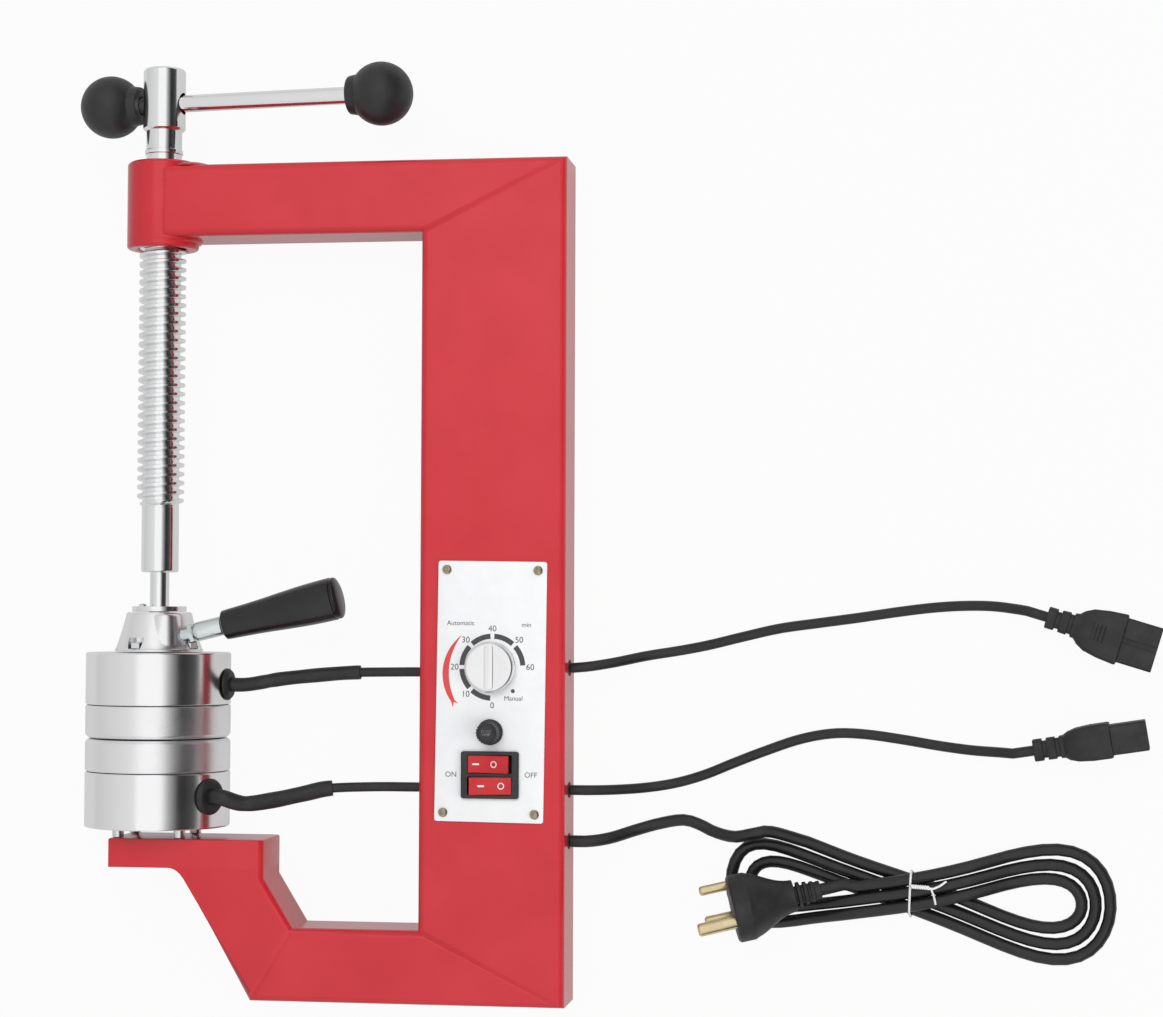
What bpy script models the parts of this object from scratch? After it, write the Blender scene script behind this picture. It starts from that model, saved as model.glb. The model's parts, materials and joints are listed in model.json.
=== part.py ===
"""Bench tire vulcanizer: a C-frame of steel tube, a screw press and two heated blocks.

It lies on its back as the photograph shows it, on the two blocks and one edge of the column,
with its cords on the floor beside it. Lengths are in metres.

Machine frame: X to the right, Y up the column, Z out of the control plate. Its origin is on the
column's right side, at the underside of the base, half way through the depth of the frame.
Floor frame: the same origin seen from above, with Z up from the floor.
"""

import math

import bmesh
import bpy
from mathutils import Matrix, Vector

# Frame
FRAME_HEIGHT = 0.460
FRAME_DEPTH = 0.040
COLUMN_WIDTH = 0.080
ARM_HEIGHT = 0.040
BASE_HEIGHT = 0.040
TUBE_WALL = 0.003
FOLD_RADIUS = 0.003
SCREW_REACH = 0.232
FOOT_SETBACK = 0.1034
FOOT_WIDTH = 0.040
FOOT_LEAN = math.radians(29.5)
FOOT_FILLET = 0.008
SHELF_OVERHANG = 0.0214
SHELF_LENGTH = 0.0871
SHELF_SPACE = 0.0075
SHELF_THICKNESS = 0.0158
KNEE_DROP = 0.005
SHELF_EDGE = 0.001
NUT_RADIUS = 0.020
NUT_ABOVE = 0.0038
NUT_BELOW = 0.005
NUT_EDGE = 0.001

# Gaps between pieces, and the overrun that every cutter has past the wall it cuts
GAP = 0.0003
OVERRUN = 0.004
OVERLAP = 0.002

# Lead screw, with a trapezoidal thread
THREAD_RADIUS = 0.013
THREAD_ROOT = 0.01015
THREAD_PITCH = 0.005
THREAD_CREST = 0.00183
THREAD_FLANK = math.radians(15)
THREAD_STEPS = 12
THREAD_SPARE_TURNS = 3
THREAD_STOP = 0.0016
NUT_ROOM = 0.0005
FLANK_ROOM = 0.0003
NECK_RADIUS = 0.0099
HEAD_RADIUS = 0.0118
HEAD_HEIGHT = 0.0350
HEAD_EDGE = 0.0012
NECK_LENGTH = 0.0238
COLLAR_RADIUS = 0.0106
COLLAR_HEIGHT = 0.0024
COLLAR_LIFT = 0.005
SHANK_RADIUS = 0.0103
SHANK_LENGTH = 0.0365
SHANK_EDGE = 0.0008
STEM_RADIUS = 0.0053
STEM_LENGTH = 0.019
STEM_FLANGE_RADIUS = 0.0095
STEM_FLANGE_HEIGHT = 0.004

# Cross bar with its two ball knobs
BAR_RADIUS = 0.00475
BAR_ROOM = 0.0003
BAR_LIFT = 0.0152
BAR_TURN = math.radians(6.5)
BALL_RADIUS = 0.0175
BALL_SPAN = 0.1612
BALL_COLLAR_RADIUS = 0.0105
BALL_COLLAR_REACH = 0.0200
BALL_SOCKET_DEPTH = 0.012

# Heated blocks
PARTING_HEIGHT = 0.142
BLOCK_RADIUS = 0.040
PLATEN_HEIGHT = 0.0182
PLATEN_LIP = 0.0018
PLATEN_EDGE = 0.0008
HOUSING_HEIGHT = 0.029
HOUSING_WALL = 0.004
HOUSING_FLOOR = 0.004
ELEMENT_OUTER = 0.0345
ELEMENT_INNER = 0.0262
ELEMENT_HEIGHT = 0.007
THERMOSTAT_RADIUS = 0.0085
THERMOSTAT_HEIGHT = 0.009
BOLT_RADIUS = 0.002
BOLT_THREAD_DEPTH = 0.009
HEAD_BOLT_CIRCLE = 0.0202
HEAD_BOLT_TURN = math.radians(-18)
HEAD_NUT_RADIUS = 0.0045
HEAD_NUT_HEIGHT = 0.0032
STUD_SPREAD_X = 0.0175
STUD_SPREAD_Z = 0.015
STUD_FOOT = 0.002
STUD_SHOULDER_RADIUS = 0.0032

# Swivel housing on the upper block, its cap and its lever
HOUSING_PAD_RADIUS = 0.0243
HOUSING_PAD_HEIGHT = 0.0015
CONE_LOWER_RADIUS = 0.0226
CONE_UPPER_RADIUS = 0.018
CONE_FLARE = 0.0009
CASTING_HEIGHT = 0.0218
CAP_RADIUS = 0.0138
CAP_HEIGHT = 0.003
CAP_EDGE = 0.0005
LOBE_CIRCLE = 0.0138
LOBE_TURN = math.radians(33)
LOBE_LOWER_RADIUS = 0.0095
LOBE_UPPER_RADIUS = 0.008
LOBE_CLEAR = 0.002
LEVER_RISE = math.radians(13.5)
LEVER_ROOT_HEIGHT = 0.0068
LEVER_FORWARD = 0.010
LEVER_SEAT = 0.0128
LEVER_SOCKET_DEPTH = 0.009
LEVER_STUD_RADIUS = 0.004
LEVER_NUT_RADIUS = 0.0056
LEVER_NUT_HEIGHT = 0.0032
LEVER_ROD_RADIUS = 0.0053
LEVER_ROD_LENGTH = 0.0162
LEVER_TANG_LENGTH = 0.040
GRIP_LENGTH = 0.0688
GRIP_NARROW = 0.0082
GRIP_WIDE = 0.0118
GRIP_STATION_SHARES = (0.0, 0.035, 0.3, 0.52, 0.7, 0.86, 0.93, 0.955, 0.985, 1.0)
GRIP_SWELL_SHARES = (-0.25, 0.0, 0.28, 0.62, 0.87, 0.98, 1.0, 0.92, 0.8, 0.35)

# Leads between the blocks and the column
UPPER_LEAD_TURN = math.radians(87)
LOWER_LEAD_TURN = math.radians(62)
UPPER_GROMMET_RADIUS = 0.0088
LOWER_GROMMET_RADIUS = 0.010
GROMMET_FLANGE = 0.003
GROMMET_EDGE = 0.0008
GROMMET_NECK_RADIUS = 0.0048
UPPER_GROMMET_LIFT = 0.0115
LOWER_GROMMET_LIFT = 0.0158
LEAD_RADIUS = 0.0026
UPPER_SLEEVE_RADIUS = 0.0039
LOWER_SLEEVE_RADIUS = 0.0044
BUSH_NECK_RADIUS = 0.0042
BUSH_EDGE = 0.0004
UPPER_LEAD_RISE = 0.0072
LOWER_LEAD_RISE = 0.0055
LEAD_POINT_SPACING = 0.009
# Rows between a block and the column: along, up, and forward as a share of the block's radius
UPPER_LEAD_SHARES = ((0.286, 0.44, 0.062), (0.521, 0.80, 0.037), (0.667, 0.94, 0.025), (0.821, 0.98, 0.013))
LOWER_LEAD_SHARES = ((0.17, -0.85, 0.49), (0.3, -0.4, 0.36), (0.44, 0.33, 0.225), (0.556, 0.84, 0.15))
LOWER_LEAD_SHARES += ((0.763, 1.0, 0.05),)
UPPER_SLEEVE_END_SHARE = 0.67
LOWER_SLEEVE_END_SHARE = 0.565

# Control plate and what it carries
PLATE_WIDTH = 0.0595
PLATE_HEIGHT = 0.1405
PLATE_THICKNESS = 0.001
PLATE_CENTRE_X = 0.040
PLATE_CENTRE_Y = 0.1694
PLATE_CORNER = 0.0012
OPENING_MARGIN_X = 0.0045
OPENING_MARGIN_Y = 0.0085
KNOB_RISE = 0.08335
KNOB_RADIUS = 0.0135
KNOB_SKIRT_RADIUS = 0.0139
KNOB_SKIRT_HEIGHT = 0.0014
KNOB_HEIGHT = 0.0076
KNOB_EDGE = 0.001
KNOB_WALL = 0.0022
SHAFT_RADIUS = 0.003
SHAFT_BED = 0.012
TIMER_WIDTH = 0.040
TIMER_HEIGHT = 0.038
TIMER_DEPTH = 0.027
TIMER_CORNER = 0.003
FUSE_RISE = 0.04845
FUSE_FLANGE_RADIUS = 0.0070
FUSE_FLANGE_HEIGHT = 0.0022
FUSE_BODY_RADIUS = 0.0060
FUSE_BORE = 0.0044
FUSE_CAP_RADIUS = 0.0062
FUSE_CAP_TOP_RADIUS = 0.0056
FUSE_CAP_HEIGHT = 0.0104
FUSE_CAP_PLUG_RADIUS = 0.0040
FUSE_CAP_PLUG_LENGTH = 0.006
FUSE_SLOT_WIDTH = 0.0012
FUSE_SLOT_DEPTH = 0.0010
FUSE_LINK_RADIUS = 0.0026
FUSE_LINK_LENGTH = 0.020
SWITCH_RISE = 0.02545
SWITCH_WIDTH = 0.0315
SWITCH_HEIGHT = 0.0254
SWITCH_RIM = 0.0022
SWITCH_BODY_INSET = 0.0008
SWITCH_BODY_DEPTH = 0.024
ROCKER_WIDTH = 0.0228
ROCKER_HEIGHT = 0.0094
ROCKER_PITCH = 0.0116
ROCKER_ROOM = 0.0008
ROCKER_POCKET_DEPTH = 0.0105
ROCKER_THICKNESS = 0.0062
ROCKER_PIVOT_DEPTH = 0.0022
ROCKER_TILT = math.radians(10)
ROCKER_VALLEY = 0.0012
PIVOT_RADIUS = 0.0010
PIVOT_LENGTH = 0.0006
TERMINAL_GAP = 0.0355
TERMINAL_WIDTH = 0.046
TERMINAL_HEIGHT = 0.016
TERMINAL_DEPTH = 0.014
TERMINAL_POLES = 4
TERMINAL_WELL_RADIUS = 0.0024
TERMINAL_WELL_DEPTH = 0.005
TERMINAL_WAIST = 0.0015

# Cords on the right
OUTLET_CORD_RADIUS = 0.00275
MAINS_CORD_RADIUS = 0.00325
UPPER_OUTLET_HEIGHT = 0.1819
LOWER_OUTLET_HEIGHT = 0.1156
MAINS_HEIGHT = 0.0879
OUTLET_BUSH_RADIUS = 0.0050
OUTLET_BUSH_LENGTH = 0.0015
CONNECTOR_LENGTH = 0.059
CONNECTOR_NOSE_LENGTH = 0.0185
CONNECTOR_NOSE_HALF_WIDTH = 0.012
CONNECTOR_NOSE_HALF_HEIGHT = 0.0078
CONNECTOR_BODY_HALF_WIDTH = 0.0136
CONNECTOR_BODY_HALF_HEIGHT = 0.0092
CONNECTOR_BOOT_HALF_WIDTH = 0.0058
CONNECTOR_CORNER = 0.0022
CONNECTOR_TRACK_HALF_WIDTH = 0.0016
CONNECTOR_TRACK_DEPTH = 0.0010
CONTACT_SPREAD = 0.007
CONTACT_DROP = 0.004
CONTACT_WIDTH = 0.0024
CONTACT_HEIGHT = 0.0046
CONTACT_DEPTH = 0.012
PLUG_RADIUS = 0.018
PLUG_FACE_EDGE = 0.0012
PLUG_RIM_LENGTH = 0.009
PLUG_BODY_LENGTH = 0.034
PLUG_WAIST_RADIUS = 0.0085
PLUG_BOOT_LENGTH = 0.0145
PLUG_BOOT_RADIUS = 0.0048
EARTH_PIN_RADIUS = 0.0035
EARTH_PIN_LENGTH = 0.0206
LINE_PIN_RADIUS = 0.00255
LINE_PIN_LENGTH = 0.0149
PIN_SPREAD = 0.0095
EARTH_PIN_OFFSET = 0.0127
LINE_PIN_OFFSET = 0.0093
CARRIER_RADIUS = 0.0165
CARRIER_THICKNESS = 0.003
CARRIER_BED = 0.003
PIN_EDGE = 0.0006
TIE_RADIUS = 0.0006
TIE_ROOM = 0.0006

DISC_STEPS = 36
ROUND_STEPS = 18
SMALL_STEPS = 8
FOLD_STEPS = 2
DOUBLES = 0.000001
SMOOTH_ANGLE = math.radians(35)

# Heights in the machine frame that follow from the sizes above
LOWER_HOUSING_BASE = PARTING_HEIGHT - PLATEN_HEIGHT - HOUSING_HEIGHT
SHELF_TOP = LOWER_HOUSING_BASE - SHELF_SPACE
SHELF_KNEE = SHELF_TOP - SHELF_THICKNESS - KNEE_DROP
UPPER_PLATEN_BASE = PARTING_HEIGHT + GAP
UPPER_HOUSING_BASE = PARTING_HEIGHT + PLATEN_HEIGHT + GAP
CASTING_BASE = UPPER_HOUSING_BASE + HOUSING_HEIGHT + GAP
CAP_BASE = CASTING_BASE + CASTING_HEIGHT + GAP
SHANK_BASE = CAP_BASE + CAP_HEIGHT + STEM_LENGTH
THREAD_BASE = SHANK_BASE + SHANK_LENGTH
THREAD_TOP = FRAME_HEIGHT - THREAD_STOP
HEAD_BASE = THREAD_TOP + NECK_LENGTH
BAR_HEIGHT = HEAD_BASE + BAR_LIFT
UPPER_LEAD_HEIGHT = UPPER_HOUSING_BASE + UPPER_GROMMET_LIFT + UPPER_LEAD_RISE
LOWER_LEAD_HEIGHT = LOWER_HOUSING_BASE + LOWER_GROMMET_LIFT + LOWER_LEAD_RISE
PLATE_BASE = PLATE_CENTRE_Y - PLATE_HEIGHT / 2
KNOB_Y = PLATE_BASE + KNOB_RISE
FUSE_Y = PLATE_BASE + FUSE_RISE
SWITCH_Y = PLATE_BASE + SWITCH_RISE
TERMINAL_Y = KNOB_Y + TERMINAL_GAP

# Places along the machine and faces through its depth that follow from them too
SHELF_REACH = SCREW_REACH + SHELF_OVERHANG
FOOT_REACH = SHELF_REACH - FOOT_SETBACK
FRONT_FACE = FRAME_DEPTH / 2
PLATE_BACK = FRONT_FACE + GAP
PLATE_FRONT = PLATE_BACK + PLATE_THICKNESS
SCREW_AXIS = Vector((-SCREW_REACH, 0, 0))


def clear_scene():
    for item in list(bpy.data.objects):
        bpy.data.objects.remove(item)


def paint(name, colour, roughness, metallic=0.0):
    material = bpy.data.materials.new(name)
    material.use_nodes = True
    shader = material.node_tree.nodes["Principled BSDF"]
    shader.inputs["Base Color"].default_value = (*colour, 1)
    shader.inputs["Roughness"].default_value = roughness
    shader.inputs["Metallic"].default_value = metallic
    material.diffuse_color = (*colour, 1)
    return material


def finish(bm):
    """Welds doubles and turns every face outwards."""
    bmesh.ops.remove_doubles(bm, verts=bm.verts, dist=DOUBLES)
    bmesh.ops.recalc_face_normals(bm, faces=bm.faces)


def add_object(name, bm, material, parent, place=(0, 0, 0), turn=(0, 0, 0)):
    finish(bm)
    mesh = bpy.data.meshes.new(name)
    bm.to_mesh(mesh)
    bm.free()
    mesh.materials.append(material)
    mesh.shade_smooth()
    mesh.set_sharp_from_angle(angle=SMOOTH_ANGLE)
    item = bpy.data.objects.new(name, mesh)
    item.parent = parent
    item.location = place
    item.rotation_euler = turn
    bpy.context.scene.collection.objects.link(item)
    return item


def add_boolean(target, bm, operation, parent, place=(0, 0, 0), turn=(0, 0, 0)):
    """Cuts a shape from a piece, or joins one to it, and keeps the shape as a hidden helper."""
    number = len(target.modifiers) + 1
    helper = add_object(f"{target.name}_helper_{number}", bm, target.data.materials[0], parent, place, turn)
    helper.hide_render = True
    helper.display_type = "WIRE"
    modifier = target.modifiers.new(f"{operation.lower()} {number}", "BOOLEAN")
    modifier.operation = operation
    modifier.solver = "EXACT"
    modifier.object = helper
    return modifier


def cut(target, bm, parent, place=(0, 0, 0), turn=(0, 0, 0)):
    return add_boolean(target, bm, "DIFFERENCE", parent, place, turn)


def join(target, bm, parent, place=(0, 0, 0), turn=(0, 0, 0)):
    return add_boolean(target, bm, "UNION", parent, place, turn)


def turned(profile, steps=ROUND_STEPS, closed=False):
    """A profile of (radius, height) points, turned once round the Z axis."""
    bm = bmesh.new()
    points = [bm.verts.new((radius, 0, height)) for radius, height in profile]
    edges = [bm.edges.new(pair) for pair in zip(points, points[1:])]
    if closed:
        edges.append(bm.edges.new((points[-1], points[0])))
    bmesh.ops.spin(
        bm,
        geom=points + edges,
        cent=(0, 0, 0),
        axis=(0, 0, 1),
        angle=math.tau,
        steps=steps,
        use_merge=True,
    )
    finish(bm)
    return bm


def disc(radius, base, top, steps=ROUND_STEPS, edge=0.0):
    """A solid cylinder on the Z axis, with a chamfer at both ends when an edge is given."""
    if edge:
        profile = [
            (0, base),
            (radius - edge, base),
            (radius, base + edge),
            (radius, top - edge),
            (radius - edge, top),
            (0, top),
        ]
    else:
        profile = [(0, base), (radius, base), (radius, top), (0, top)]
    return turned(profile, steps)


def ring(inner, outer, base, top, steps=ROUND_STEPS):
    return turned([(inner, base), (outer, base), (outer, top), (inner, top)], steps, closed=True)


def prism(outline, base, top):
    """A flat outline of (x, y) points, extruded along Z."""
    bm = bmesh.new()
    face = bm.faces.new([bm.verts.new((x, y, base)) for x, y in outline])
    raised = bmesh.ops.extrude_face_region(bm, geom=[face])["geom"]
    lifted = [part for part in raised if isinstance(part, bmesh.types.BMVert)]
    bmesh.ops.translate(bm, verts=lifted, vec=(0, 0, top - base))
    finish(bm)
    return bm


def block(width, height, base, top, corner=0.0, segments=2):
    """A box centred on the Z axis, with rounded upright edges when a corner radius is given."""
    half_x, half_y = width / 2, height / 2
    bm = prism([(-half_x, -half_y), (half_x, -half_y), (half_x, half_y), (-half_x, half_y)], base, top)
    if corner:
        upright = [edge for edge in bm.edges if abs(edge.verts[0].co.z - edge.verts[1].co.z) > DOUBLES]
        round_edges(bm, upright, corner, segments)
    return bm


def round_edges(bm, edges, radius, segments=FOLD_STEPS):
    bmesh.ops.bevel(
        bm,
        geom=edges,
        offset=radius,
        offset_type="OFFSET",
        segments=segments,
        profile=0.5,
        affect="EDGES",
        material=-1,
        clamp_overlap=True,
    )


def moved(bm, place=(0, 0, 0), turn=None):
    if turn is not None:
        bmesh.ops.transform(bm, matrix=turn.to_4x4(), verts=bm.verts)
    bmesh.ops.translate(bm, verts=bm.verts, vec=place)
    return bm


def line_crossing(first_point, first_way, second_point, second_way):
    across = first_way.x * second_way.y - first_way.y * second_way.x
    offset = second_point - first_point
    along = (offset.x * second_way.y - offset.y * second_way.x) / across
    return first_point + first_way * along


def inset_outline(outline, insets):
    """Moves each side of an anticlockwise outline inwards by its own distance."""
    points = [Vector(point) for point in outline]
    count = len(points)
    lines = []
    for index, distance in enumerate(insets):
        way = (points[(index + 1) % count] - points[index]).normalized()
        inward = Vector((-way.y, way.x))
        lines.append((points[index] + inward * distance, way))
    return [tuple(line_crossing(*lines[index - 1], *lines[index])) for index in range(count)]


def lofted(stations, steps=ROUND_STEPS):
    """Rounded rectangles along the Z axis: each station is (z, half width, half height, corner radius)."""
    bm = bmesh.new()
    quarter = steps // 4
    rings = []
    for height, half_width, half_height, corner in stations:
        loop = []
        for side in range(4):
            sign_x = 1 if side in (0, 3) else -1
            sign_y = 1 if side in (0, 1) else -1
            for step in range(quarter):
                angle = math.pi / 2 * (side + step / (quarter - 1))
                x = sign_x * (half_width - corner) + corner * math.cos(angle)
                y = sign_y * (half_height - corner) + corner * math.sin(angle)
                loop.append(bm.verts.new((x, y, height)))
        rings.append(loop)
    for lower, upper in zip(rings, rings[1:]):
        for index in range(len(lower)):
            following = (index + 1) % len(lower)
            bm.faces.new((lower[index], lower[following], upper[following], upper[index]))
    bm.faces.new(reversed(rings[0]))
    bm.faces.new(rings[-1])
    finish(bm)
    return bm


def hexagon(radius, base, top):
    return disc(radius, base, top, steps=6)


def round_about(radius, turn):
    """A place round the screw axis, counted from the front towards the right."""
    return Vector((radius * math.sin(turn), 0, radius * math.cos(turn)))


RIGHTWARDS = (0, math.pi / 2, 0)


def upright(bm):
    """Turns a shape made along Z so that it runs up the machine, along Y."""
    return moved(bm, turn=Matrix.Rotation(-math.pi / 2, 3, "X"))


def flatwise(bm):
    """Turns a shape made along Z so that it runs to the right, along X."""
    return moved(bm, turn=Matrix.Rotation(math.pi / 2, 3, "Y"))


def facing(turn):
    """The turn that points a shape made along Z away from the screw axis."""
    return Matrix.Rotation(turn, 3, "Y")


# Pose of the machine on the floor: the blocks stand proud of the frame's back, so the screw side is raised
def resting_tilt():
    """The machine's turn about Y that brings the blocks and the column's back edge to the floor together."""
    reach = SCREW_REACH - FOLD_RADIUS
    depth = FRAME_DEPTH / 2 - FOLD_RADIUS
    drop = BLOCK_RADIUS - FOLD_RADIUS
    return math.asin(drop / math.hypot(reach, depth)) - math.atan2(depth, reach)


def resting_height(tilt):
    depth = FRAME_DEPTH / 2 - FOLD_RADIUS
    return depth * math.cos(tilt) - FOLD_RADIUS * math.sin(tilt) + FOLD_RADIUS


def bar_centre_rest():
    """How far the bar's middle lies to the right of the screw when the left ball meets the head."""
    return BALL_SPAN / 2 - HEAD_RADIUS - GAP - BALL_COLLAR_REACH


def middle_on_floor(tilt):
    """The middle of the machine's own footprint, in the floor frame."""
    left_ball = (bar_centre_rest() - BALL_SPAN / 2) * math.cos(tilt - BAR_TURN)
    left = left_ball - math.cos(tilt) * SCREW_REACH - BALL_RADIUS
    right = math.sin(tilt) * FRAME_DEPTH / 2 + OUTLET_BUSH_LENGTH
    top = max(BAR_HEIGHT + BALL_RADIUS, HEAD_BASE + HEAD_HEIGHT)
    return (left + right) / 2, top / 2


def add_empty(name, place=(0, 0, 0), turn=(0, 0, 0), parent=None):
    empty = bpy.data.objects.new(name, None)
    empty.location = place
    empty.rotation_euler = turn
    empty.parent = parent
    bpy.context.scene.collection.objects.link(empty)
    return empty


# Frame of tubes, mitred and welded, with one solid shelf
def foot_outer_point(height):
    """A point on the outer side of the leaning foot."""
    corner = Vector((-FOOT_REACH, BASE_HEIGHT))
    across = Vector((-math.cos(FOOT_LEAN), -math.sin(FOOT_LEAN)))
    start = corner + across * FOOT_WIDTH
    return Vector((start.x - (height - start.y) * math.tan(FOOT_LEAN), height))


def tube(name, outline, insets, long_sides, material, parent):
    """A hollow tube from its front outline: long sides get a wall and a fold, the rest are cut ends."""
    half = FRAME_DEPTH / 2
    outer = prism(inset_outline(outline, insets), -half, half)
    fold_edges(outer, outline, long_sides, half, FOLD_RADIUS)
    item = add_object(name, outer, material, parent)
    inner_insets = [TUBE_WALL if side in long_sides else -OVERRUN for side in range(len(outline))]
    inner = prism(inset_outline(outline, inner_insets), TUBE_WALL - half, half - TUBE_WALL)
    cut(item, inner, parent)
    return item


def fold_edges(bm, outline, long_sides, half, radius):
    """Rounds the edges that run along a tube, on its front and on its back."""
    chosen = []
    count = len(outline)
    ways = [(Vector(outline[(side + 1) % count]) - Vector(outline[side])).normalized() for side in long_sides]
    for edge in bm.edges:
        first, second = (vert.co for vert in edge.verts)
        if abs(abs(first.z) - half) > DOUBLES or abs(first.z - second.z) > DOUBLES:
            continue
        way = (second - first).normalized().to_2d()
        if any(abs(way.cross(along)) < math.sin(SMOOTH_ANGLE / 10) for along in ways):
            chosen.append(edge)
    round_edges(bm, chosen, radius)


def frame_pieces(steel, parent):
    top_inner = (-COLUMN_WIDTH, FRAME_HEIGHT - ARM_HEIGHT)
    top_outer = (0, FRAME_HEIGHT)
    base_inner = (-COLUMN_WIDTH, BASE_HEIGHT)
    foot_inner = (-FOOT_REACH, BASE_HEIGHT)
    foot_outer = tuple(foot_outer_point(0))
    arm_end = NUT_RADIUS * 0.2 - SCREW_REACH

    column = tube(
        "column_tube",
        [(0, 0), top_outer, top_inner, base_inner],
        [0, GAP / 2, 0, GAP / 2],
        (0, 2),
        steel,
        parent,
    )
    opening_width = PLATE_WIDTH - OPENING_MARGIN_X * 2
    opening_height = PLATE_HEIGHT - OPENING_MARGIN_Y * 2
    opening = block(opening_width, opening_height, FRONT_FACE - TUBE_WALL - OVERRUN, FRONT_FACE + OVERRUN)
    cut(column, opening, parent, (-PLATE_CENTRE_X, PLATE_CENTRE_Y, 0))
    for height in (UPPER_LEAD_HEIGHT, LOWER_LEAD_HEIGHT):
        hole = disc(LEAD_RADIUS + GAP, -OVERRUN, TUBE_WALL + OVERRUN)
        cut(column, hole, parent, (-COLUMN_WIDTH, height, 0), RIGHTWARDS)
    for height in (UPPER_OUTLET_HEIGHT, LOWER_OUTLET_HEIGHT, MAINS_HEIGHT):
        hole = disc(BUSH_NECK_RADIUS + GAP, -TUBE_WALL - OVERRUN, OVERRUN, ROUND_STEPS)
        cut(column, hole, parent, (0, height, 0), RIGHTWARDS)

    arm = tube(
        "top_arm_tube",
        [top_inner, top_outer, (arm_end, FRAME_HEIGHT), (arm_end, FRAME_HEIGHT - ARM_HEIGHT)],
        [GAP / 2, 0, 0, 0],
        (1, 3),
        steel,
        parent,
    )
    notch = upright(disc(NUT_RADIUS + GAP, -OVERRUN, ARM_HEIGHT + OVERRUN, DISC_STEPS))
    cut(arm, notch, parent, (-SCREW_REACH, FRAME_HEIGHT - ARM_HEIGHT, 0))

    tube(
        "base_tube",
        [foot_outer, (0, 0), base_inner, foot_inner],
        [0, GAP / 2, 0, GAP / 2],
        (0, 2),
        steel,
        parent,
    )

    shelf_base = SHELF_TOP - SHELF_THICKNESS
    shelf_right = SHELF_LENGTH - SHELF_REACH
    foot_top = shelf_base - GAP
    lower_tangent = foot_outer_point(foot_top - FOOT_FILLET / 2)
    upper_tangent = foot_outer_point(foot_top) + Vector((-FOOT_FILLET / 3, 0))
    outline = [
        foot_outer,
        foot_inner,
        (shelf_right, SHELF_KNEE),
        (shelf_right, foot_top),
        tuple(upper_tangent),
        tuple(lower_tangent),
    ]
    tube("foot_tube", outline, [GAP / 2, 0, 0, 0, 0, 0], (1, 2, 4, 5), steel, parent)

    shelf_outline = [
        (-SHELF_REACH, shelf_base),
        (shelf_right, shelf_base),
        (shelf_right, SHELF_TOP),
        (-SHELF_REACH, SHELF_TOP),
    ]
    bm = prism(shelf_outline, -FRAME_DEPTH / 2, FRAME_DEPTH / 2)
    round_edges(bm, list(bm.edges), SHELF_EDGE, 1)
    shelf = add_object("shelf", bm, steel, parent)
    for place in stud_places():
        hole = disc(BOLT_RADIUS + GAP, STUD_FOOT - SHELF_THICKNESS, OVERRUN, SMALL_STEPS)
        cut(shelf, upright(hole), parent, place + Vector((0, SHELF_TOP, 0)))


def stud_places():
    return [
        SCREW_AXIS + Vector((side * STUD_SPREAD_X, 0, end * STUD_SPREAD_Z))
        for side in (-1, 1)
        for end in (-1, 1)
    ]


# Thread, made as one helical skin and cut off flat at both ends
def thread_skin(root, crest_radius, crest_width, base, top):
    """The skin of a single-start right-hand thread from base to top, on the Z axis."""
    depth = crest_radius - root
    flank = depth * math.tan(THREAD_FLANK)
    ridge = crest_width + flank * 2
    start = base - THREAD_PITCH * THREAD_SPARE_TURNS
    turns = math.ceil((top - start) / THREAD_PITCH) + THREAD_SPARE_TURNS
    heights = [0, THREAD_PITCH - ridge, THREAD_PITCH - ridge + flank, THREAD_PITCH - flank, THREAD_PITCH]
    radii = [root, root, crest_radius, crest_radius, root]
    # The ridge keeps its middle at the same height, whatever its width
    shift = start + ridge / 2
    bm = bmesh.new()
    points = [bm.verts.new((radius, 0, height + shift)) for radius, height in zip(radii, heights)]
    edges = [bm.edges.new(pair) for pair in zip(points, points[1:])]
    bmesh.ops.spin(
        bm,
        geom=points + edges,
        cent=(0, 0, 0),
        axis=(0, 0, 1),
        dvec=(0, 0, THREAD_PITCH / THREAD_STEPS),
        angle=math.tau * turns,
        steps=THREAD_STEPS * turns,
    )
    bmesh.ops.remove_doubles(bm, verts=bm.verts, dist=DOUBLES * 10)
    for level, way in ((base, -1), (top, 1)):
        everything = list(bm.verts) + list(bm.edges) + list(bm.faces)
        bmesh.ops.bisect_plane(
            bm, geom=everything, plane_co=(0, 0, level), plane_no=(0, 0, way), clear_outer=True
        )
        rim = [edge for edge in bm.edges if edge.is_boundary and on_level(edge, level)]
        bmesh.ops.contextual_create(bm, geom=rim)
    finish(bm)
    return bm


def on_level(edge, level):
    return all(abs(vert.co.z - level) < DOUBLES * 10 for vert in edge.verts)


def screw_nut(steel, parent):
    base = FRAME_HEIGHT - ARM_HEIGHT - NUT_BELOW
    top = FRAME_HEIGHT + NUT_ABOVE
    bm = upright(disc(NUT_RADIUS, base, top, DISC_STEPS, NUT_EDGE))
    nut = add_object("screw_nut", bm, steel, parent, SCREW_AXIS)
    # The cutter is the screw's own thread, made larger by the running room
    wider = THREAD_CREST + FLANK_ROOM * 2
    cutter = thread_skin(
        THREAD_ROOT + NUT_ROOM, THREAD_RADIUS + NUT_ROOM, wider, base - OVERRUN, top + OVERRUN
    )
    cut(nut, upright(align_thread(cutter, base - OVERRUN)), parent, SCREW_AXIS)


def align_thread(bm, base):
    """Turns a thread about its axis so that every thread made here is part of one helix."""
    turn = math.tau * base / THREAD_PITCH
    return moved(bm, turn=Matrix.Rotation(turn, 3, "Z"))


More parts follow.
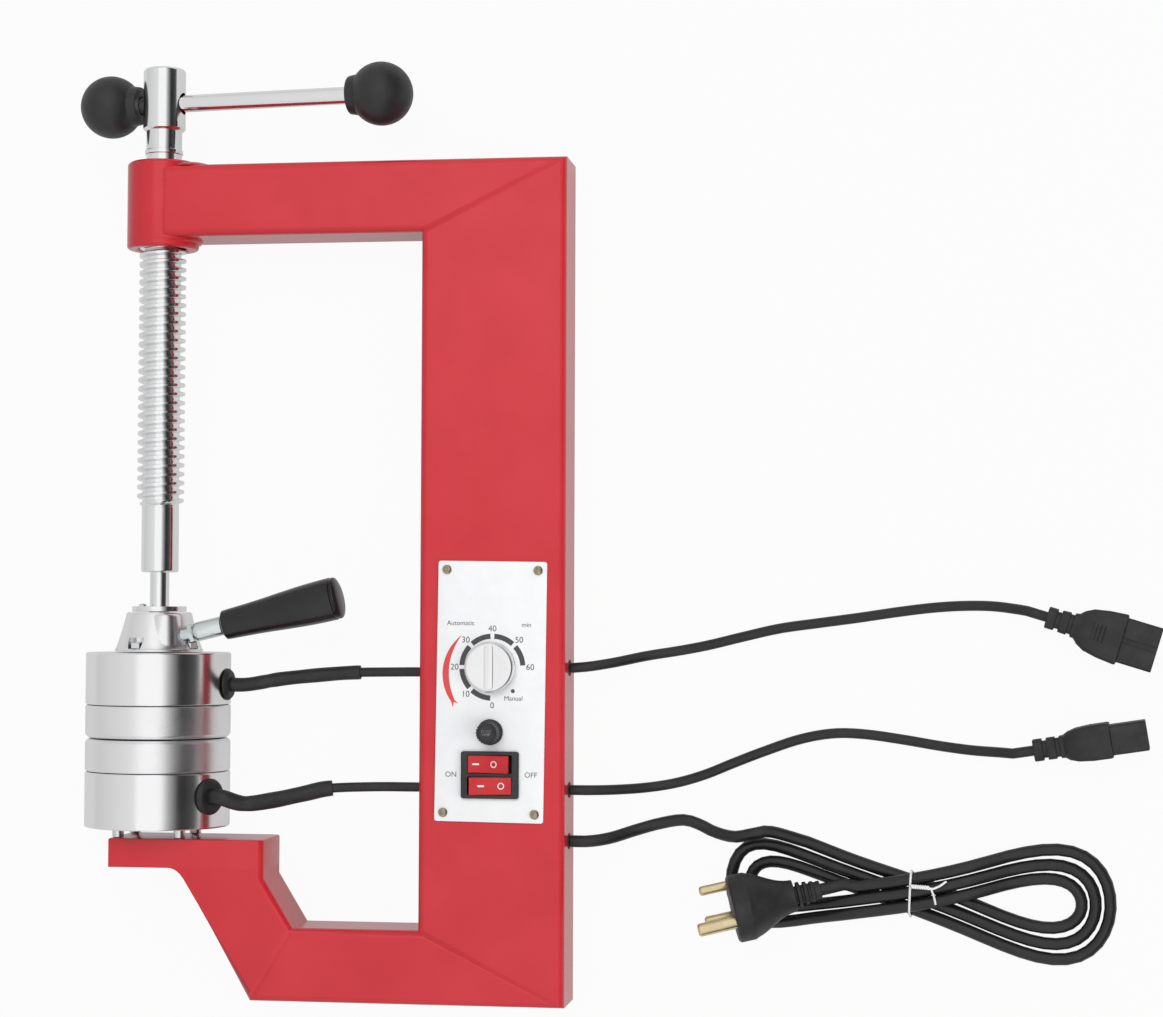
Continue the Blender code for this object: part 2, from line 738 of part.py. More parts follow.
def lead_screw(chrome, parent):
    core = turned(
        [
            (0, SHANK_BASE - STEM_LENGTH - CAP_HEIGHT - GAP - STEM_FLANGE_HEIGHT),
            (STEM_FLANGE_RADIUS, SHANK_BASE - STEM_LENGTH - CAP_HEIGHT - GAP - STEM_FLANGE_HEIGHT),
            (STEM_FLANGE_RADIUS, SHANK_BASE - STEM_LENGTH - CAP_HEIGHT - GAP),
            (STEM_RADIUS, SHANK_BASE - STEM_LENGTH - CAP_HEIGHT - GAP),
            (STEM_RADIUS, SHANK_BASE),
            (SHANK_RADIUS - SHANK_EDGE, SHANK_BASE),
            (SHANK_RADIUS, SHANK_BASE + SHANK_EDGE),
            (SHANK_RADIUS, THREAD_BASE + OVERLAP),
            (0, THREAD_BASE + OVERLAP),
        ]
    )
    screw = add_object("lead_screw", moved(upright(core), (0, -BAR_HEIGHT, 0)), chrome, parent)
    thread = align_thread(
        thread_skin(THREAD_ROOT, THREAD_RADIUS, THREAD_CREST, THREAD_BASE, THREAD_TOP), THREAD_BASE
    )
    join(screw, upright(thread), parent, (0, -BAR_HEIGHT, 0))
    collar_base = FRAME_HEIGHT + NUT_ABOVE + COLLAR_LIFT
    head = turned(
        [
            (0, THREAD_TOP - OVERLAP),
            (NECK_RADIUS, THREAD_TOP - OVERLAP),
            (NECK_RADIUS, collar_base),
            (COLLAR_RADIUS, collar_base),
            (COLLAR_RADIUS, collar_base + COLLAR_HEIGHT),
            (NECK_RADIUS, collar_base + COLLAR_HEIGHT),
            (NECK_RADIUS, HEAD_BASE),
            (HEAD_RADIUS - HEAD_EDGE, HEAD_BASE),
            (HEAD_RADIUS, HEAD_BASE + HEAD_EDGE),
            (HEAD_RADIUS, HEAD_BASE + HEAD_HEIGHT - HEAD_EDGE),
            (HEAD_RADIUS - HEAD_EDGE, HEAD_BASE + HEAD_HEIGHT),
            (0, HEAD_BASE + HEAD_HEIGHT),
        ],
        ROUND_STEPS,
    )
    join(screw, upright(head), parent, (0, -BAR_HEIGHT, 0))
    hole = flatwise(disc(BAR_RADIUS + BAR_ROOM, -HEAD_RADIUS - OVERRUN, HEAD_RADIUS + OVERRUN))
    cut(screw, hole, parent, turn=(0, -BAR_TURN, 0))


def bar_and_balls(chrome, black, parent):
    """The bar slides in the screw's head, its right end a little nearer to the viewer."""
    turn = (0, -BAR_TURN, 0)
    middle = bar_centre_rest()
    socket = BALL_SPAN / 2 - BALL_COLLAR_REACH
    bar = disc(BAR_RADIUS, -socket - BALL_SOCKET_DEPTH, socket + BALL_SOCKET_DEPTH)
    add_object("tommy_bar", moved(flatwise(bar), (middle, 0, 0)), chrome, parent, turn=turn)
    for name, side in (("ball_knob_left", -1), ("ball_knob_right", 1)):
        start = math.asin(BALL_COLLAR_RADIUS / BALL_RADIUS)
        rings = 9
        angles = [start + (math.pi - start) * index / rings for index in range(rings + 1)]
        profile = [(BALL_RADIUS * math.sin(angle), -BALL_RADIUS * math.cos(angle)) for angle in angles]
        profile[-1] = (0, BALL_RADIUS)
        bore = BAR_RADIUS + GAP
        face = -BALL_COLLAR_REACH
        floor = face + BALL_SOCKET_DEPTH + GAP
        inside = [(0, floor), (bore, floor), (bore, face), (BALL_COLLAR_RADIUS, face)]
        ball = turned(inside + profile)
        place = (middle + side * BALL_SPAN / 2, 0, 0)
        ball = moved(ball, place, Matrix.Rotation(side * math.pi / 2, 3, "Y"))
        add_object(name, ball, black, parent, turn=turn)


# Heated blocks, each a cup with a ring element and a thermostat under a solid platen
def platen(name, base, face_up, bolt_places, material, parent):
    """A solid disc whose working face has the larger chamfer."""
    lower, upper = (PLATEN_EDGE, PLATEN_LIP) if face_up else (PLATEN_LIP, PLATEN_EDGE)
    top = base + PLATEN_HEIGHT - GAP
    profile = [
        (0, base),
        (BLOCK_RADIUS - lower, base),
        (BLOCK_RADIUS, base + lower),
        (BLOCK_RADIUS, top - upper),
        (BLOCK_RADIUS - upper, top),
        (0, top),
    ]
    item = add_object(name, upright(turned(profile, DISC_STEPS)), material, parent, SCREW_AXIS)
    back = (base - OVERRUN, base + BOLT_THREAD_DEPTH) if face_up else (top - BOLT_THREAD_DEPTH, top + OVERRUN)
    for place in bolt_places:
        cut(item, upright(disc(BOLT_RADIUS + GAP, *back, SMALL_STEPS)), parent, place)
    return item


def heater_housing(name, base, open_up, bolt_places, lead_turn, lead_lift, material, parent):
    """A cup whose open end meets the platen, with a hole in its wall for the lead."""
    top = base + HOUSING_HEIGHT - GAP
    inner = BLOCK_RADIUS - HOUSING_WALL
    edge = PLATEN_EDGE
    cup = [
        (0, base),
        (BLOCK_RADIUS - edge, base),
        (BLOCK_RADIUS, base + edge),
        (BLOCK_RADIUS, top - edge),
        (BLOCK_RADIUS - edge, top),
        (inner, top),
        (inner, base + HOUSING_FLOOR),
        (0, base + HOUSING_FLOOR),
    ]
    if not open_up:
        cup = [(radius, base + top - height) for radius, height in cup]
    item = add_object(name, upright(turned(cup, DISC_STEPS)), material, parent, SCREW_AXIS)
    for place in bolt_places:
        hole = disc(BOLT_RADIUS + GAP, base - OVERRUN, top + OVERRUN, SMALL_STEPS)
        cut(item, upright(hole), parent, place)
    way = round_about(BLOCK_RADIUS, lead_turn)
    hole = disc(GROMMET_NECK_RADIUS + GAP, -HOUSING_WALL - OVERRUN, OVERRUN)
    cut(item, moved(hole, turn=facing(lead_turn)), parent, SCREW_AXIS + way + Vector((0, lead_lift, 0)))
    return item


def heating_parts(prefix, platen_back, into, ceramic, plate_steel, parent):
    """The ring element and the thermostat, both against the platen's back. into is the way into the cup."""
    for part, inner, outer, depth, material, steps in (
        ("heating_element", ELEMENT_INNER, ELEMENT_OUTER, ELEMENT_HEIGHT, ceramic, ROUND_STEPS),
        ("thermostat", 0, THERMOSTAT_RADIUS, THERMOSTAT_HEIGHT, plate_steel, ROUND_STEPS),
    ):
        near = platen_back + GAP * into
        far = near + depth * into
        low, high = min(near, far), max(near, far)
        bm = ring(inner, outer, low, high, steps) if inner else disc(outer, low, high, steps)
        add_object(f"{prefix}_{part}", upright(bm), material, parent, SCREW_AXIS)


def grommet(name, lead_turn, lead_height, flange_radius, bore, rubber, parent):
    """A rubber bush in the cup's wall, with its flange outside and a bore that the lead ends in."""
    profile = [
        (bore, -HOUSING_WALL),
        (GROMMET_NECK_RADIUS, -HOUSING_WALL),
        (GROMMET_NECK_RADIUS, GAP),
        (flange_radius, GAP),
        (flange_radius, GROMMET_FLANGE - GROMMET_EDGE),
        (flange_radius - GROMMET_EDGE, GROMMET_FLANGE),
        (bore, GROMMET_FLANGE),
    ]
    bm = moved(turned(profile, ROUND_STEPS, closed=True), turn=facing(lead_turn))
    place = SCREW_AXIS + round_about(BLOCK_RADIUS, lead_turn) + Vector((0, lead_height, 0))
    add_object(name, bm, rubber, parent, place)


def lower_block(materials, parent):
    places = stud_places()
    base = LOWER_HOUSING_BASE
    platen_base = base + HOUSING_HEIGHT
    lift = base + LOWER_GROMMET_LIFT
    alloy = materials["alloy"]
    heater_housing("lower_heater_housing", base, True, places, LOWER_LEAD_TURN, lift, alloy, parent)
    platen("lower_platen", platen_base, True, places, alloy, parent)
    heating_parts("lower", platen_base, -1, materials["ceramic"], materials["zinc"], parent)
    grommet(
        "lower_lead_grommet",
        LOWER_LEAD_TURN,
        lift,
        LOWER_GROMMET_RADIUS,
        LOWER_SLEEVE_RADIUS + GAP,
        materials["rubber"],
        parent,
    )
    foot = SHELF_TOP - SHELF_THICKNESS + STUD_FOOT + GAP
    tip = platen_base + BOLT_THREAD_DEPTH - GAP
    low, high = SHELF_TOP + GAP, base - GAP
    for number, place in enumerate(places, 1):
        stud = turned(
            [
                (0, foot),
                (BOLT_RADIUS, foot),
                (BOLT_RADIUS, low),
                (STUD_SHOULDER_RADIUS, low),
                (STUD_SHOULDER_RADIUS, high),
                (BOLT_RADIUS, high),
                (BOLT_RADIUS, tip),
                (0, tip),
            ],
            SMALL_STEPS,
        )
        add_object(f"shelf_stud_{number}", upright(stud), materials["zinc"], parent, place)


def head_bolt_places():
    return [
        SCREW_AXIS + round_about(HEAD_BOLT_CIRCLE, HEAD_BOLT_TURN + math.pi / 2 * number)
        for number in range(4)
    ]


def upper_block(materials, parent):
    places = head_bolt_places()
    base = UPPER_HOUSING_BASE
    lift = base + UPPER_GROMMET_LIFT
    alloy = materials["alloy"]
    heater_housing("upper_heater_housing", base, False, places, UPPER_LEAD_TURN, lift, alloy, parent)
    platen("upper_platen", UPPER_PLATEN_BASE, False, places, alloy, parent)
    heating_parts("upper", base - GAP, 1, materials["ceramic"], materials["zinc"], parent)
    grommet(
        "upper_lead_grommet",
        UPPER_LEAD_TURN,
        lift,
        UPPER_GROMMET_RADIUS,
        UPPER_SLEEVE_RADIUS + GAP,
        materials["rubber"],
        parent,
    )


# Swivel housing: a cone with a front lobe that takes the lever, and a cap over the screw's flange
def casting_point(circle, turn, height):
    return SCREW_AXIS + round_about(circle, turn) + Vector((0, height, 0))


def lever_root():
    """Where the lever's axis meets the lobe, before the lobe's own skin."""
    x = SCREW_AXIS.x + LOBE_CIRCLE * math.sin(LOBE_TURN)
    return Vector((x, CASTING_BASE + LEVER_ROOT_HEIGHT, LEVER_FORWARD))


def swivel_housing(materials, parent):
    top = CASTING_BASE + CASTING_HEIGHT
    pad_top = CASTING_BASE + HOUSING_PAD_HEIGHT
    cone = turned(
        [
            (0, CASTING_BASE),
            (HOUSING_PAD_RADIUS, CASTING_BASE),
            (HOUSING_PAD_RADIUS, CASTING_BASE + CONE_FLARE),
            (CONE_LOWER_RADIUS, pad_top),
            (CONE_UPPER_RADIUS, top - CAP_EDGE),
            (CONE_UPPER_RADIUS - CAP_EDGE, top),
            (0, top),
        ],
        DISC_STEPS,
    )
    casting = add_object("swivel_housing", upright(cone), materials["alloy"], parent, SCREW_AXIS)
    low = CASTING_BASE + LOBE_CLEAR
    lobe = turned(
        [(0, low), (LOBE_LOWER_RADIUS, low), (LOBE_UPPER_RADIUS, top - CAP_EDGE * 2), (0, top - CAP_EDGE * 2)]
    )
    join(casting, upright(lobe), parent, casting_point(LOBE_CIRCLE, LOBE_TURN, 0))
    # Pocket for the screw's flange, then the bolt wells, which open upwards past the cone
    pocket_floor = top - STEM_FLANGE_HEIGHT - GAP * 2
    cut(casting, upright(disc(STEM_FLANGE_RADIUS + GAP, pocket_floor, top + OVERRUN)), parent, SCREW_AXIS)
    for place in head_bolt_places():
        well = disc(HEAD_NUT_RADIUS + GAP * 2, pad_top + GAP / 2, top + OVERRUN, SMALL_STEPS)
        cut(casting, upright(well), parent, place)
        hole = disc(BOLT_RADIUS + GAP, CASTING_BASE - OVERRUN, pad_top + OVERLAP, SMALL_STEPS)
        cut(casting, upright(hole), parent, place)
    socket = disc(LEVER_STUD_RADIUS + GAP, LEVER_SEAT - LEVER_SOCKET_DEPTH, LEVER_SEAT + OVERRUN)
    flat = disc(LEVER_NUT_RADIUS + GAP * 2, LEVER_SEAT, LEVER_SEAT + LEVER_ROD_LENGTH)
    for cutter in (socket, flat):
        cut(casting, cutter, parent, lever_root(), (0, math.pi / 2, LEVER_RISE))


def swivel_cap(materials, parent):
    top = CAP_BASE + CAP_HEIGHT
    profile = [
        (STEM_RADIUS + GAP, CAP_BASE),
        (CAP_RADIUS, CAP_BASE),
        (CAP_RADIUS, top - CAP_EDGE),
        (CAP_RADIUS - CAP_EDGE, top),
        (STEM_RADIUS + GAP, top),
    ]
    add_object("swivel_cap", upright(turned(profile, closed=True)), materials["alloy"], parent, SCREW_AXIS)


def head_bolts(materials, parent):
    """Hexagon-headed bolts through the housing's pad and the cup, into the platen."""
    seat = CASTING_BASE + HOUSING_PAD_HEIGHT + GAP
    tip = UPPER_HOUSING_BASE - BOLT_THREAD_DEPTH
    for number, place in enumerate(head_bolt_places(), 1):
        bolt = turned(
            [
                (0, tip),
                (BOLT_RADIUS, tip),
                (BOLT_RADIUS, seat),
                (HEAD_NUT_RADIUS, seat),
                (HEAD_NUT_RADIUS, seat + HEAD_NUT_HEIGHT),
                (0, seat + HEAD_NUT_HEIGHT),
            ],
            6,
        )
        add_object(f"head_bolt_{number}", upright(bolt), materials["zinc"], parent, place)


def lever(materials, parent):
    turn = (0, math.pi / 2, LEVER_RISE)
    nut_base = LEVER_SEAT + GAP
    nut = hexagon(LEVER_NUT_RADIUS, nut_base, nut_base + LEVER_NUT_HEIGHT)
    nut_piece = add_object("lever_nut", nut, materials["zinc"], parent, lever_root(), turn)
    bore = disc(LEVER_STUD_RADIUS + GAP, nut_base - OVERRUN, nut_base + LEVER_NUT_HEIGHT + OVERRUN)
    cut(nut_piece, bore, parent, lever_root(), turn)
    rod_base = nut_base + LEVER_NUT_HEIGHT + GAP
    rod_top = rod_base + LEVER_ROD_LENGTH
    tang_radius = LEVER_STUD_RADIUS
    rod = turned(
        [
            (0, LEVER_SEAT - LEVER_SOCKET_DEPTH + GAP),
            (LEVER_STUD_RADIUS, LEVER_SEAT - LEVER_SOCKET_DEPTH + GAP),
            (LEVER_STUD_RADIUS, rod_base),
            (LEVER_ROD_RADIUS - HEAD_EDGE / 2, rod_base),
            (LEVER_ROD_RADIUS, rod_base + HEAD_EDGE),
            (LEVER_ROD_RADIUS, rod_top),
            (tang_radius, rod_top),
            (tang_radius, rod_top + LEVER_TANG_LENGTH),
            (0, rod_top + LEVER_TANG_LENGTH),
        ],
        ROUND_STEPS,
    )
    add_object("lever_rod", rod, materials["zinc"], parent, lever_root(), turn)
    base = rod_top + GAP
    outside = []
    for station, swell in zip(GRIP_STATION_SHARES, GRIP_SWELL_SHARES):
        outside.append((GRIP_NARROW + (GRIP_WIDE - GRIP_NARROW) * swell, base + GRIP_LENGTH * station))
    bore = tang_radius + GAP
    bore_end = rod_top + LEVER_TANG_LENGTH + GAP
    grip = turned([(0, bore_end), (bore, bore_end), (bore, base)] + outside + [(0, base + GRIP_LENGTH)])
    add_object("lever_grip", grip, materials["black"], parent, lever_root(), turn)


# Control plate and the parts behind it
def control_plate(materials, parent):
    bm = block(PLATE_WIDTH, PLATE_HEIGHT, PLATE_BACK, PLATE_FRONT, PLATE_CORNER, 2)
    plate = add_object("control_plate", bm, materials["plate"], parent, (-PLATE_CENTRE_X, PLATE_CENTRE_Y, 0))
    low, high = PLATE_BACK - OVERRUN, PLATE_FRONT + OVERRUN
    for height, radius in ((KNOB_Y, SHAFT_RADIUS + GAP), (FUSE_Y, FUSE_BODY_RADIUS + GAP)):
        cut(plate, disc(radius, low, high), parent, (-PLATE_CENTRE_X, height, 0))
    inset = SWITCH_BODY_INSET - GAP
    hole = block(SWITCH_WIDTH - inset * 2, SWITCH_HEIGHT - inset * 2, low, high)
    cut(plate, hole, parent, (-PLATE_CENTRE_X, SWITCH_Y, 0))


def timer(materials, parent):
    """The clockwork timer, its shaft and its knob. The knob's empty sits on the shaft's axis."""
    place = Vector((-PLATE_CENTRE_X, KNOB_Y, 0))
    front = PLATE_BACK - GAP
    body = block(TIMER_WIDTH, TIMER_HEIGHT, front - TIMER_DEPTH, front, TIMER_CORNER, 2)
    timer_body = add_object("timer_body", body, materials["zinc"], parent, place)
    cut(timer_body, disc(SHAFT_RADIUS + GAP, front - SHAFT_BED, front + OVERRUN), parent, place)
    pivot = add_empty("timer_pivot", place, parent=parent)
    knob_base = PLATE_FRONT + GAP
    knob_top = knob_base + KNOB_HEIGHT
    shaft_top = knob_top - KNOB_WALL - GAP
    add_object(
        "timer_shaft", disc(SHAFT_RADIUS, front - SHAFT_BED + GAP, shaft_top), materials["zinc"], pivot
    )
    bore = SHAFT_RADIUS + GAP
    knob = turned(
        [
            (0, knob_top - KNOB_WALL),
            (bore, knob_top - KNOB_WALL),
            (bore, knob_base),
            (KNOB_SKIRT_RADIUS, knob_base),
            (KNOB_SKIRT_RADIUS, knob_base + KNOB_SKIRT_HEIGHT - KNOB_EDGE / 2),
            (KNOB_RADIUS, knob_base + KNOB_SKIRT_HEIGHT),
            (KNOB_RADIUS, knob_top - KNOB_EDGE),
            (KNOB_RADIUS - KNOB_EDGE, knob_top),
            (0, knob_top),
        ],
        DISC_STEPS,
    )
    add_object("timer_knob", knob, materials["chrome"], pivot)


def fuse(materials, parent):
    """The fuse holder, and the cap that screws out of it with the fuse link."""
    place = Vector((-PLATE_CENTRE_X, FUSE_Y, 0))
    seat = PLATE_FRONT + GAP
    rim = seat + FUSE_FLANGE_HEIGHT
    plug_base = rim + GAP - FUSE_CAP_PLUG_LENGTH
    link_top = plug_base - GAP
    link_base = link_top - FUSE_LINK_LENGTH
    floor = link_base - GAP
    foot = floor - (FUSE_BODY_RADIUS - FUSE_BORE)
    holder = turned(
        [
            (0, foot),
            (FUSE_BODY_RADIUS, foot),
            (FUSE_BODY_RADIUS, seat),
            (FUSE_FLANGE_RADIUS, seat),
            (FUSE_FLANGE_RADIUS, rim),
            (FUSE_BORE, rim),
            (FUSE_BORE, floor),
            (0, floor),
        ]
    )
    add_object("fuse_holder", holder, materials["black"], parent, place)
    pivot = add_empty("fuse_pivot", place, parent=parent)
    cap_base = rim + GAP
    cap_top = cap_base + FUSE_CAP_HEIGHT
    cap = turned(
        [
            (0, plug_base),
            (FUSE_CAP_PLUG_RADIUS, plug_base),
            (FUSE_CAP_PLUG_RADIUS, cap_base),
            (FUSE_CAP_RADIUS, cap_base),
            (FUSE_CAP_TOP_RADIUS, cap_top - FUSE_SLOT_DEPTH / 2),
            (FUSE_CAP_TOP_RADIUS - FUSE_SLOT_DEPTH / 2, cap_top),
            (0, cap_top),
        ]
    )
    fuse_cap = add_object("fuse_cap", cap, materials["black"], pivot)
    slot = block(FUSE_CAP_RADIUS * 2, FUSE_SLOT_WIDTH, cap_top - FUSE_SLOT_DEPTH, cap_top + OVERRUN)
    cut(fuse_cap, slot, pivot)
    link = disc(FUSE_LINK_RADIUS, link_base, link_top, SMALL_STEPS)
    add_object("fuse_link", link, materials["zinc"], parent, place)


def rocker_outline():
    """A rocker seen from the end of its pivot, with a shallow valley along its middle."""
    half = ROCKER_WIDTH / 2
    lower = half * 0.62
    top = ROCKER_THICKNESS / 2 + ROCKER_PIVOT_DEPTH / 2
    return [
        (-lower, top - ROCKER_THICKNESS),
        (lower, top - ROCKER_THICKNESS),
        (half, top - ROCKER_THICKNESS / 3),
        (half, top),
        (0, top - ROCKER_VALLEY),
        (-half, top),
        (-half, top - ROCKER_THICKNESS / 3),
    ]


def switch(materials, parent):
    """A double rocker switch: one bezel with two windows, and a rocker in each."""
    place = Vector((-PLATE_CENTRE_X, SWITCH_Y, 0))
    seat = PLATE_FRONT + GAP
    rim = seat + SWITCH_RIM
    body_width = SWITCH_WIDTH - SWITCH_BODY_INSET * 2
    body_height = SWITCH_HEIGHT - SWITCH_BODY_INSET * 2
    bezel = block(SWITCH_WIDTH, SWITCH_HEIGHT, seat, rim, PLATE_CORNER, 2)
    body = block(body_width, body_height, seat - SWITCH_BODY_DEPTH, seat + SWITCH_RIM / 2)
    housing = add_object("switch_housing", bezel, materials["black"], parent, place)
    join(housing, body, parent, place)
    pivot_level = rim - ROCKER_PIVOT_DEPTH
    for name, side in (("rocker_upper", 1), ("rocker_lower", -1)):
        centre = place + Vector((0, side * ROCKER_PITCH / 2, 0))
        width = ROCKER_WIDTH + ROCKER_ROOM * 2
        window = block(width, ROCKER_HEIGHT + GAP * 2, rim - ROCKER_POCKET_DEPTH, rim + OVERRUN)
        cut(housing, window, parent, centre)
        reach = ROCKER_HEIGHT / 2 + PIVOT_LENGTH + GAP
        ears = disc(PIVOT_RADIUS + GAP, -reach, reach, SMALL_STEPS)
        cut(housing, upright(ears), parent, centre + Vector((0, 0, pivot_level)))
        pivot = add_empty(f"{name}_pivot", centre + Vector((0, 0, pivot_level)), parent=parent)
        half = ROCKER_HEIGHT / 2
        bm = upright(moved(prism(rocker_outline(), -half, half), turn=Matrix.Rotation(math.pi, 3, "X")))
        tilt = -ROCKER_TILT * side
        rocker = add_object(name, bm, materials["rocker"], pivot, turn=(0, tilt, 0))
        pin = disc(PIVOT_RADIUS, -half - PIVOT_LENGTH, half + PIVOT_LENGTH, SMALL_STEPS)
        join(rocker, upright(pin), pivot)


def terminal_block(materials, parent):
    """A screw terminal strip on the column's back wall."""
    back = TUBE_WALL - FRAME_DEPTH / 2 + GAP
    place = Vector((-PLATE_CENTRE_X, TERMINAL_Y, 0))
    strip = add_object(
        "terminal_block",
        block(TERMINAL_WIDTH, TERMINAL_HEIGHT, back, back + TERMINAL_DEPTH),
        materials["plate"],
        parent,
        place,
    )
    pitch = TERMINAL_WIDTH / TERMINAL_POLES
    for pole in range(TERMINAL_POLES):
        x = (pole + 0.5) * pitch - TERMINAL_WIDTH / 2
        top = back + TERMINAL_DEPTH
        well = disc(TERMINAL_WELL_RADIUS, top - TERMINAL_WELL_DEPTH, top + OVERRUN, SMALL_STEPS)
        cut(strip, well, parent, place + Vector((x, 0, 0)))
        if pole:
            groove = block(
                TERMINAL_WAIST, TERMINAL_HEIGHT + OVERRUN, top - TERMINAL_WELL_DEPTH, top + OVERRUN
            )
            cut(strip, groove, parent, place + Vector((pole * pitch - TERMINAL_WIDTH / 2, 0, 0)))


def bush(flange_radius, bore, flange_length, wall):
    """A rubber bush through a wall, with its flange on the side that Z points to."""
    return turned(
        [
            (bore, -wall),
            (BUSH_NECK_RADIUS, -wall),
            (BUSH_NECK_RADIUS, GAP),
            (flange_radius, GAP),
            (flange_radius, flange_length - BUSH_EDGE),
            (flange_radius - BUSH_EDGE, flange_length),
            (bore, flange_length),
        ],
        ROUND_STEPS,
        closed=True,
    )


def outlet_bushes(rubber, parent):
    for name, height, radius in (
        ("upper_outlet_bush", UPPER_OUTLET_HEIGHT, OUTLET_CORD_RADIUS),
        ("lower_outlet_bush", LOWER_OUTLET_HEIGHT, OUTLET_CORD_RADIUS),
        ("mains_bush", MAINS_HEIGHT, MAINS_CORD_RADIUS),
    ):
        bm = bush(OUTLET_BUSH_RADIUS, radius + GAP, OUTLET_BUSH_LENGTH, TUBE_WALL)
        add_object(name, flatwise(bm), rubber, parent, (0, height, 0))


# Cords: smooth curves through hand-chosen points, and the hank by a formula
def smooth_route(points, spacing):
    """Points at an even spacing along a smooth curve through the route's own points."""
    knots = [Vector(point) for point in points]
    padded = [knots[0] * 2 - knots[1]] + knots + [knots[-1] * 2 - knots[-2]]
    dense = []
    samples = 24
    for index in range(len(knots) - 1):
        before, start, end, after = padded[index : index + 4]
        for step in range(samples):
            t = step / samples
            dense.append(
                (
                    start * 2
                    + (end - before) * t
                    + (before * 2 - start * 5 + end * 4 - after) * t**2
                    + (start * 3 - before - end * 3 + after) * t**3
                )
                / 2
            )
    dense.append(knots[-1])
    return even_points(dense, spacing)


def even_points(dense, spacing):
    lengths = [0.0]
    for start, end in zip(dense, dense[1:]):
        lengths.append(lengths[-1] + (end - start).length)
    count = max(2, round(lengths[-1] / spacing))
    result = []
    segment = 0
    for index in range(count + 1):
        target = lengths[-1] * index / count
        while segment < len(dense) - 2 and lengths[segment + 1] < target:
            segment += 1
        share = (target - lengths[segment]) / (lengths[segment + 1] - lengths[segment])
        result.append(dense[segment].lerp(dense[segment + 1], min(1, share)))
    return result


def cord_tube(name, points, radius, resolution, material, parent, cyclic=False):
    curve = bpy.data.curves.new(name, "CURVE")
    curve.dimensions = "3D"
    curve.bevel_depth = radius
    curve.bevel_resolution = resolution
    curve.use_fill_caps = not cyclic
    spline = curve.splines.new("POLY")
    spline.points.add(len(points) - 1)
    for point, target in zip(spline.points, points):
        point.co = (*target, 1)
    spline.use_cyclic_u = cyclic
    curve.materials.append(material)
    item = bpy.data.objects.new(name, curve)
    item.parent = parent
    bpy.context.scene.collection.objects.link(item)
    length = sum((end - start).length for start, end in zip(points, points[1:]))
    print(f"{name}: {length:.4f} m of cord, {len(points)} points")
    return item


def lead_route(turn, grommet_height, clear, shares, end_height):
    """A heater lead's points, from the grommet on its block to the bush in the column."""
    start = SCREW_AXIS + round_about(BLOCK_RADIUS, turn) + Vector((0, grommet_height, 0))
    out = round_about(1, turn)
    end = Vector((-COLUMN_WIDTH, end_height, 0))
    middle = []
    for along, up, forward in shares:
        x = start.x + (end.x - start.x) * along
        y = start.y + (end.y - start.y) * up
        middle.append(Vector((x, y, BLOCK_RADIUS * forward)))
    first = [start + out * (GROMMET_FLANGE - HOUSING_WALL), start + out * clear]
    return first + middle + [end - Vector((LEAD_RADIUS * 3, 0, 0)), end + Vector((TUBE_WALL, 0, 0))]


def leads(materials, parent):
    """A sleeved length next to each block, and the bare lead from there to the column."""
    upper_height = UPPER_HOUSING_BASE + UPPER_GROMMET_LIFT
    lower_height = LOWER_HOUSING_BASE + LOWER_GROMMET_LIFT
    upper = lead_route(
        UPPER_LEAD_TURN, upper_height, GROMMET_FLANGE * 4, UPPER_LEAD_SHARES, UPPER_LEAD_HEIGHT
    )
    lower = lead_route(
        LOWER_LEAD_TURN, lower_height, GROMMET_FLANGE * 3, LOWER_LEAD_SHARES, LOWER_LEAD_HEIGHT
    )
    for name, route, sleeve_radius, share in (
        ("upper_lead", upper, UPPER_SLEEVE_RADIUS, UPPER_SLEEVE_END_SHARE),
        ("lower_lead", lower, LOWER_SLEEVE_RADIUS, LOWER_SLEEVE_END_SHARE),
    ):
        points = smooth_route(route, LEAD_POINT_SPACING)
        split = points[0].x + (points[-1].x - points[0].x) * share
        sleeve = [point for point in points if point.x <= split]
        bare = [point for point in points if point.x > split]
        way = (bare[0] - sleeve[-1]).normalized()
        bare.insert(0, sleeve[-1] + way * GAP)
        cord_tube(f"{name}_sleeve", sleeve, sleeve_radius, 2, materials["rubber"], parent)
        cord_tube(name, bare, LEAD_RADIUS, 2, materials["rubber"], parent)


# Routes in the floor frame, from the column's bush to the connector or the hank
UPPER_OUTLET_ROUTE = [
    (0.0010, 0.1819, 0.0199),
    (0.0110, 0.1828, 0.0187),
    (0.0240, 0.1850, 0.0140),
    (0.0400, 0.1885, 0.0071),
    (0.0580, 0.1915, 0.0030),
    (0.0740, 0.1946, 0.0029),
    (0.0920, 0.1990, 0.0029),
    (0.1130, 0.2038, 0.0029),
    (0.1340, 0.2068, 0.0029),
    (0.1560, 0.2098, 0.0029),
    (0.1760, 0.2128, 0.0029),
    (0.1950, 0.2152, 0.0029),
    (0.2120, 0.2163, 0.0032),
    (0.2280, 0.2161, 0.0048),
    (0.2420, 0.2143, 0.0074),
]
UPPER_CONNECTOR_PLACE = Vector((0.2560, 0.2105, 0.0094))
UPPER_CONNECTOR_TURN = math.radians(-17)
LOWER_OUTLET_ROUTE = [
    (0.0010, 0.1156, 0.0199),
    (0.0110, 0.1156, 0.0187),
    (0.0240, 0.1158, 0.0140),
    (0.0400, 0.1168, 0.0071),
    (0.0560, 0.1194, 0.0030),
    (0.0720, 0.1242, 0.0029),
    (0.0880, 0.1308, 0.0029),
    (0.1050, 0.1375, 0.0029),
    (0.1240, 0.1441, 0.0029),
    (0.1420, 0.1475, 0.0029),
    (0.1590, 0.1473, 0.0029),
    (0.1790, 0.1448, 0.0029),
    (0.1990, 0.1417, 0.0036),
    (0.2160, 0.1398, 0.0064),
    (0.2310, 0.1391, 0.0105),
]
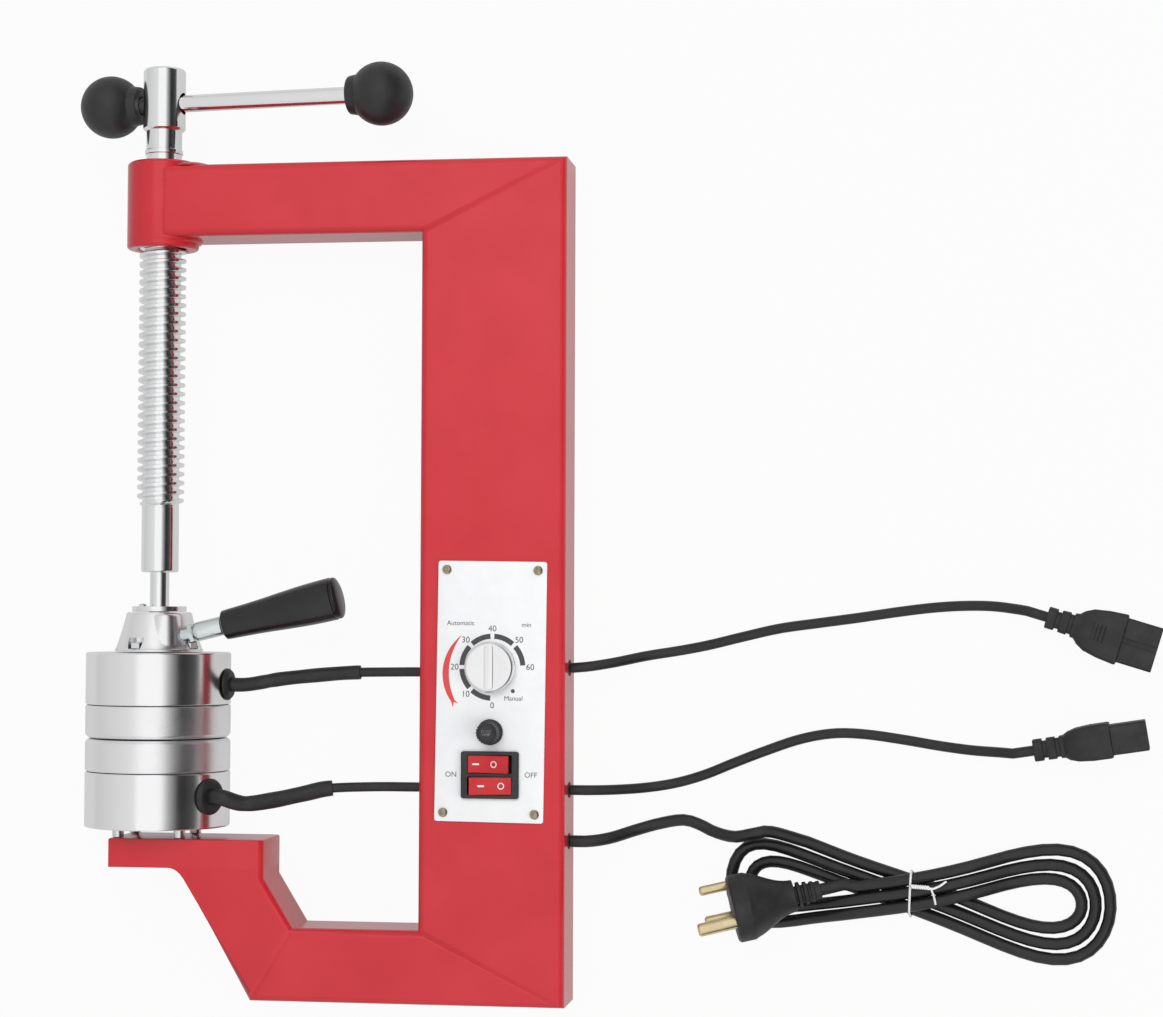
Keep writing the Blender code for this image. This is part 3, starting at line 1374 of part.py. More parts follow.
LOWER_CONNECTOR_PLACE = Vector((0.2490, 0.1405, 0.0138))
LOWER_CONNECTOR_TURN = math.radians(9)
MAINS_ROUTE = [
    (0.0010, 0.0879, 0.0199),
    (0.0110, 0.0880, 0.0188),
    (0.0220, 0.0897, 0.0145),
    (0.0340, 0.0935, 0.0078),
    (0.0470, 0.0972, 0.0036),
    (0.0600, 0.0994, 0.0034),
    (0.0690, 0.0972, 0.0035),
    (0.0775, 0.0935, 0.0052),
    (0.0890, 0.0914, 0.0090),
    (0.1000, 0.0934, 0.0106),
    (0.1090, 0.0945, 0.0082),
]
OUTLET_POINT_SPACING = 0.0145
MAINS_POINT_SPACING = 0.0150

# Hank: a figure of eight tied at its waist, laid out from the first right-hand fold
HANK_CENTRE = Vector((0.1842, 0.0634, 0))
HANK_TURN = math.radians(-2.8)
LOOP_POINTS = 24
HANK_START = -0.34
HANK_END = 2.30


def eased(value, table):
    """A value between the rows of a table of (turn, length), with a smooth start and stop."""
    for (start, low), (end, high) in zip(table, table[1:]):
        if value <= end:
            share = max(0, (value - start) / (end - start))
            return low + (high - low) * (1 - math.cos(math.pi * share)) / 2
    return table[-1][1]


# Each row is a turn and a length: the reach of the loops, their half width, and the strand's place at
# the waist. A loop's fullness is a share: at zero it is widest half way along, above it further out
HANK_REACH = [(-0.5, 0.0824), (0.0, 0.0889), (0.5, 0.0977), (1.0, 0.0961), (1.5, 0.0872), (2.0, 0.1037)]
HANK_REACH += [(2.5, 0.0830)]
HANK_SWELL = [(-0.5, 0.0240), (-0.25, 0.0159), (0.0, 0.0133), (0.5, 0.0190), (1.0, 0.0209), (1.5, 0.0104)]
HANK_SWELL += [(2.0, 0.0288), (2.5, 0.0052)]
HANK_FULLNESS = [(-0.5, 0.39), (0.0, 0.19), (0.5, 0.485), (1.0, 0.14), (1.5, 0.50), (2.0, 0.09), (2.5, 0.56)]
HANK_WAIST = [(-0.25, 0.0069), (0.25, -0.0061), (0.75, -0.0008), (1.25, 0.0011), (1.75, -0.0080)]
HANK_WAIST += [(2.25, 0.0081)]
# The strands that cross on top stay up near the waist, and the last one stays up to the plug
HANK_LIFT = 0.0071
HANK_LIFT_NEAR = 0.030
HANK_LIFT_FAR = 0.056
HANK_LAST_CLIMB = 2.2
TIE_LIFT = 0.0017
TIE_LIFT_REACH = 0.035


def hank_point(turn):
    """The cord's middle at a number of turns past the first right-hand fold."""
    angle = math.tau * turn
    along = math.cos(angle) * eased(turn, HANK_REACH)
    bend = math.sin(angle * 2) * (1 + eased(turn, HANK_FULLNESS) * math.cos(angle * 2))
    at_waist = (1 - math.cos(angle * 2)) / 2
    across = bend * eased(turn, HANK_SWELL) + at_waist * eased(turn, HANK_WAIST)
    lift = eased(abs(along), [(HANK_LIFT_NEAR, HANK_LIFT), (HANK_LIFT_FAR, 0)])
    if turn > HANK_LAST_CLIMB:
        lift = HANK_LIFT
    elif turn % 1 > 0.5:
        lift = 0
    lift += TIE_LIFT * max(0, 1 - (along / TIE_LIFT_REACH) ** 2) ** 2
    flat = Matrix.Rotation(HANK_TURN, 2) @ Vector((along, across))
    return HANK_CENTRE + Vector((flat.x, flat.y, MAINS_CORD_RADIUS + lift))


# Plug, propped on the hank's left folds, with its cord leaving down into the loops
PLUG_FACE = Vector((0.0911, 0.0544, 0.0272))
PLUG_DIP = math.radians(14)
PLUG_YAW = math.radians(13)
PLUG_ROLL = math.radians(-62)


def plug_way():
    level = math.cos(PLUG_DIP)
    return Vector((level * math.cos(PLUG_YAW), level * math.sin(PLUG_YAW), -math.sin(PLUG_DIP)))


def plug_end():
    return PLUG_FACE + plug_way() * (PLUG_BODY_LENGTH + PLUG_BOOT_LENGTH)


def hank_points():
    """The whole unbroken hank: a straight start, the loops, and the rise to the plug."""
    count = round((HANK_END - HANK_START) * LOOP_POINTS)
    loops = [hank_point(HANK_START + (HANK_END - HANK_START) * step / count) for step in range(count + 1)]
    first_way = (loops[0] - loops[1]).normalized()
    points = [loops[0] + first_way * MAINS_CORD_RADIUS * 2] + loops
    exit_point = plug_end() + plug_way() * GAP
    straight = [exit_point + plug_way() * MAINS_CORD_RADIUS * share for share in (4, 2)]
    tail = smooth_route([loops[-1]] + straight, MAINS_POINT_SPACING)
    return points + tail[1:] + [exit_point]


def route_to(route, end, way, radius, spacing):
    """The smooth route, ending in a straight run along the axis of what the cord meets."""
    straight = [end - way * (GAP + radius * share) for share in (4, 2, 0)]
    return smooth_route(route + straight[:1], spacing) + straight[1:]


def least_gap(points, radius):
    """The least distance between the skins of two stretches of one cord that aren't neighbours."""
    lengths = [0.0]
    for start, end in zip(points, points[1:]):
        lengths.append(lengths[-1] + (end - start).length)
    best = math.inf
    for first in range(len(points) - 1):
        for second in range(first + 1, len(points) - 1):
            if lengths[second] - lengths[first + 1] < radius * 8:
                continue
            best = min(best, segment_distance(points[first : first + 2], points[second : second + 2]))
    return best - radius * 2


def segment_distance(first, second):
    samples = 8
    one = [first[0].lerp(first[1], step / samples) for step in range(samples + 1)]
    two = [second[0].lerp(second[1], step / samples) for step in range(samples + 1)]
    return min((a - b).length for a in one for b in two)


def connector(name, place, way_turn, on_edge, rubber, parent):
    """An appliance connector: ribbed boot, shouldered body and a keyed nose with three contacts."""
    boot_end = CONNECTOR_LENGTH * 0.27
    nose_base = CONNECTOR_LENGTH - CONNECTOR_NOSE_LENGTH
    boot = CONNECTOR_BOOT_HALF_WIDTH
    small = CONNECTOR_CORNER
    half_width = CONNECTOR_BODY_HALF_WIDTH
    half_height = CONNECTOR_BODY_HALF_HEIGHT
    nose_width, nose_height = CONNECTOR_NOSE_HALF_WIDTH, CONNECTOR_NOSE_HALF_HEIGHT
    bm = lofted(
        [
            (0, boot, boot, small),
            (boot_end * 0.25, boot, boot, small),
            (boot_end * 0.3, boot * 0.8, boot * 0.8, small),
            (boot_end * 0.5, boot * 0.8, boot * 0.8, small),
            (boot_end * 0.55, boot, boot, small),
            (boot_end, boot * 1.15, boot, small),
            (boot_end * 1.35, half_width * 0.86, half_height * 0.9, small),
            (nose_base * 0.9, half_width, half_height, small),
            (nose_base - GAP, half_width, half_height, small),
            (nose_base, nose_width, nose_height, small),
            (CONNECTOR_LENGTH, nose_width, nose_height, small),
        ],
        ROUND_STEPS - 4,
    )
    roll = Matrix.Rotation(math.pi / 2 if on_edge else 0, 3, "Z")
    aim = Matrix.Rotation(way_turn, 3, "Z") @ Matrix.Rotation(math.pi / 2, 3, "Y")
    # A shape made along Z is turned to X, then its width lies flat or stands on edge
    level = Matrix.Rotation(math.pi / 2, 3, "Z")
    pose = (aim @ level @ roll).to_euler()
    item = add_object(name, bm, rubber, parent, place, pose)
    track_end = CONNECTOR_LENGTH + OVERRUN
    track = block(CONNECTOR_TRACK_HALF_WIDTH * 2, CONNECTOR_TRACK_DEPTH * 2, nose_base, track_end)
    track_place = aim @ level @ roll @ Vector((0, CONNECTOR_NOSE_HALF_HEIGHT, 0))
    cut(item, track, parent, place + track_place, pose)
    for x in (-CONTACT_SPREAD, 0, CONTACT_SPREAD):
        y = CONTACT_DROP / 2 if x == 0 else -CONTACT_DROP / 2
        slot = block(
            CONTACT_WIDTH, CONTACT_HEIGHT, CONNECTOR_LENGTH - CONTACT_DEPTH, CONNECTOR_LENGTH + OVERRUN
        )
        slot_place = aim @ level @ roll @ Vector((x, y, 0))
        cut(item, slot, parent, place + slot_place, pose)


def pin_places():
    return [
        (Vector((0, -EARTH_PIN_OFFSET, 0)), EARTH_PIN_RADIUS, EARTH_PIN_LENGTH),
        (Vector((-PIN_SPREAD, LINE_PIN_OFFSET, 0)), LINE_PIN_RADIUS, LINE_PIN_LENGTH),
        (Vector((PIN_SPREAD, LINE_PIN_OFFSET, 0)), LINE_PIN_RADIUS, LINE_PIN_LENGTH),
    ]


def mains_plug(materials, parent):
    """A round plug of three round pins, with a ribbed boot."""
    waist = PLUG_WAIST_RADIUS
    boot = PLUG_BOOT_RADIUS
    end = PLUG_BODY_LENGTH + PLUG_BOOT_LENGTH
    profile = [
        (0, 0),
        (PLUG_RADIUS - PLUG_FACE_EDGE, 0),
        (PLUG_RADIUS, PLUG_FACE_EDGE),
        (PLUG_RADIUS, PLUG_RIM_LENGTH),
        (PLUG_RADIUS * 0.9, PLUG_RIM_LENGTH * 1.4),
        ((PLUG_RADIUS + waist) / 2, PLUG_BODY_LENGTH * 0.68),
        (waist, PLUG_BODY_LENGTH),
    ]
    ribs = 3
    rib_pitch = PLUG_BOOT_LENGTH / ribs
    for rib in range(ribs):
        start = PLUG_BODY_LENGTH + rib * rib_pitch
        swell = boot * (1.45 - 0.15 * rib)
        profile += [(boot, start + rib_pitch * 0.1), (boot, start + rib_pitch * 0.45)]
        profile += [(swell, start + rib_pitch * 0.5), (swell, start + rib_pitch * 0.95)]
    profile[-1] = (profile[-1][0], end)
    profile.append((0, end))
    aim = Matrix.Rotation(PLUG_YAW, 3, "Z") @ Matrix.Rotation(PLUG_DIP + math.pi / 2, 3, "Y")
    roll = Matrix.Rotation(PLUG_ROLL, 3, "Z")
    pose = (aim @ roll).to_euler()
    plug = add_object("mains_plug", turned(profile), materials["rubber"], parent, PLUG_FACE, pose)
    carrier = disc(CARRIER_RADIUS, CARRIER_BED, CARRIER_BED + CARRIER_THICKNESS)
    pins = add_object("plug_pins", carrier, materials["brass"], parent, PLUG_FACE, pose)
    cavity = disc(CARRIER_RADIUS + GAP, CARRIER_BED - GAP, CARRIER_BED + CARRIER_THICKNESS + GAP)
    cut(plug, cavity, parent, PLUG_FACE, pose)
    for place, radius, length in pin_places():
        hole = moved(disc(radius + GAP, -OVERRUN, CARRIER_BED, SMALL_STEPS), place)
        cut(plug, hole, parent, PLUG_FACE, pose)
        pin = disc(radius, -length, CARRIER_BED + OVERLAP, SMALL_STEPS, PIN_EDGE)
        join(pins, moved(pin, place), parent, PLUG_FACE, pose)


def twist_tie(materials, parent):
    """A wire loop round the waist of the hank, pulled to the bundle's own outline."""
    radius = MAINS_CORD_RADIUS
    room = radius + TIE_RADIUS + TIE_ROOM
    low = TIE_RADIUS
    bottom = radius + TIE_LIFT
    top = bottom + HANK_LIFT
    places = [place for _, place in HANK_WAIST]
    bottom_near, bottom_far = min(places[::2]), max(places[::2])
    top_near, top_far = min(places[1::2]), max(places[1::2])
    outline = [
        (bottom_near, low),
        (bottom_far, low),
        (bottom_far + room * 0.72, bottom - room * 0.69),
        (bottom_far + room, bottom),
        (top_far + room, top),
        (top_far + room * 0.72, top + room * 0.69),
        (top_far, top + room),
        (top_near, top + room),
        (top_near - room * 0.72, top + room * 0.69),
        (top_near - room, top),
        (bottom_near - room, bottom),
        (bottom_near - room * 0.72, bottom - room * 0.69),
    ]
    flat = Matrix.Rotation(HANK_TURN, 3, "Z")
    points = [HANK_CENTRE + flat @ Vector((0, across, height)) for across, height in outline]
    cord_tube("twist_tie", points, TIE_RADIUS, 1, materials["tie"], parent, cyclic=True)


def cords(materials, floor):
    rubber = materials["rubber"]
    for name, route, place, turn, on_edge in (
        ("upper", UPPER_OUTLET_ROUTE, UPPER_CONNECTOR_PLACE, UPPER_CONNECTOR_TURN, False),
        ("lower", LOWER_OUTLET_ROUTE, LOWER_CONNECTOR_PLACE, LOWER_CONNECTOR_TURN, True),
    ):
        way = Vector((math.cos(turn), math.sin(turn), 0))
        points = route_to(route, place, way, OUTLET_CORD_RADIUS, OUTLET_POINT_SPACING)
        cord_tube(f"{name}_outlet_cord", points, OUTLET_CORD_RADIUS, 2, rubber, floor)
        connector(f"{name}_connector", place, turn, on_edge, rubber, floor)
    hank = hank_points()
    way = (hank[1] - hank[0]).normalized()
    mains = route_to(MAINS_ROUTE, hank[0], way, MAINS_CORD_RADIUS, MAINS_POINT_SPACING)
    cord_tube("mains_cord", mains, MAINS_CORD_RADIUS, 4, rubber, floor)
    cord_tube("mains_cord_hank", hank, MAINS_CORD_RADIUS, 1, rubber, floor)
    print(f"least gap in the hank: {least_gap(hank, MAINS_CORD_RADIUS) * 1000:.2f} mm")
    mains_plug(materials, floor)
    twist_tie(materials, floor)


def build():
    clear_scene()
    materials = {
        "red": paint("red paint", (0.61, 0.031, 0.045), 0.28),
        "alloy": paint("machined aluminium", (0.78, 0.78, 0.79), 0.32, 1.0),
        "chrome": paint("chrome", (0.86, 0.87, 0.88), 0.12, 1.0),
        "zinc": paint("zinc plate", (0.62, 0.66, 0.68), 0.35, 1.0),
        "brass": paint("brass", (0.78, 0.62, 0.36), 0.3, 1.0),
        "black": paint("black plastic", (0.022, 0.022, 0.024), 0.4),
        "rubber": paint("black rubber", (0.025, 0.025, 0.027), 0.55),
        "plate": paint("white plate", (0.88, 0.89, 0.90), 0.4),
        "rocker": paint("red rocker", (0.56, 0.02, 0.025), 0.3),
        "ceramic": paint("mica", (0.55, 0.48, 0.38), 0.8),
        "tie": paint("tie", (0.85, 0.85, 0.86), 0.5),
    }
    tilt = resting_tilt()
    middle_x, middle_y = middle_on_floor(tilt)
    floor = add_empty("floor", (-middle_x, -middle_y, 0))
    machine = add_empty("machine", (0, 0, resting_height(tilt)), (0, tilt, 0), floor)
    frame_pieces(materials["red"], machine)
    screw_nut(materials["red"], machine)
    head = add_empty("screw_and_bar", (-SCREW_REACH, BAR_HEIGHT, 0), parent=machine)
    lead_screw(materials["chrome"], head)
    bar_and_balls(materials["chrome"], materials["black"], head)
    lower_block(materials, machine)
    upper_block(materials, machine)
    swivel_housing(materials, machine)
    swivel_cap(materials, machine)
    head_bolts(materials, machine)
    lever(materials, machine)
    control_plate(materials, machine)
    timer(materials, machine)
    fuse(materials, machine)
    switch(materials, machine)
    terminal_block(materials, machine)
    outlet_bushes(materials["rubber"], machine)
    leads(materials, machine)
    cords(materials, floor)


build()
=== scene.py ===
# %% [markdown]
# A bench vulcanizer presses a patch on a tyre between hot blocks. This lesson dresses its packed
# CAD model: it keeps the hidden inner parts as they are, and builds a finer piece wherever the
# camera can see an edge, a weld, a thread or a cord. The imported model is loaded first, because
# every later size is set against it.

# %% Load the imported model
import json
import math

import bmesh
import bpy
from mathutils import Matrix, Vector


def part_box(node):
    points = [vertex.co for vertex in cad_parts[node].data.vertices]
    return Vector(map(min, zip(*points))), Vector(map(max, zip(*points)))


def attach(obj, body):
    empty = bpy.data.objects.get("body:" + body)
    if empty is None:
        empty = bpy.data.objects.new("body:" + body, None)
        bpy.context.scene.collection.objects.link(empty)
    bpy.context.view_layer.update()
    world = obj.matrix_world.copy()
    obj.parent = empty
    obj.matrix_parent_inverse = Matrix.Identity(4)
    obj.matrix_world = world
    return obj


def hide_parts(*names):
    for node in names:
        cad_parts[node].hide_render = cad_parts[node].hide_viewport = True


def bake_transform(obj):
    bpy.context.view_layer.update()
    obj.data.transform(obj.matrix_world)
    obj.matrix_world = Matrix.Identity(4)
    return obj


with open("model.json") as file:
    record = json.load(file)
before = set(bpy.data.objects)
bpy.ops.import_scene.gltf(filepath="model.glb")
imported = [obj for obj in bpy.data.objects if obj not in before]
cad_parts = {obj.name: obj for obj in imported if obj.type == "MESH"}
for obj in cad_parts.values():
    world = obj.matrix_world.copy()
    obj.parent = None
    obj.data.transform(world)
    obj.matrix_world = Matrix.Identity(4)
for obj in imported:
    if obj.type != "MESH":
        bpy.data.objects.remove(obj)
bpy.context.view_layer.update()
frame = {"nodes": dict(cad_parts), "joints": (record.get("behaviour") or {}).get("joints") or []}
joints = {joint["name"]: joint for joint in frame["joints"]}

# %% [markdown]
# The machine lies on its back, turned a few degrees about its long axis, because the heated blocks
# stand deeper than the frame. Drawing it tilted would be awkward. So the pieces are drawn in the
# machine's own axes: X to the right, Y up the column, Z out of the control plate, with the origin
# on the column's right side at the underside of the base. One matrix then carries each finished
# mesh to the floor. Its axes are read from the joints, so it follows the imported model.

# %% The machine's own axes
SCREW_REACH = 0.232
machine_up = Vector(joints["screw_turn"]["axis"])
machine_out = Vector(joints["timer_turn"]["axis"])
machine_right = machine_up.cross(machine_out)
screw_line = Vector(joints["screw_turn"]["pos_m"])
base_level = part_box("base_tube")[0].y
machine_origin = Vector((screw_line.x, base_level, screw_line.z)) + machine_right * SCREW_REACH
machine = Matrix((machine_right, machine_up, machine_out)).transposed().to_4x4()
machine.translation = machine_origin
floor_origin = Vector((machine_origin.x, base_level, 0))
machine_tilt = math.degrees(math.atan2(machine_out.x, machine_out.z))
print(f"machine tilt {machine_tilt:.2f} degrees, origin {tuple(round(c, 4) for c in machine_origin)}")

# %% [markdown]
# The camera stands where the photograph was taken: almost straight above, a little over a metre
# away, with a long lens. Its three small turns are given against the machine's axes. A camera could
# also be aimed at a target, but fixed turns keep the picture's horizon exactly as it was.

# %% Camera
PHOTO_WIDTH = 1163
FOCAL_PIXELS = 2508.8
CAMERA_PLACE = Vector((0.31777, 0.21123, 1.35354))
CAMERA_PITCH = -0.04210
CAMERA_YAW = -0.14167
CAMERA_ROLL = -0.00327

camera_data = bpy.data.cameras.new("camera")
camera_data.sensor_width = 36
camera_data.lens = FOCAL_PIXELS / PHOTO_WIDTH * camera_data.sensor_width
camera = bpy.data.objects.new("camera", camera_data)
pitch = Matrix.Rotation(CAMERA_PITCH, 3, "X")
yaw = Matrix.Rotation(CAMERA_YAW, 3, "Y")
roll = Matrix.Rotation(CAMERA_ROLL, 3, "Z")
camera_turn = machine.to_3x3() @ (roll @ pitch @ yaw).transposed()
camera.matrix_world = Matrix.Translation(floor_origin + CAMERA_PLACE) @ camera_turn.to_4x4()
bpy.context.scene.collection.objects.link(camera)
bpy.context.scene.camera = camera
print(f"lens {camera_data.lens:.1f} mm")

# %% [markdown]
# Every finish is a node material, so that it keeps its grain at any distance. The grain reads
# Object coordinates. Each object sits at the origin, so those are simply places in metres, and
# one scale works for every piece. A small helper adds a node and sets its sockets.

# %% Material helpers
def add_node(material, kind, **sockets):
    node = material.node_tree.nodes.new(kind)
    for name, value in sockets.items():
        node.inputs[name.replace("_", " ")].default_value = value
    return node


def connect(material, source, output, target, socket):
    material.node_tree.links.new(source.outputs[output], target.inputs[socket])


def new_finish(name, colour, roughness, metallic=0.0, coat=0.0):
    """A material with its plain colour set. The caller adds the grain."""
    material = bpy.data.materials.new(name)
    material.use_nodes = True
    shader = material.node_tree.nodes["Principled BSDF"]
    shader.inputs["Base Color"].default_value = (*colour, 1)
    shader.inputs["Roughness"].default_value = roughness
    shader.inputs["Metallic"].default_value = metallic
    shader.inputs["Coat Weight"].default_value = coat
    return material, shader


def grain(material, scale, stretch=(1, 1, 1), detail=2.0):
    """A noise in Object coordinates. stretch packs it tighter along an axis."""
    place = add_node(material, "ShaderNodeTexCoord")
    mapping = add_node(material, "ShaderNodeMapping", Scale=stretch)
    noise = add_node(material, "ShaderNodeTexNoise", Scale=scale, Detail=detail)
    connect(material, place, "Object", mapping, "Vector")
    connect(material, mapping, "Vector", noise, "Vector")
    return noise


def add_bump(material, shader, noise, distance, strength=1.0):
    bump = add_node(material, "ShaderNodeBump", Strength=strength, Distance=distance)
    connect(material, noise, "Fac", bump, "Height")
    connect(material, bump, "Normal", shader, "Normal")


def vary(material, shader, noise, socket, low, high):
    """Spreads a socket's value between low and high by the noise."""
    spread = add_node(material, "ShaderNodeMapRange")
    spread.inputs["From Min"].default_value = 0.3
    spread.inputs["From Max"].default_value = 0.7
    spread.inputs["To Min"].default_value = low
    spread.inputs["To Max"].default_value = high
    connect(material, noise, "Fac", spread, "Value")
    connect(material, spread, "Result", shader, socket)


def vary_colour(material, shader, noise, dark, light):
    ramp = add_node(material, "ShaderNodeValToRGB")
    ramp.color_ramp.elements[0].position = 0.3
    ramp.color_ramp.elements[0].color = (*dark, 1)
    ramp.color_ramp.elements[1].position = 0.7
    ramp.color_ramp.elements[1].color = (*light, 1)
    connect(material, noise, "Fac", ramp, "Fac")
    connect(material, ramp, "Color", shader, "Base Color")


# %% [markdown]
# The frame is sprayed with gloss enamel. Up close, enamel has a faint orange peel a millimetre or
# two across, and its shade drifts slightly where the coat is thicker. Both come from noise.

# %% Red paint
def red_paint():
    material, shader = new_finish("red paint", (0.575, 0.019, 0.030), 0.24, coat=0.4)
    shader.inputs["Specular IOR Level"].default_value = 0.3
    vary_colour(material, shader, grain(material, 28), (0.555, 0.016, 0.026), (0.595, 0.022, 0.034))
    add_bump(material, shader, grain(material, 520), 0.00004)
    return material


# %% [markdown]
# The blocks are turned on a lathe. The tool leaves rings round the axis, so the grain is squeezed
# along Y and drawn out across it. The cups are polished almost to a mirror. The working discs are
# left with a duller face, so the same recipe is used with more roughness.

# %% Machined metals
def turned_alloy(name, roughness, ring_depth):
    material, shader = new_finish(name, (0.92, 0.92, 0.93), roughness, metallic=1.0)
    rings = grain(material, 60, stretch=(0.35, 90, 0.35), detail=4.0)
    add_bump(material, shader, rings, ring_depth)
    vary(material, shader, grain(material, 45, detail=4.0), "Roughness", roughness * 0.8, roughness * 1.25)
    return material


def chrome():
    material, shader = new_finish("chrome", (0.90, 0.905, 0.91), 0.09, metallic=1.0)
    vary(material, shader, grain(material, 90, detail=5.0), "Roughness", 0.06, 0.15)
    add_bump(material, shader, grain(material, 260), 0.00001)
    return material


def zinc():
    material, shader = new_finish("zinc", (0.72, 0.76, 0.76), 0.2, metallic=1.0)
    vary_colour(material, shader, grain(material, 120), (0.69, 0.74, 0.74), (0.75, 0.79, 0.79))
    vary(material, shader, grain(material, 160), "Roughness", 0.16, 0.26)
    return material


def brass():
    material, shader = new_finish("brass", (0.74, 0.62, 0.38), 0.22, metallic=1.0)
    vary_colour(material, shader, grain(material, 160), (0.70, 0.58, 0.34), (0.78, 0.66, 0.42))
    vary(material, shader, grain(material, 200), "Roughness", 0.18, 0.28)
    return material


def aged_brass():
    material, shader = new_finish("aged brass", (0.42, 0.37, 0.25), 0.3, metallic=1.0)
    vary_colour(material, shader, grain(material, 420), (0.30, 0.26, 0.18), (0.50, 0.45, 0.31))
    vary(material, shader, grain(material, 300), "Roughness", 0.24, 0.4)
    return material


# %% [markdown]
# The black parts differ mostly in their gloss. The grip is moulded and shiny, the ball knobs and
# the cord's skin are satin, and the sleeves, bushes and connectors are dull rubber with a fine
# pebbled skin. Black needs its own small variation, or it reads as a hole in the picture.

# %% Plastics and rubber
def moulded(name, dark, light, roughness, pebble, depth):
    material, shader = new_finish(name, light, roughness)
    vary_colour(material, shader, grain(material, 110, detail=3.0), dark, light)
    vary(material, shader, grain(material, 240, detail=3.0), "Roughness", roughness * 0.85, roughness * 1.2)
    add_bump(material, shader, grain(material, pebble), depth)
    return material


def plain_print(name, colour):
    material, shader = new_finish(name, colour, 0.5)
    light = tuple(min(1, channel * 1.25) for channel in colour)
    vary_colour(material, shader, grain(material, 900), colour, light)
    return material


# Each row: name, dark colour, light colour, roughness, scale of the pebbles, their depth
MOULDED = {
    "gloss": ("glossy black plastic", (0.007, 0.007, 0.008), (0.011, 0.011, 0.012), 0.24, 900, 0.000004),
    "ball": ("ball knob plastic", (0.014, 0.014, 0.015), (0.021, 0.021, 0.022), 0.42, 900, 0.000004),
    "plastic": ("black plastic", (0.016, 0.016, 0.018), (0.026, 0.026, 0.028), 0.38, 1500, 0.00001),
    "rubber": ("black rubber", (0.012, 0.012, 0.013), (0.021, 0.021, 0.023), 0.50, 1300, 0.00002),
    "cord": ("cord skin", (0.008, 0.008, 0.009), (0.013, 0.013, 0.014), 0.34, 600, 0.000008),
    "plate": ("white plate", (0.84, 0.85, 0.86), (0.88, 0.885, 0.89), 0.34, 1100, 0.000006),
    "rocker": ("red rocker", (0.50, 0.012, 0.018), (0.58, 0.020, 0.026), 0.24, 700, 0.000004),
    "mica": ("mica", (0.42, 0.36, 0.27), (0.58, 0.52, 0.42), 0.8, 500, 0.00005),
    "tie": ("white tie", (0.80, 0.80, 0.81), (0.88, 0.88, 0.89), 0.45, 900, 0.00001),
}
finishes = {
    "paint": red_paint(),
    "polished": turned_alloy("polished alloy", 0.16, 0.000012),
    "satin": turned_alloy("satin alloy", 0.30, 0.00003),
    "chrome": chrome(),
    "zinc": zinc(),
    "brass": brass(),
    **{key: moulded(*recipe) for key, recipe in MOULDED.items()},
    "screw brass": aged_brass(),
    "print": plain_print("dark print", (0.055, 0.056, 0.060)),
    # Painted highlight: the fuse cap's moulded word and arrow are black plastic, drawn lighter grey where
    # their raised faces catch the light
    "mark": plain_print("moulded mark with painted highlight", (0.13, 0.13, 0.135)),
    "arrow": plain_print("red print", (0.62, 0.060, 0.060)),
}
print(len(finishes), "finishes:", ", ".join(sorted(finishes)))

# %% [markdown]
# The cords come before anything else, because they decide how much room the model needs. Each
# route is a short list of places, on the floor or on its way down to it. A spline
# through them gives the smooth line, and even spacing keeps the tube's rings regular. The route is
# kept in the floor's axes, so it is moved to the imported model's origin here.

# %% Smooth routes
def smooth_route(points, spacing):
    """Evenly spaced points on a smooth curve through the route's own points."""
    knots = [Vector(point) for point in points]
    padded = [knots[0] * 2 - knots[1]] + knots + [knots[-1] * 2 - knots[-2]]
    samples = 24
    dense = []
    for index in range(len(knots) - 1):
        before, start, end, after = padded[index : index + 4]
        for step in range(samples):
            t = step / samples
            bend = (before * 2 - start * 5 + end * 4 - after) * t**2
            turn = (start * 3 - before - end * 3 + after) * t**3
            dense.append((start * 2 + (end - before) * t + bend + turn) / 2)
    dense.append(knots[-1])
    return even_points(dense, spacing)


def route_length(points):
    return sum((end - start).length for start, end in zip(points, points[1:]))


def even_points(dense, spacing):
    whole = route_length(dense)
    count = max(2, round(whole / spacing))
    result = [dense[0]]
    walked = 0.0
    for start, end in zip(dense, dense[1:]):
        piece = (end - start).length
        while len(result) < count and walked + piece >= whole * len(result) / count:
            share = (whole * len(result) / count - walked) / piece
            result.append(start.lerp(end, share))
        walked += piece
    return result + [dense[-1]]


def route_to(route, end, way, radius, spacing):
    """The smooth route, ending in a straight run along the axis of what the cord meets."""
    straight = [end - way * radius * share for share in (4, 2, 0)]
    return smooth_route(route + straight[:1], spacing) + straight[1:]


def on_floor(points, radius):
    """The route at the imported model's place, nowhere sunk in the floor."""
    return [floor_origin + Vector((x, y, max(z, radius))) for x, y, z in points]


# %% [markdown]
# A cord is one curve with a round bevel, which stays editable and measures its own length.

# %% Cord curves
def cord_curve(name, points, radius, finish, cyclic=False):
    curve = bpy.data.curves.new(name, "CURVE")
    curve.dimensions = "3D"
    curve.bevel_depth = radius
    curve.bevel_resolution = 5
    curve.use_fill_caps = not cyclic
    spline = curve.splines.new("POLY")
    spline.points.add(len(points) - 1)
    for point, target in zip(spline.points, points):
        point.co = (*target, 1)
    spline.use_cyclic_u = cyclic
    spline.use_smooth = True
    curve.materials.append(finishes[finish])
    piece = bpy.data.objects.new(name, curve)
    bpy.context.scene.collection.objects.link(piece)
    print(f"{name}: {route_length(points) * 1000:.0f} mm long, {radius * 2000:.1f} mm thick")
    return piece


# %% [markdown]
# Two outlet cords leave the column and lie in easy bends, each ending in an appliance connector.
# They come straight out of their bushes for a few diameters, drop to the floor, and rise a little
# at the end, where the connector's thicker body holds them up.

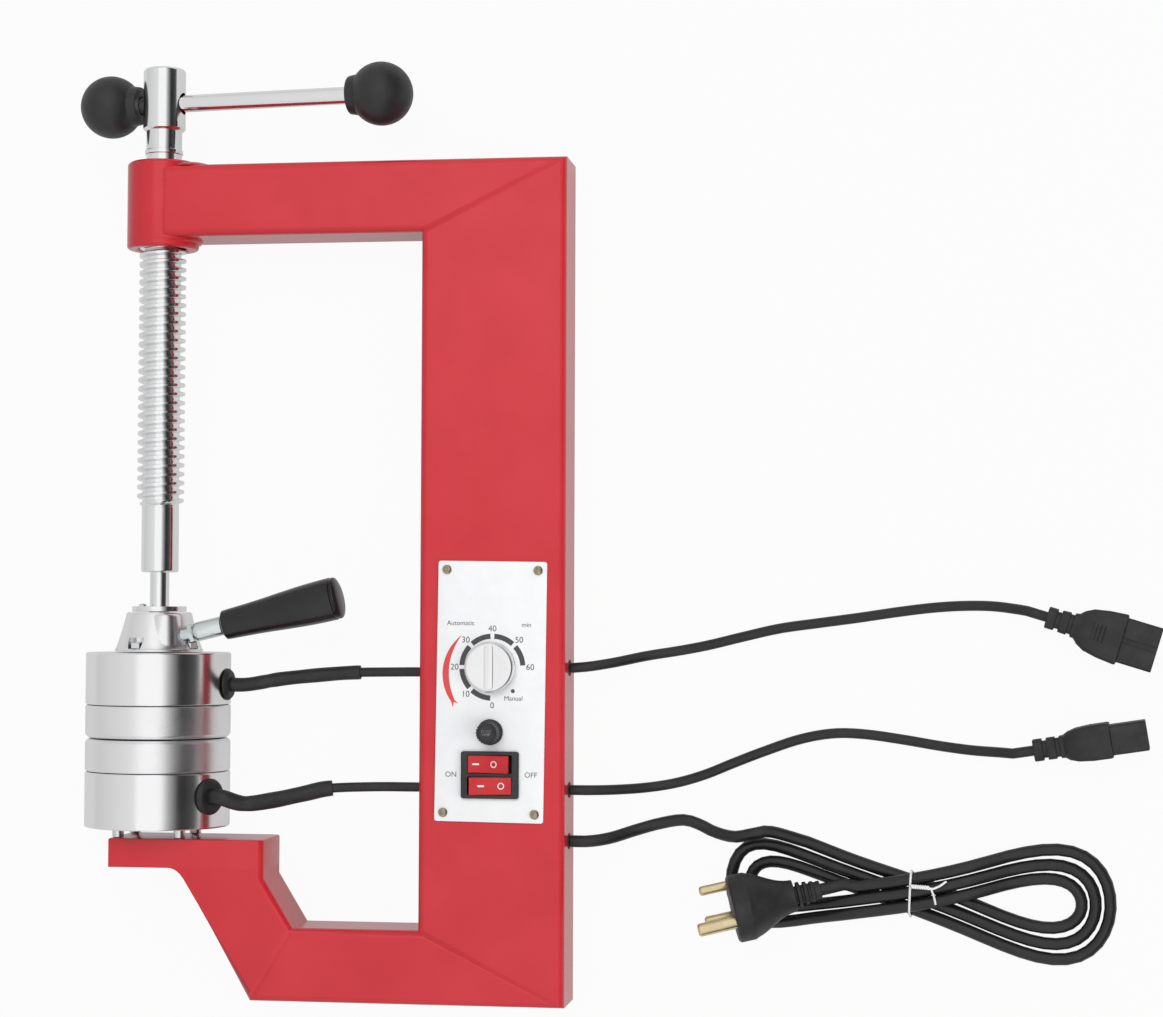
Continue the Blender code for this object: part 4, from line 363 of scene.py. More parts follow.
# %% Outlet cords
OUTLET_CORD_RADIUS = 0.00275
OUTLET_SPACING = 0.004
UPPER_OUTLET_ROUTE = [
    (0.0010, 0.1819, 0.0199),
    (0.0110, 0.1828, 0.0187),
    (0.0240, 0.1850, 0.0140),
    (0.0400, 0.1885, 0.0071),
    (0.0580, 0.1915, 0.0030),
    (0.0740, 0.1946, 0.0029),
    (0.0920, 0.1990, 0.0029),
    (0.1130, 0.2038, 0.0029),
    (0.1340, 0.2068, 0.0029),
    (0.1560, 0.2098, 0.0029),
    (0.1760, 0.2128, 0.0029),
    (0.1950, 0.2152, 0.0029),
    (0.2120, 0.2163, 0.0032),
    (0.2280, 0.2161, 0.0048),
    (0.2420, 0.2143, 0.0074),
]
LOWER_OUTLET_ROUTE = [
    (0.0010, 0.1156, 0.0199),
    (0.0110, 0.1156, 0.0187),
    (0.0240, 0.1158, 0.0140),
    (0.0400, 0.1168, 0.0071),
    (0.0560, 0.1194, 0.0030),
    (0.0720, 0.1242, 0.0029),
    (0.0880, 0.1308, 0.0029),
    (0.1050, 0.1375, 0.0029),
    (0.1240, 0.1441, 0.0029),
    (0.1420, 0.1475, 0.0029),
    (0.1590, 0.1473, 0.0029),
    (0.1790, 0.1448, 0.0029),
    (0.1990, 0.1417, 0.0036),
    (0.2160, 0.1398, 0.0064),
    (0.2310, 0.1391, 0.0105),
]
outlets = {
    "upper": (UPPER_OUTLET_ROUTE, Vector((0.2560, 0.2105, 0.0094)), math.radians(-17)),
    "lower": (LOWER_OUTLET_ROUTE, Vector((0.2490, 0.1405, 0.0138)), math.radians(9)),
}
outlet_cords = {}
for side, (route, place, turn) in outlets.items():
    way = Vector((math.cos(turn), math.sin(turn), 0))
    route = route_to(route, place, way, OUTLET_CORD_RADIUS, OUTLET_SPACING)
    points = on_floor(route, OUTLET_CORD_RADIUS)
    piece = cord_curve(f"{side}_outlet_flex", points, OUTLET_CORD_RADIUS, "cord")
    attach(piece, "frame")
    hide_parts(f"{side}_outlet_cord")
    outlet_cords[side] = (piece, points[0], route_length(points))

# %% [markdown]
# The mains cord is laid in a figure of eight and tied at its waist with a white wire. The eight can
# be drawn by hand, but a formula keeps the strands apart. Each turn runs to the right fold, back
# through the waist and round the left fold. Tables give the reach and the half width that each turn
# has, and a smooth step leads from one row to the next. Every second strand crosses over the others.

# %% The hank's formula
MAINS_CORD_RADIUS = 0.00325
MAINS_SPACING = 0.004
MAINS_ROUTE = [
    (0.0010, 0.0879, 0.0199),
    (0.0110, 0.0880, 0.0188),
    (0.0220, 0.0897, 0.0145),
    (0.0340, 0.0935, 0.0078),
    (0.0470, 0.0972, 0.0036),
    (0.0600, 0.0994, 0.0034),
    (0.0690, 0.0972, 0.0035),
    (0.0775, 0.0935, 0.0052),
    (0.0890, 0.0914, 0.0090),
    (0.1000, 0.0934, 0.0106),
    (0.1090, 0.0945, 0.0082),
]
HANK_CENTRE = Vector((0.1842, 0.0634, 0))
HANK_TURN = math.radians(-2.8)
LOOP_POINTS = 60
HANK_START = -0.34
HANK_END = 2.30
HANK_REACH = [(-0.5, 0.0824), (0.0, 0.0889), (0.5, 0.0977), (1.0, 0.0961), (1.5, 0.0872), (2.0, 0.1037)]
HANK_REACH += [(2.5, 0.0830)]
HANK_SWELL = [(-0.5, 0.0240), (-0.25, 0.0159), (0.0, 0.0133), (0.5, 0.0190), (1.0, 0.0209), (1.5, 0.0104)]
HANK_SWELL += [(2.0, 0.0288), (2.5, 0.0052)]
HANK_FULLNESS = [(-0.5, 0.39), (0.0, 0.19), (0.5, 0.485), (1.0, 0.14), (1.5, 0.50), (2.0, 0.09), (2.5, 0.56)]
HANK_WAIST = [(-0.25, 0.0069), (0.25, -0.0061), (0.75, -0.0008), (1.25, 0.0011), (1.75, -0.0080)]
HANK_WAIST += [(2.25, 0.0081)]
HANK_LIFT = 0.0071
HANK_LIFT_NEAR = 0.030
HANK_LIFT_FAR = 0.056
HANK_LAST_CLIMB = 2.2
TIE_LIFT = 0.0017
TIE_LIFT_REACH = 0.035


def eased(value, table):
    """A value between the rows of a table of (turn, length), with a smooth start and stop."""
    for (start, low), (end, high) in zip(table, table[1:]):
        if value <= end:
            share = max(0, (value - start) / (end - start))
            return low + (high - low) * (1 - math.cos(math.pi * share)) / 2
    return table[-1][1]


def hank_point(turn):
    """The cord's middle at a number of turns past the first right-hand fold."""
    angle = math.tau * turn
    along = math.cos(angle) * eased(turn, HANK_REACH)
    bend = math.sin(angle * 2) * (1 + eased(turn, HANK_FULLNESS) * math.cos(angle * 2))
    at_waist = (1 - math.cos(angle * 2)) / 2
    across = bend * eased(turn, HANK_SWELL) + at_waist * eased(turn, HANK_WAIST)
    lift = eased(abs(along), [(HANK_LIFT_NEAR, HANK_LIFT), (HANK_LIFT_FAR, 0)])
    if turn > HANK_LAST_CLIMB:
        lift = HANK_LIFT
    elif turn % 1 > 0.5:
        lift = 0
    lift += TIE_LIFT * max(0, 1 - (along / TIE_LIFT_REACH) ** 2) ** 2
    flat = Matrix.Rotation(HANK_TURN, 2) @ Vector((along, across))
    return HANK_CENTRE + Vector((flat.x, flat.y, MAINS_CORD_RADIUS + lift))


# %% [markdown]
# The plug rests on the hank's left folds with its pins up, and the last strand stays up and runs
# straight into it. The whole lead is one curve, from the bush in the column to the plug, so it can
# be measured.

# %% Mains cord
PLUG_FACE = Vector((0.0911, 0.0544, 0.0272))
PLUG_DIP = math.radians(14)
PLUG_YAW = math.radians(13)
PLUG_ROLL = math.radians(-62)
PLUG_BODY_LENGTH = 0.034
PLUG_BOOT_LENGTH = 0.0145
plug_level = math.cos(PLUG_DIP)
plug_way = Vector((plug_level * math.cos(PLUG_YAW), plug_level * math.sin(PLUG_YAW), -math.sin(PLUG_DIP)))
plug_end = PLUG_FACE + plug_way * (PLUG_BODY_LENGTH + PLUG_BOOT_LENGTH)

loop_count = round((HANK_END - HANK_START) * LOOP_POINTS)
loop_turns = [HANK_START + (HANK_END - HANK_START) * step / loop_count for step in range(loop_count + 1)]
loops = [hank_point(turn) for turn in loop_turns]
hank_way = (loops[1] - loops[0]).normalized()
mains_start = route_to(MAINS_ROUTE, loops[0], hank_way, MAINS_CORD_RADIUS, MAINS_SPACING)
rise = [loops[-1]] + [plug_end + plug_way * MAINS_CORD_RADIUS * share for share in (4, 2, 0)]
mains_route = mains_start[:-1] + loops + smooth_route(rise, MAINS_SPACING)[1:]
mains_points = on_floor(mains_route, MAINS_CORD_RADIUS)
mains_cord = cord_curve("mains_flex", mains_points, MAINS_CORD_RADIUS, "cord")
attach(mains_cord, "frame")
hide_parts("mains_cord", "mains_cord_hank")

# %% [markdown]
# Most pieces here are turned, moulded or folded, so a few helpers carry the whole lesson. One spins
# a profile, and softens its corners, because no real edge is a knife. One thickens a flat outline.
# One cuts or joins shapes with Blender's exact Boolean. The last one welds doubles, turns the faces
# outwards, marks the sharp edges and hands the piece to the body that it moves with.

# %% Modelling helpers
SHARP = math.radians(32)
WELD = 0.000002
TURN_STEPS = 96


def softened(profile, radius, steps=4):
    """The profile with each inner corner rounded by a small curve."""
    points = [Vector(point) for point in profile]
    result = [points[0]]
    for before, corner, after in zip(points, points[1:], points[2:]):
        reach = min(radius, (corner - before).length * 0.45, (after - corner).length * 0.45)
        start = corner + (before - corner).normalized() * reach
        end = corner + (after - corner).normalized() * reach
        for step in range(steps + 1):
            t = step / steps
            result.append(start.lerp(corner, t).lerp(corner.lerp(end, t), t))
    return result + [points[-1]]


def spun(profile, steps=TURN_STEPS, closed=False, angle=math.tau):
    """A profile of (radius, height) points, turned round the Z axis."""
    bm = bmesh.new()
    points = [bm.verts.new((radius, 0, height)) for radius, height in profile]
    edges = [bm.edges.new(pair) for pair in zip(points, points[1:])]
    if closed:
        edges.append(bm.edges.new((points[-1], points[0])))
    full = angle == math.tau
    bmesh.ops.spin(
        bm, geom=points + edges, cent=(0, 0, 0), axis=(0, 0, 1), angle=angle, steps=steps, use_merge=full
    )
    bmesh.ops.remove_doubles(bm, verts=bm.verts, dist=WELD)
    bmesh.ops.recalc_face_normals(bm, faces=bm.faces)
    return bm


def cylinder(radius, base, top, steps):
    """A plain cylinder on the Z axis."""
    return spun([(0, base), (radius, base), (radius, top), (0, top)], steps)


def spun_ring(profile, softness, steps):
    """A closed profile with softened corners, turned round the Z axis."""
    return spun(softened([*profile, profile[0]], softness)[:-1], steps, closed=True)


def thickened(bm, height):
    """Raises every face of a flat shape along Z, which closes it."""
    raised = bmesh.ops.extrude_face_region(bm, geom=list(bm.faces))["geom"]
    lifted = [part for part in raised if isinstance(part, bmesh.types.BMVert)]
    bmesh.ops.translate(bm, verts=lifted, vec=(0, 0, height))


def extruded(outline, base, top):
    """A flat outline of (x, y) points, thickened along Z."""
    bm = bmesh.new()
    bm.faces.new([bm.verts.new((x, y, base)) for x, y in outline])
    thickened(bm, top - base)
    bmesh.ops.recalc_face_normals(bm, faces=bm.faces)
    return bm


def rounded(bm, edges, radius, segments=4, clamped=True):
    bmesh.ops.bevel(
        bm,
        geom=list(edges),
        offset=radius,
        offset_type="OFFSET",
        segments=segments,
        profile=0.5,
        affect="EDGES",
        material=-1,
        clamp_overlap=clamped,
    )
    return bm


def slab(width, height, base, top, corner=0.0, edge=0.0):
    """A box on the Z axis with rounded upright edges, and softened edges on its top."""
    x, y = width / 2, height / 2
    bm = extruded([(-x, -y), (x, -y), (x, y), (-x, y)], base, top)
    if corner:
        upright_edges = [e for e in bm.edges if abs(e.verts[0].co.z - e.verts[1].co.z) > WELD]
        rounded(bm, upright_edges, corner, 6)
    if edge:
        rim = [e for e in bm.edges if all(abs(v.co.z - top) < WELD for v in e.verts)]
        rounded(bm, rim, edge, 3)
    return bm


def placed(bm, place=(0, 0, 0), turn=None):
    if turn is not None:
        bmesh.ops.transform(bm, matrix=turn.to_4x4(), verts=bm.verts)
    bmesh.ops.translate(bm, verts=bm.verts, vec=place)
    return bm


def along_y(bm, place=(0, 0, 0)):
    """Turns a shape made along Z so that it runs up the machine."""
    return placed(bm, place, Matrix.Rotation(-math.pi / 2, 3, "X"))


def along_x(bm, place=(0, 0, 0)):
    """Turns a shape made along Z so that it runs to the machine's right."""
    return placed(bm, place, Matrix.Rotation(math.pi / 2, 3, "Y"))


def close_ends(bm):
    """Fills every open rim of a tube."""
    bmesh.ops.holes_fill(bm, edges=[e for e in bm.edges if e.is_boundary])


def add_shell(whole, part):
    """Adds a closed shape to another, which it may cross."""
    mesh = bpy.data.meshes.new("shell")
    part.to_mesh(mesh)
    part.free()
    whole.from_mesh(mesh)


def to_object(name, bm):
    mesh = bpy.data.meshes.new(name)
    bm.to_mesh(mesh)
    bm.free()
    piece = bpy.data.objects.new(name, mesh)
    bpy.context.scene.collection.objects.link(piece)
    return piece


def carved(bm, tools, operation="DIFFERENCE"):
    """Cuts shapes from a bmesh, or joins them to it, and gives the result as a new bmesh."""
    body = to_object("carved", bm)
    helpers = [to_object("tool", tool) for tool in tools]
    for helper in helpers:
        change = body.modifiers.new("change", "BOOLEAN")
        change.operation = operation
        change.solver = "EXACT"
        change.object = helper
    result = bmesh.new()
    result.from_object(body, bpy.context.evaluated_depsgraph_get())
    for item in [body, *helpers]:
        bpy.data.objects.remove(item)
    return result


def finish_piece(name, bm, finish, body, replaced=(), frame_turn=machine):
    """Cleans the mesh, puts it in its place on the machine and hands it to a body."""
    bmesh.ops.remove_doubles(bm, verts=bm.verts, dist=WELD)
    bmesh.ops.recalc_face_normals(bm, faces=bm.faces)
    bmesh.ops.transform(bm, matrix=frame_turn, verts=bm.verts)
    piece = to_object(name, bm)
    piece.data.materials.append(finishes[finish])
    piece.data.shade_smooth()
    piece.data.set_sharp_from_angle(angle=SHARP)
    if body:
        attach(piece, body)
    if replaced:
        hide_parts(*replaced)
    print(f"{name}: {len(piece.data.polygons)} faces")
    return piece


# %% [markdown]
# The frame is rectangular steel tube, mitred at its corners, welded and ground flush, then sprayed.
# It could be modelled as four tubes, but the paint hides the joints, so one skin is truer: a single
# C-shaped outline is thickened, its long edges get the fold radius of the tube, and a smaller copy
# of the outline hollows it. The opening for the controls and the cord holes are cut last.

# %% The frame's outline
FRAME_HEIGHT = 0.460
FRAME_DEPTH = 0.040
COLUMN_WIDTH = 0.080
ARM_HEIGHT = 0.040
TUBE_WALL = 0.003
FOLD_RADIUS = 0.004
NUT_RADIUS = 0.020
SHELF_REACH = SCREW_REACH + 0.0214
SHELF_LENGTH = 0.0871
SHELF_TOP = 0.0873
SHELF_THICKNESS = 0.0158
KNEE_DROP = 0.005
FOOT_REACH = SHELF_REACH - 0.1034
FOOT_WIDTH = 0.040
FOOT_LEAN = math.radians(29.5)
FOOT_FILLET = 0.008
front = FRAME_DEPTH / 2
arm_end = NUT_RADIUS * 0.2 - SCREW_REACH
shelf_base = SHELF_TOP - SHELF_THICKNESS
shelf_right = SHELF_LENGTH - SHELF_REACH
foot_start_x = -FOOT_REACH - math.cos(FOOT_LEAN) * FOOT_WIDTH
foot_start_y = ARM_HEIGHT - math.sin(FOOT_LEAN) * FOOT_WIDTH


def foot_side(height):
    """The outer side of the leaning foot at a height."""
    return Vector((foot_start_x - (height - foot_start_y) * math.tan(FOOT_LEAN), height))


fillet_start = foot_side(shelf_base - FOOT_FILLET)
fillet_corner = foot_side(shelf_base)
fillet_end = fillet_corner - Vector((FOOT_FILLET * 0.7, 0))
FILLET_STEPS = 6
foot_fillet = []
for step in range(FILLET_STEPS + 1):
    t = step / FILLET_STEPS
    foot_fillet.append(fillet_start.lerp(fillet_corner, t).lerp(fillet_corner.lerp(fillet_end, t), t))
frame_start = [
    (0, 0),
    (0, FRAME_HEIGHT),
    (arm_end, FRAME_HEIGHT),
    (arm_end, FRAME_HEIGHT - ARM_HEIGHT),
    (-COLUMN_WIDTH, FRAME_HEIGHT - ARM_HEIGHT),
    (-COLUMN_WIDTH, ARM_HEIGHT),
    (-FOOT_REACH, ARM_HEIGHT),
    (shelf_right, shelf_base - KNEE_DROP),
]
frame_end = [*reversed([tuple(point) for point in foot_fillet]), tuple(foot_side(0))]
# The outer skin runs a little way up into the shelf, so that its folded end isn't seen
FOOT_BURIED = 0.006
foot_top = [(shelf_right, shelf_base + FOOT_BURIED), (fillet_end.x, shelf_base + FOOT_BURIED)]
outer_outline = [*frame_start, *foot_top, *frame_end]
inner_outline = [*frame_start, (shelf_right, shelf_base), *frame_end]
print(len(outer_outline), "points in the frame's outline")

# %% Frame skin
CORD_HOLE = 0.0045
LEAD_HOLE = 0.0029
OPENING_WIDTH = 0.0505
OPENING_HEIGHT = 0.1235
PLATE_CENTRE = Vector((-0.040, 0.1694, 0))
OUTLET_HEIGHTS = {"upper_outlet": 0.1819, "lower_outlet": 0.1156, "mains": 0.0879}
LEAD_HEIGHTS = {"upper": 0.1792, "lower": 0.1161}
outer = extruded(outer_outline, -front, front)
# The flare under the shelf and the end inside the shelf keep crisp edges
fold_edges = []
for edge in outer.edges:
    one, two = (vert.co for vert in edge.verts)
    crisp = min(one.y, two.y) > fillet_start.y - WELD and min(one.x, two.x) < shelf_right - WELD
    crisp = crisp and max(one.y, two.y) < shelf_base + FOOT_BURIED + WELD
    if abs(one.z - two.z) < WELD and not crisp:
        fold_edges.append(edge)
print(len(fold_edges), "folded edges on the frame")
rounded(outer, fold_edges, FOLD_RADIUS, 6, clamped=False)
inner = bmesh.new()
inner_face = inner.faces.new([inner.verts.new((x, y, TUBE_WALL - front)) for x, y in inner_outline])
inner.normal_update()
inset = {"thickness": TUBE_WALL, "use_boundary": True, "use_even_offset": True}
ring = bmesh.ops.inset_region(inner, faces=[inner_face], **inset)["faces"]
bmesh.ops.delete(inner, geom=ring, context="FACES")
thickened(inner, FRAME_DEPTH - TUBE_WALL * 2)
bmesh.ops.recalc_face_normals(inner, faces=inner.faces)
# The cutters run past the wall on both sides
INSIDE_CUT = 0.006
OUTSIDE_CUT = 0.004
opening = slab(OPENING_WIDTH, OPENING_HEIGHT, front - INSIDE_CUT, front + OUTSIDE_CUT)
cutters = [inner, placed(opening, PLATE_CENTRE)]
for height in OUTLET_HEIGHTS.values():
    cutters.append(along_x(cylinder(CORD_HOLE, -INSIDE_CUT, OUTSIDE_CUT, 32), (0, height, 0)))
for height in LEAD_HEIGHTS.values():
    cutters.append(along_x(cylinder(LEAD_HOLE, -OUTSIDE_CUT, INSIDE_CUT, 32), (-COLUMN_WIDTH, height, 0)))
# A shallow round valley is left along each mitre, where the weld was ground
VALLEY_RADIUS = 0.0050
VALLEY_DEPTH = 0.00045
corner_places = [
    (Vector((-COLUMN_WIDTH / 2, FRAME_HEIGHT - ARM_HEIGHT / 2, 0)), math.atan2(ARM_HEIGHT, COLUMN_WIDTH)),
    (Vector((-COLUMN_WIDTH / 2, ARM_HEIGHT / 2, 0)), -math.atan2(ARM_HEIGHT, COLUMN_WIDTH)),
]
foot_corner = (Vector((-FOOT_REACH, ARM_HEIGHT)) + foot_side(0)) / 2
foot_way = Vector((-FOOT_REACH, ARM_HEIGHT)) - foot_side(0)
corner_places.append((foot_corner.to_3d(), math.atan2(foot_way.y, foot_way.x)))
for centre, turn in corner_places:
    for side in (-1, 1):
        half = COLUMN_WIDTH * 0.65
        rod = along_x(cylinder(VALLEY_RADIUS, -half, half, TURN_STEPS))
        place = centre + Vector((0, 0, side * (front + VALLEY_RADIUS - VALLEY_DEPTH)))
        cutters.append(placed(rod, place, Matrix.Rotation(turn, 3, "Z")))
skin = carved(outer, cutters)
TUBES = ("column_tube", "top_arm_tube", "base_tube", "foot_tube")
frame_skin = finish_piece("frame_skin", skin, "paint", "frame", TUBES)
flat_faces = frame_skin.modifiers.new("flat faces", "WEIGHTED_NORMAL")
flat_faces.keep_sharp = True

# %% [markdown]
# The shelf is a solid bar welded across the top of the foot. Its right edges are rounded like the
# folds below them, and the others are only broken. It stands proud of the foot by less than the eye
# sees, so that its front runs on into the foot's.

# %% Shelf
SHELF_PROUD = 0.00003
SHELF_EDGE = 0.0009
shelf_end = shelf_right + SHELF_PROUD
shelf_outline = [(-SHELF_REACH, shelf_base), (shelf_end, shelf_base)]
shelf_outline += [(shelf_end, SHELF_TOP), (-SHELF_REACH, SHELF_TOP)]
shelf = extruded(shelf_outline, -front - SHELF_PROUD, front + SHELF_PROUD)
right_edges = []
for edge in shelf.edges:
    one, two = (vert.co for vert in edge.verts)
    if min(one.x, two.x) > shelf_end - WELD and abs(one.z - two.z) < WELD:
        right_edges.append(edge)
rounded(shelf, right_edges, FOLD_RADIUS, 6)
upper_edges = [e for e in shelf.edges if min(v.co.y for v in e.verts) > SHELF_TOP - WELD]
rounded(shelf, upper_edges, SHELF_EDGE, 3)
finish_piece("shelf_bar", shelf, "paint", "frame", ("shelf",))

# %% [markdown]
# The screw runs in a threaded boss at the end of the arm. It is as deep as the tube, so its front
# runs into the tube's face, and the weld shows above and below: a mound from the boss's top down to
# the arm, and a bead round its lower side. A spun ring makes the boss, and the welds are a flattened
# sphere and part of a torus, pressed into their neighbours as molten metal is.

# %% Nut boss and its welds
NUT_BORE = 0.0136
NUT_ABOVE = 0.0038
NUT_BELOW = 0.005
BOSS_EDGE = 0.001
BOSS_TOP_EDGE = 0.0014
nut_top = FRAME_HEIGHT + NUT_ABOVE
nut_base = FRAME_HEIGHT - ARM_HEIGHT - NUT_BELOW
boss_profile = [
    (NUT_BORE, nut_base + BOSS_EDGE),
    (NUT_BORE + BOSS_EDGE, nut_base),
    (NUT_RADIUS - BOSS_EDGE, nut_base),
    (NUT_RADIUS, nut_base + BOSS_EDGE),
    (NUT_RADIUS, nut_top - BOSS_TOP_EDGE),
    (NUT_RADIUS - BOSS_TOP_EDGE, nut_top),
    (NUT_BORE + BOSS_EDGE, nut_top),
    (NUT_BORE, nut_top - BOSS_EDGE),
]
boss = along_y(spun(softened(boss_profile, 0.0006), closed=True), (-SCREW_REACH, 0, 0))
finish_piece("nut_boss", boss, "paint", "frame", ("screw_nut",))

MOUND_SIZE = Vector((0.0125, 0.0036, 0.0188))
MOUND_REACH = NUT_RADIUS - 0.002
mound = bmesh.new()
bmesh.ops.create_uvsphere(mound, u_segments=48, v_segments=24, radius=1)
bmesh.ops.scale(mound, verts=mound.verts, vec=MOUND_SIZE)
whole_mound = [*mound.verts, *mound.edges, *mound.faces]
bmesh.ops.bisect_plane(mound, geom=whole_mound, plane_co=(0, 0, 0), plane_no=(0, -1, 0), clear_outer=True)
close_ends(mound)
placed(mound, (MOUND_REACH - SCREW_REACH, FRAME_HEIGHT - 0.0002, 0))
# The mound stops inside the boss's wall, clear of the thread
MOUND_END = NUT_BORE + 0.0012
mound_bore = cylinder(MOUND_END, nut_base, nut_top + NUT_ABOVE, 64)
mound = carved(mound, [along_y(mound_bore, (-SCREW_REACH, 0, 0))])
finish_piece("upper_weld", mound, "paint", "frame")

BEAD = 0.0021
BEAD_HALF_TURN = 88
BEAD_STEPS = 24
bead_points = []
for step in range(BEAD_STEPS + 1):
    angle = math.radians(BEAD_HALF_TURN * (2 * step / BEAD_STEPS - 1))
    x = (NUT_RADIUS + BEAD * 0.2) * math.cos(angle) - SCREW_REACH
    z = (front - BEAD * 0.8) * math.sin(angle)
    bead_points.append(Vector((x, FRAME_HEIGHT - ARM_HEIGHT, z)))
bead = bmesh.new()
rings = []
for index, point in enumerate(bead_points):
    way = bead_points[min(index + 1, BEAD_STEPS)] - bead_points[max(index - 1, 0)]
    turn = way.to_track_quat("Z", "Y").to_matrix()
    ring = bmesh.ops.create_circle(bead, segments=12, radius=BEAD)["verts"]
    bmesh.ops.transform(bead, matrix=turn.to_4x4(), verts=ring)
    bmesh.ops.translate(bead, verts=ring, vec=point)
    rings.append([edge for edge in bead.edges if all(vert in ring for vert in edge.verts)])
for lower, upper in zip(rings, rings[1:]):
    bmesh.ops.bridge_loops(bead, edges=lower + upper)
close_ends(bead)
finish_piece("lower_weld", bead, "paint", "frame")

# %% [markdown]
# The lead screw is the heart of the press: a trapezoidal thread of 5 mm pitch, 26 mm across. The
# tooth's section is spun with a lift of one pitch, which makes one turn. Copies of that turn are
# stacked and merged, because each one starts where the last one ends. Crest and root are rounded a
# little, as on a rolled thread, and the ridge fades out over its last turn. The plain ends and the
# head are spun round the same axis.

# %% Lead screw thread
THREAD_RADIUS = 0.013
THREAD_ROOT = 0.01015
THREAD_PITCH = 0.005
THREAD_CREST = 0.00183
THREAD_FLANK = math.radians(15)
THREAD_STEPS = 60
THREAD_BASE = 0.2704
THREAD_TOP = 0.4584
THREAD_FADE_SHARE = 0.7
SAME_LEVEL = 0.00001


def thread_tooth():
    """One pitch of the thread's section as (radius, height), from root to root."""
    flank = (THREAD_RADIUS - THREAD_ROOT) * math.tan(THREAD_FLANK)
    ridge = THREAD_CREST + flank * 2
    low = THREAD_PITCH - ridge
    corners = [(THREAD_ROOT, 0), (THREAD_ROOT, low), (THREAD_RADIUS, low + flank)]
    corners += [(THREAD_RADIUS, THREAD_PITCH - flank), (THREAD_ROOT, THREAD_PITCH)]
    return softened(corners, 0.00045, 3)


def helix(base, top):
    start = base - THREAD_PITCH * 2
    turns = math.ceil((top - start) / THREAD_PITCH) + 2
    bm = bmesh.new()
    points = [bm.verts.new((radius, 0, start + height)) for radius, height in thread_tooth()]
    edges = [bm.edges.new(pair) for pair in zip(points, points[1:])]
    bmesh.ops.spin(
        bm,
        geom=points + edges,
        cent=(0, 0, 0),
        axis=(0, 0, 1),
        dvec=(0, 0, THREAD_PITCH / THREAD_STEPS),
        angle=math.tau,
        steps=THREAD_STEPS,
    )
    one_turn = [*bm.verts, *bm.edges, *bm.faces]
    for number in range(1, turns):
        copy = bmesh.ops.duplicate(bm, geom=one_turn)["geom"]
        raised = [part for part in copy if isinstance(part, bmesh.types.BMVert)]
        bmesh.ops.translate(bm, verts=raised, vec=(0, 0, THREAD_PITCH * number))
    bmesh.ops.remove_doubles(bm, verts=bm.verts, dist=SAME_LEVEL)
    for level, way in ((base, -1), (top, 1)):
        whole = [*bm.verts, *bm.edges, *bm.faces]
        bmesh.ops.bisect_plane(bm, geom=whole, plane_co=(0, 0, level), plane_no=(0, 0, way), clear_outer=True)
        open_edges = [edge for edge in bm.edges if edge.is_boundary]
        rim = [e for e in open_edges if all(abs(v.co.z - level) < SAME_LEVEL for v in e.verts)]
        bmesh.ops.contextual_create(bm, geom=rim)
    return bm


thread = helix(THREAD_BASE, THREAD_TOP)
for vert in thread.verts:
    radius = vert.co.xy.length
    share = min(1, (vert.co.z - THREAD_BASE) / (THREAD_PITCH * THREAD_FADE_SHARE))
    if radius > THREAD_ROOT and share < 1:
        vert.co.xy *= (THREAD_ROOT + (radius - THREAD_ROOT) * share) / radius
thread = along_y(thread, (-SCREW_REACH, 0, 0))
finish_piece("screw_thread", thread, "chrome", "lead_screw", ("lead_screw",))

# %% Lead screw shank and head
FLANGE_BASE = 0.2076
FLANGE_TOP = 0.2116
FLANGE_RADIUS = 0.0095
SHANK_BASE = 0.2339
SHANK_RADIUS = 0.0103
STEM_RADIUS = 0.0053
HEAD_BASE = 0.4822
HEAD_TOP = HEAD_BASE + 0.0350
HEAD_RADIUS = 0.0118
NECK_RADIUS = 0.0099
HEAD_EDGE = 0.0012
COLLAR_BASE = nut_top + 0.005
COLLAR_TOP = COLLAR_BASE + 0.0024
COLLAR_RADIUS = 0.0106
BAR_HEIGHT = HEAD_BASE + 0.0152
BAR_RADIUS = 0.00475
SHANK_EDGE = 0.0008
SHANK_STEP = 0.0003
# The shank and the head end inside the thread's core
CORE_OVERLAP = 0.004
HEAD_OVERLAP = 0.002
shank_core = THREAD_ROOT - 0.0001
shank_top = THREAD_BASE + CORE_OVERLAP
shank_profile = [
    (0, FLANGE_BASE),
    (FLANGE_RADIUS, FLANGE_BASE),
    (FLANGE_RADIUS, FLANGE_TOP),
    (STEM_RADIUS, FLANGE_TOP),
    (STEM_RADIUS, SHANK_BASE),
    (SHANK_RADIUS - SHANK_EDGE, SHANK_BASE),
    (SHANK_RADIUS, SHANK_BASE + SHANK_EDGE),
    (SHANK_RADIUS, THREAD_BASE - SHANK_STEP),
    (shank_core, THREAD_BASE + SHANK_STEP),
    (shank_core, shank_top),
    (0, shank_top),
]
shank = along_y(spun(softened(shank_profile, 0.0004)), (-SCREW_REACH, 0, 0))
finish_piece("screw_shank", shank, "chrome", "lead_screw")

head_profile = [
    (0, THREAD_TOP - HEAD_OVERLAP),
    (NECK_RADIUS, THREAD_TOP - HEAD_OVERLAP),
    (NECK_RADIUS, COLLAR_BASE),
    (COLLAR_RADIUS, COLLAR_BASE),
    (COLLAR_RADIUS, COLLAR_TOP),
    (NECK_RADIUS, COLLAR_TOP),
    (NECK_RADIUS, HEAD_BASE),
    (HEAD_RADIUS - HEAD_EDGE, HEAD_BASE),
    (HEAD_RADIUS, HEAD_BASE + HEAD_EDGE),
    (HEAD_RADIUS, HEAD_TOP - HEAD_EDGE),
    (HEAD_RADIUS - HEAD_EDGE, HEAD_TOP),
    (0, HEAD_TOP),
]
screw_head = along_y(spun(softened(head_profile, 0.0004)), (-SCREW_REACH, 0, 0))
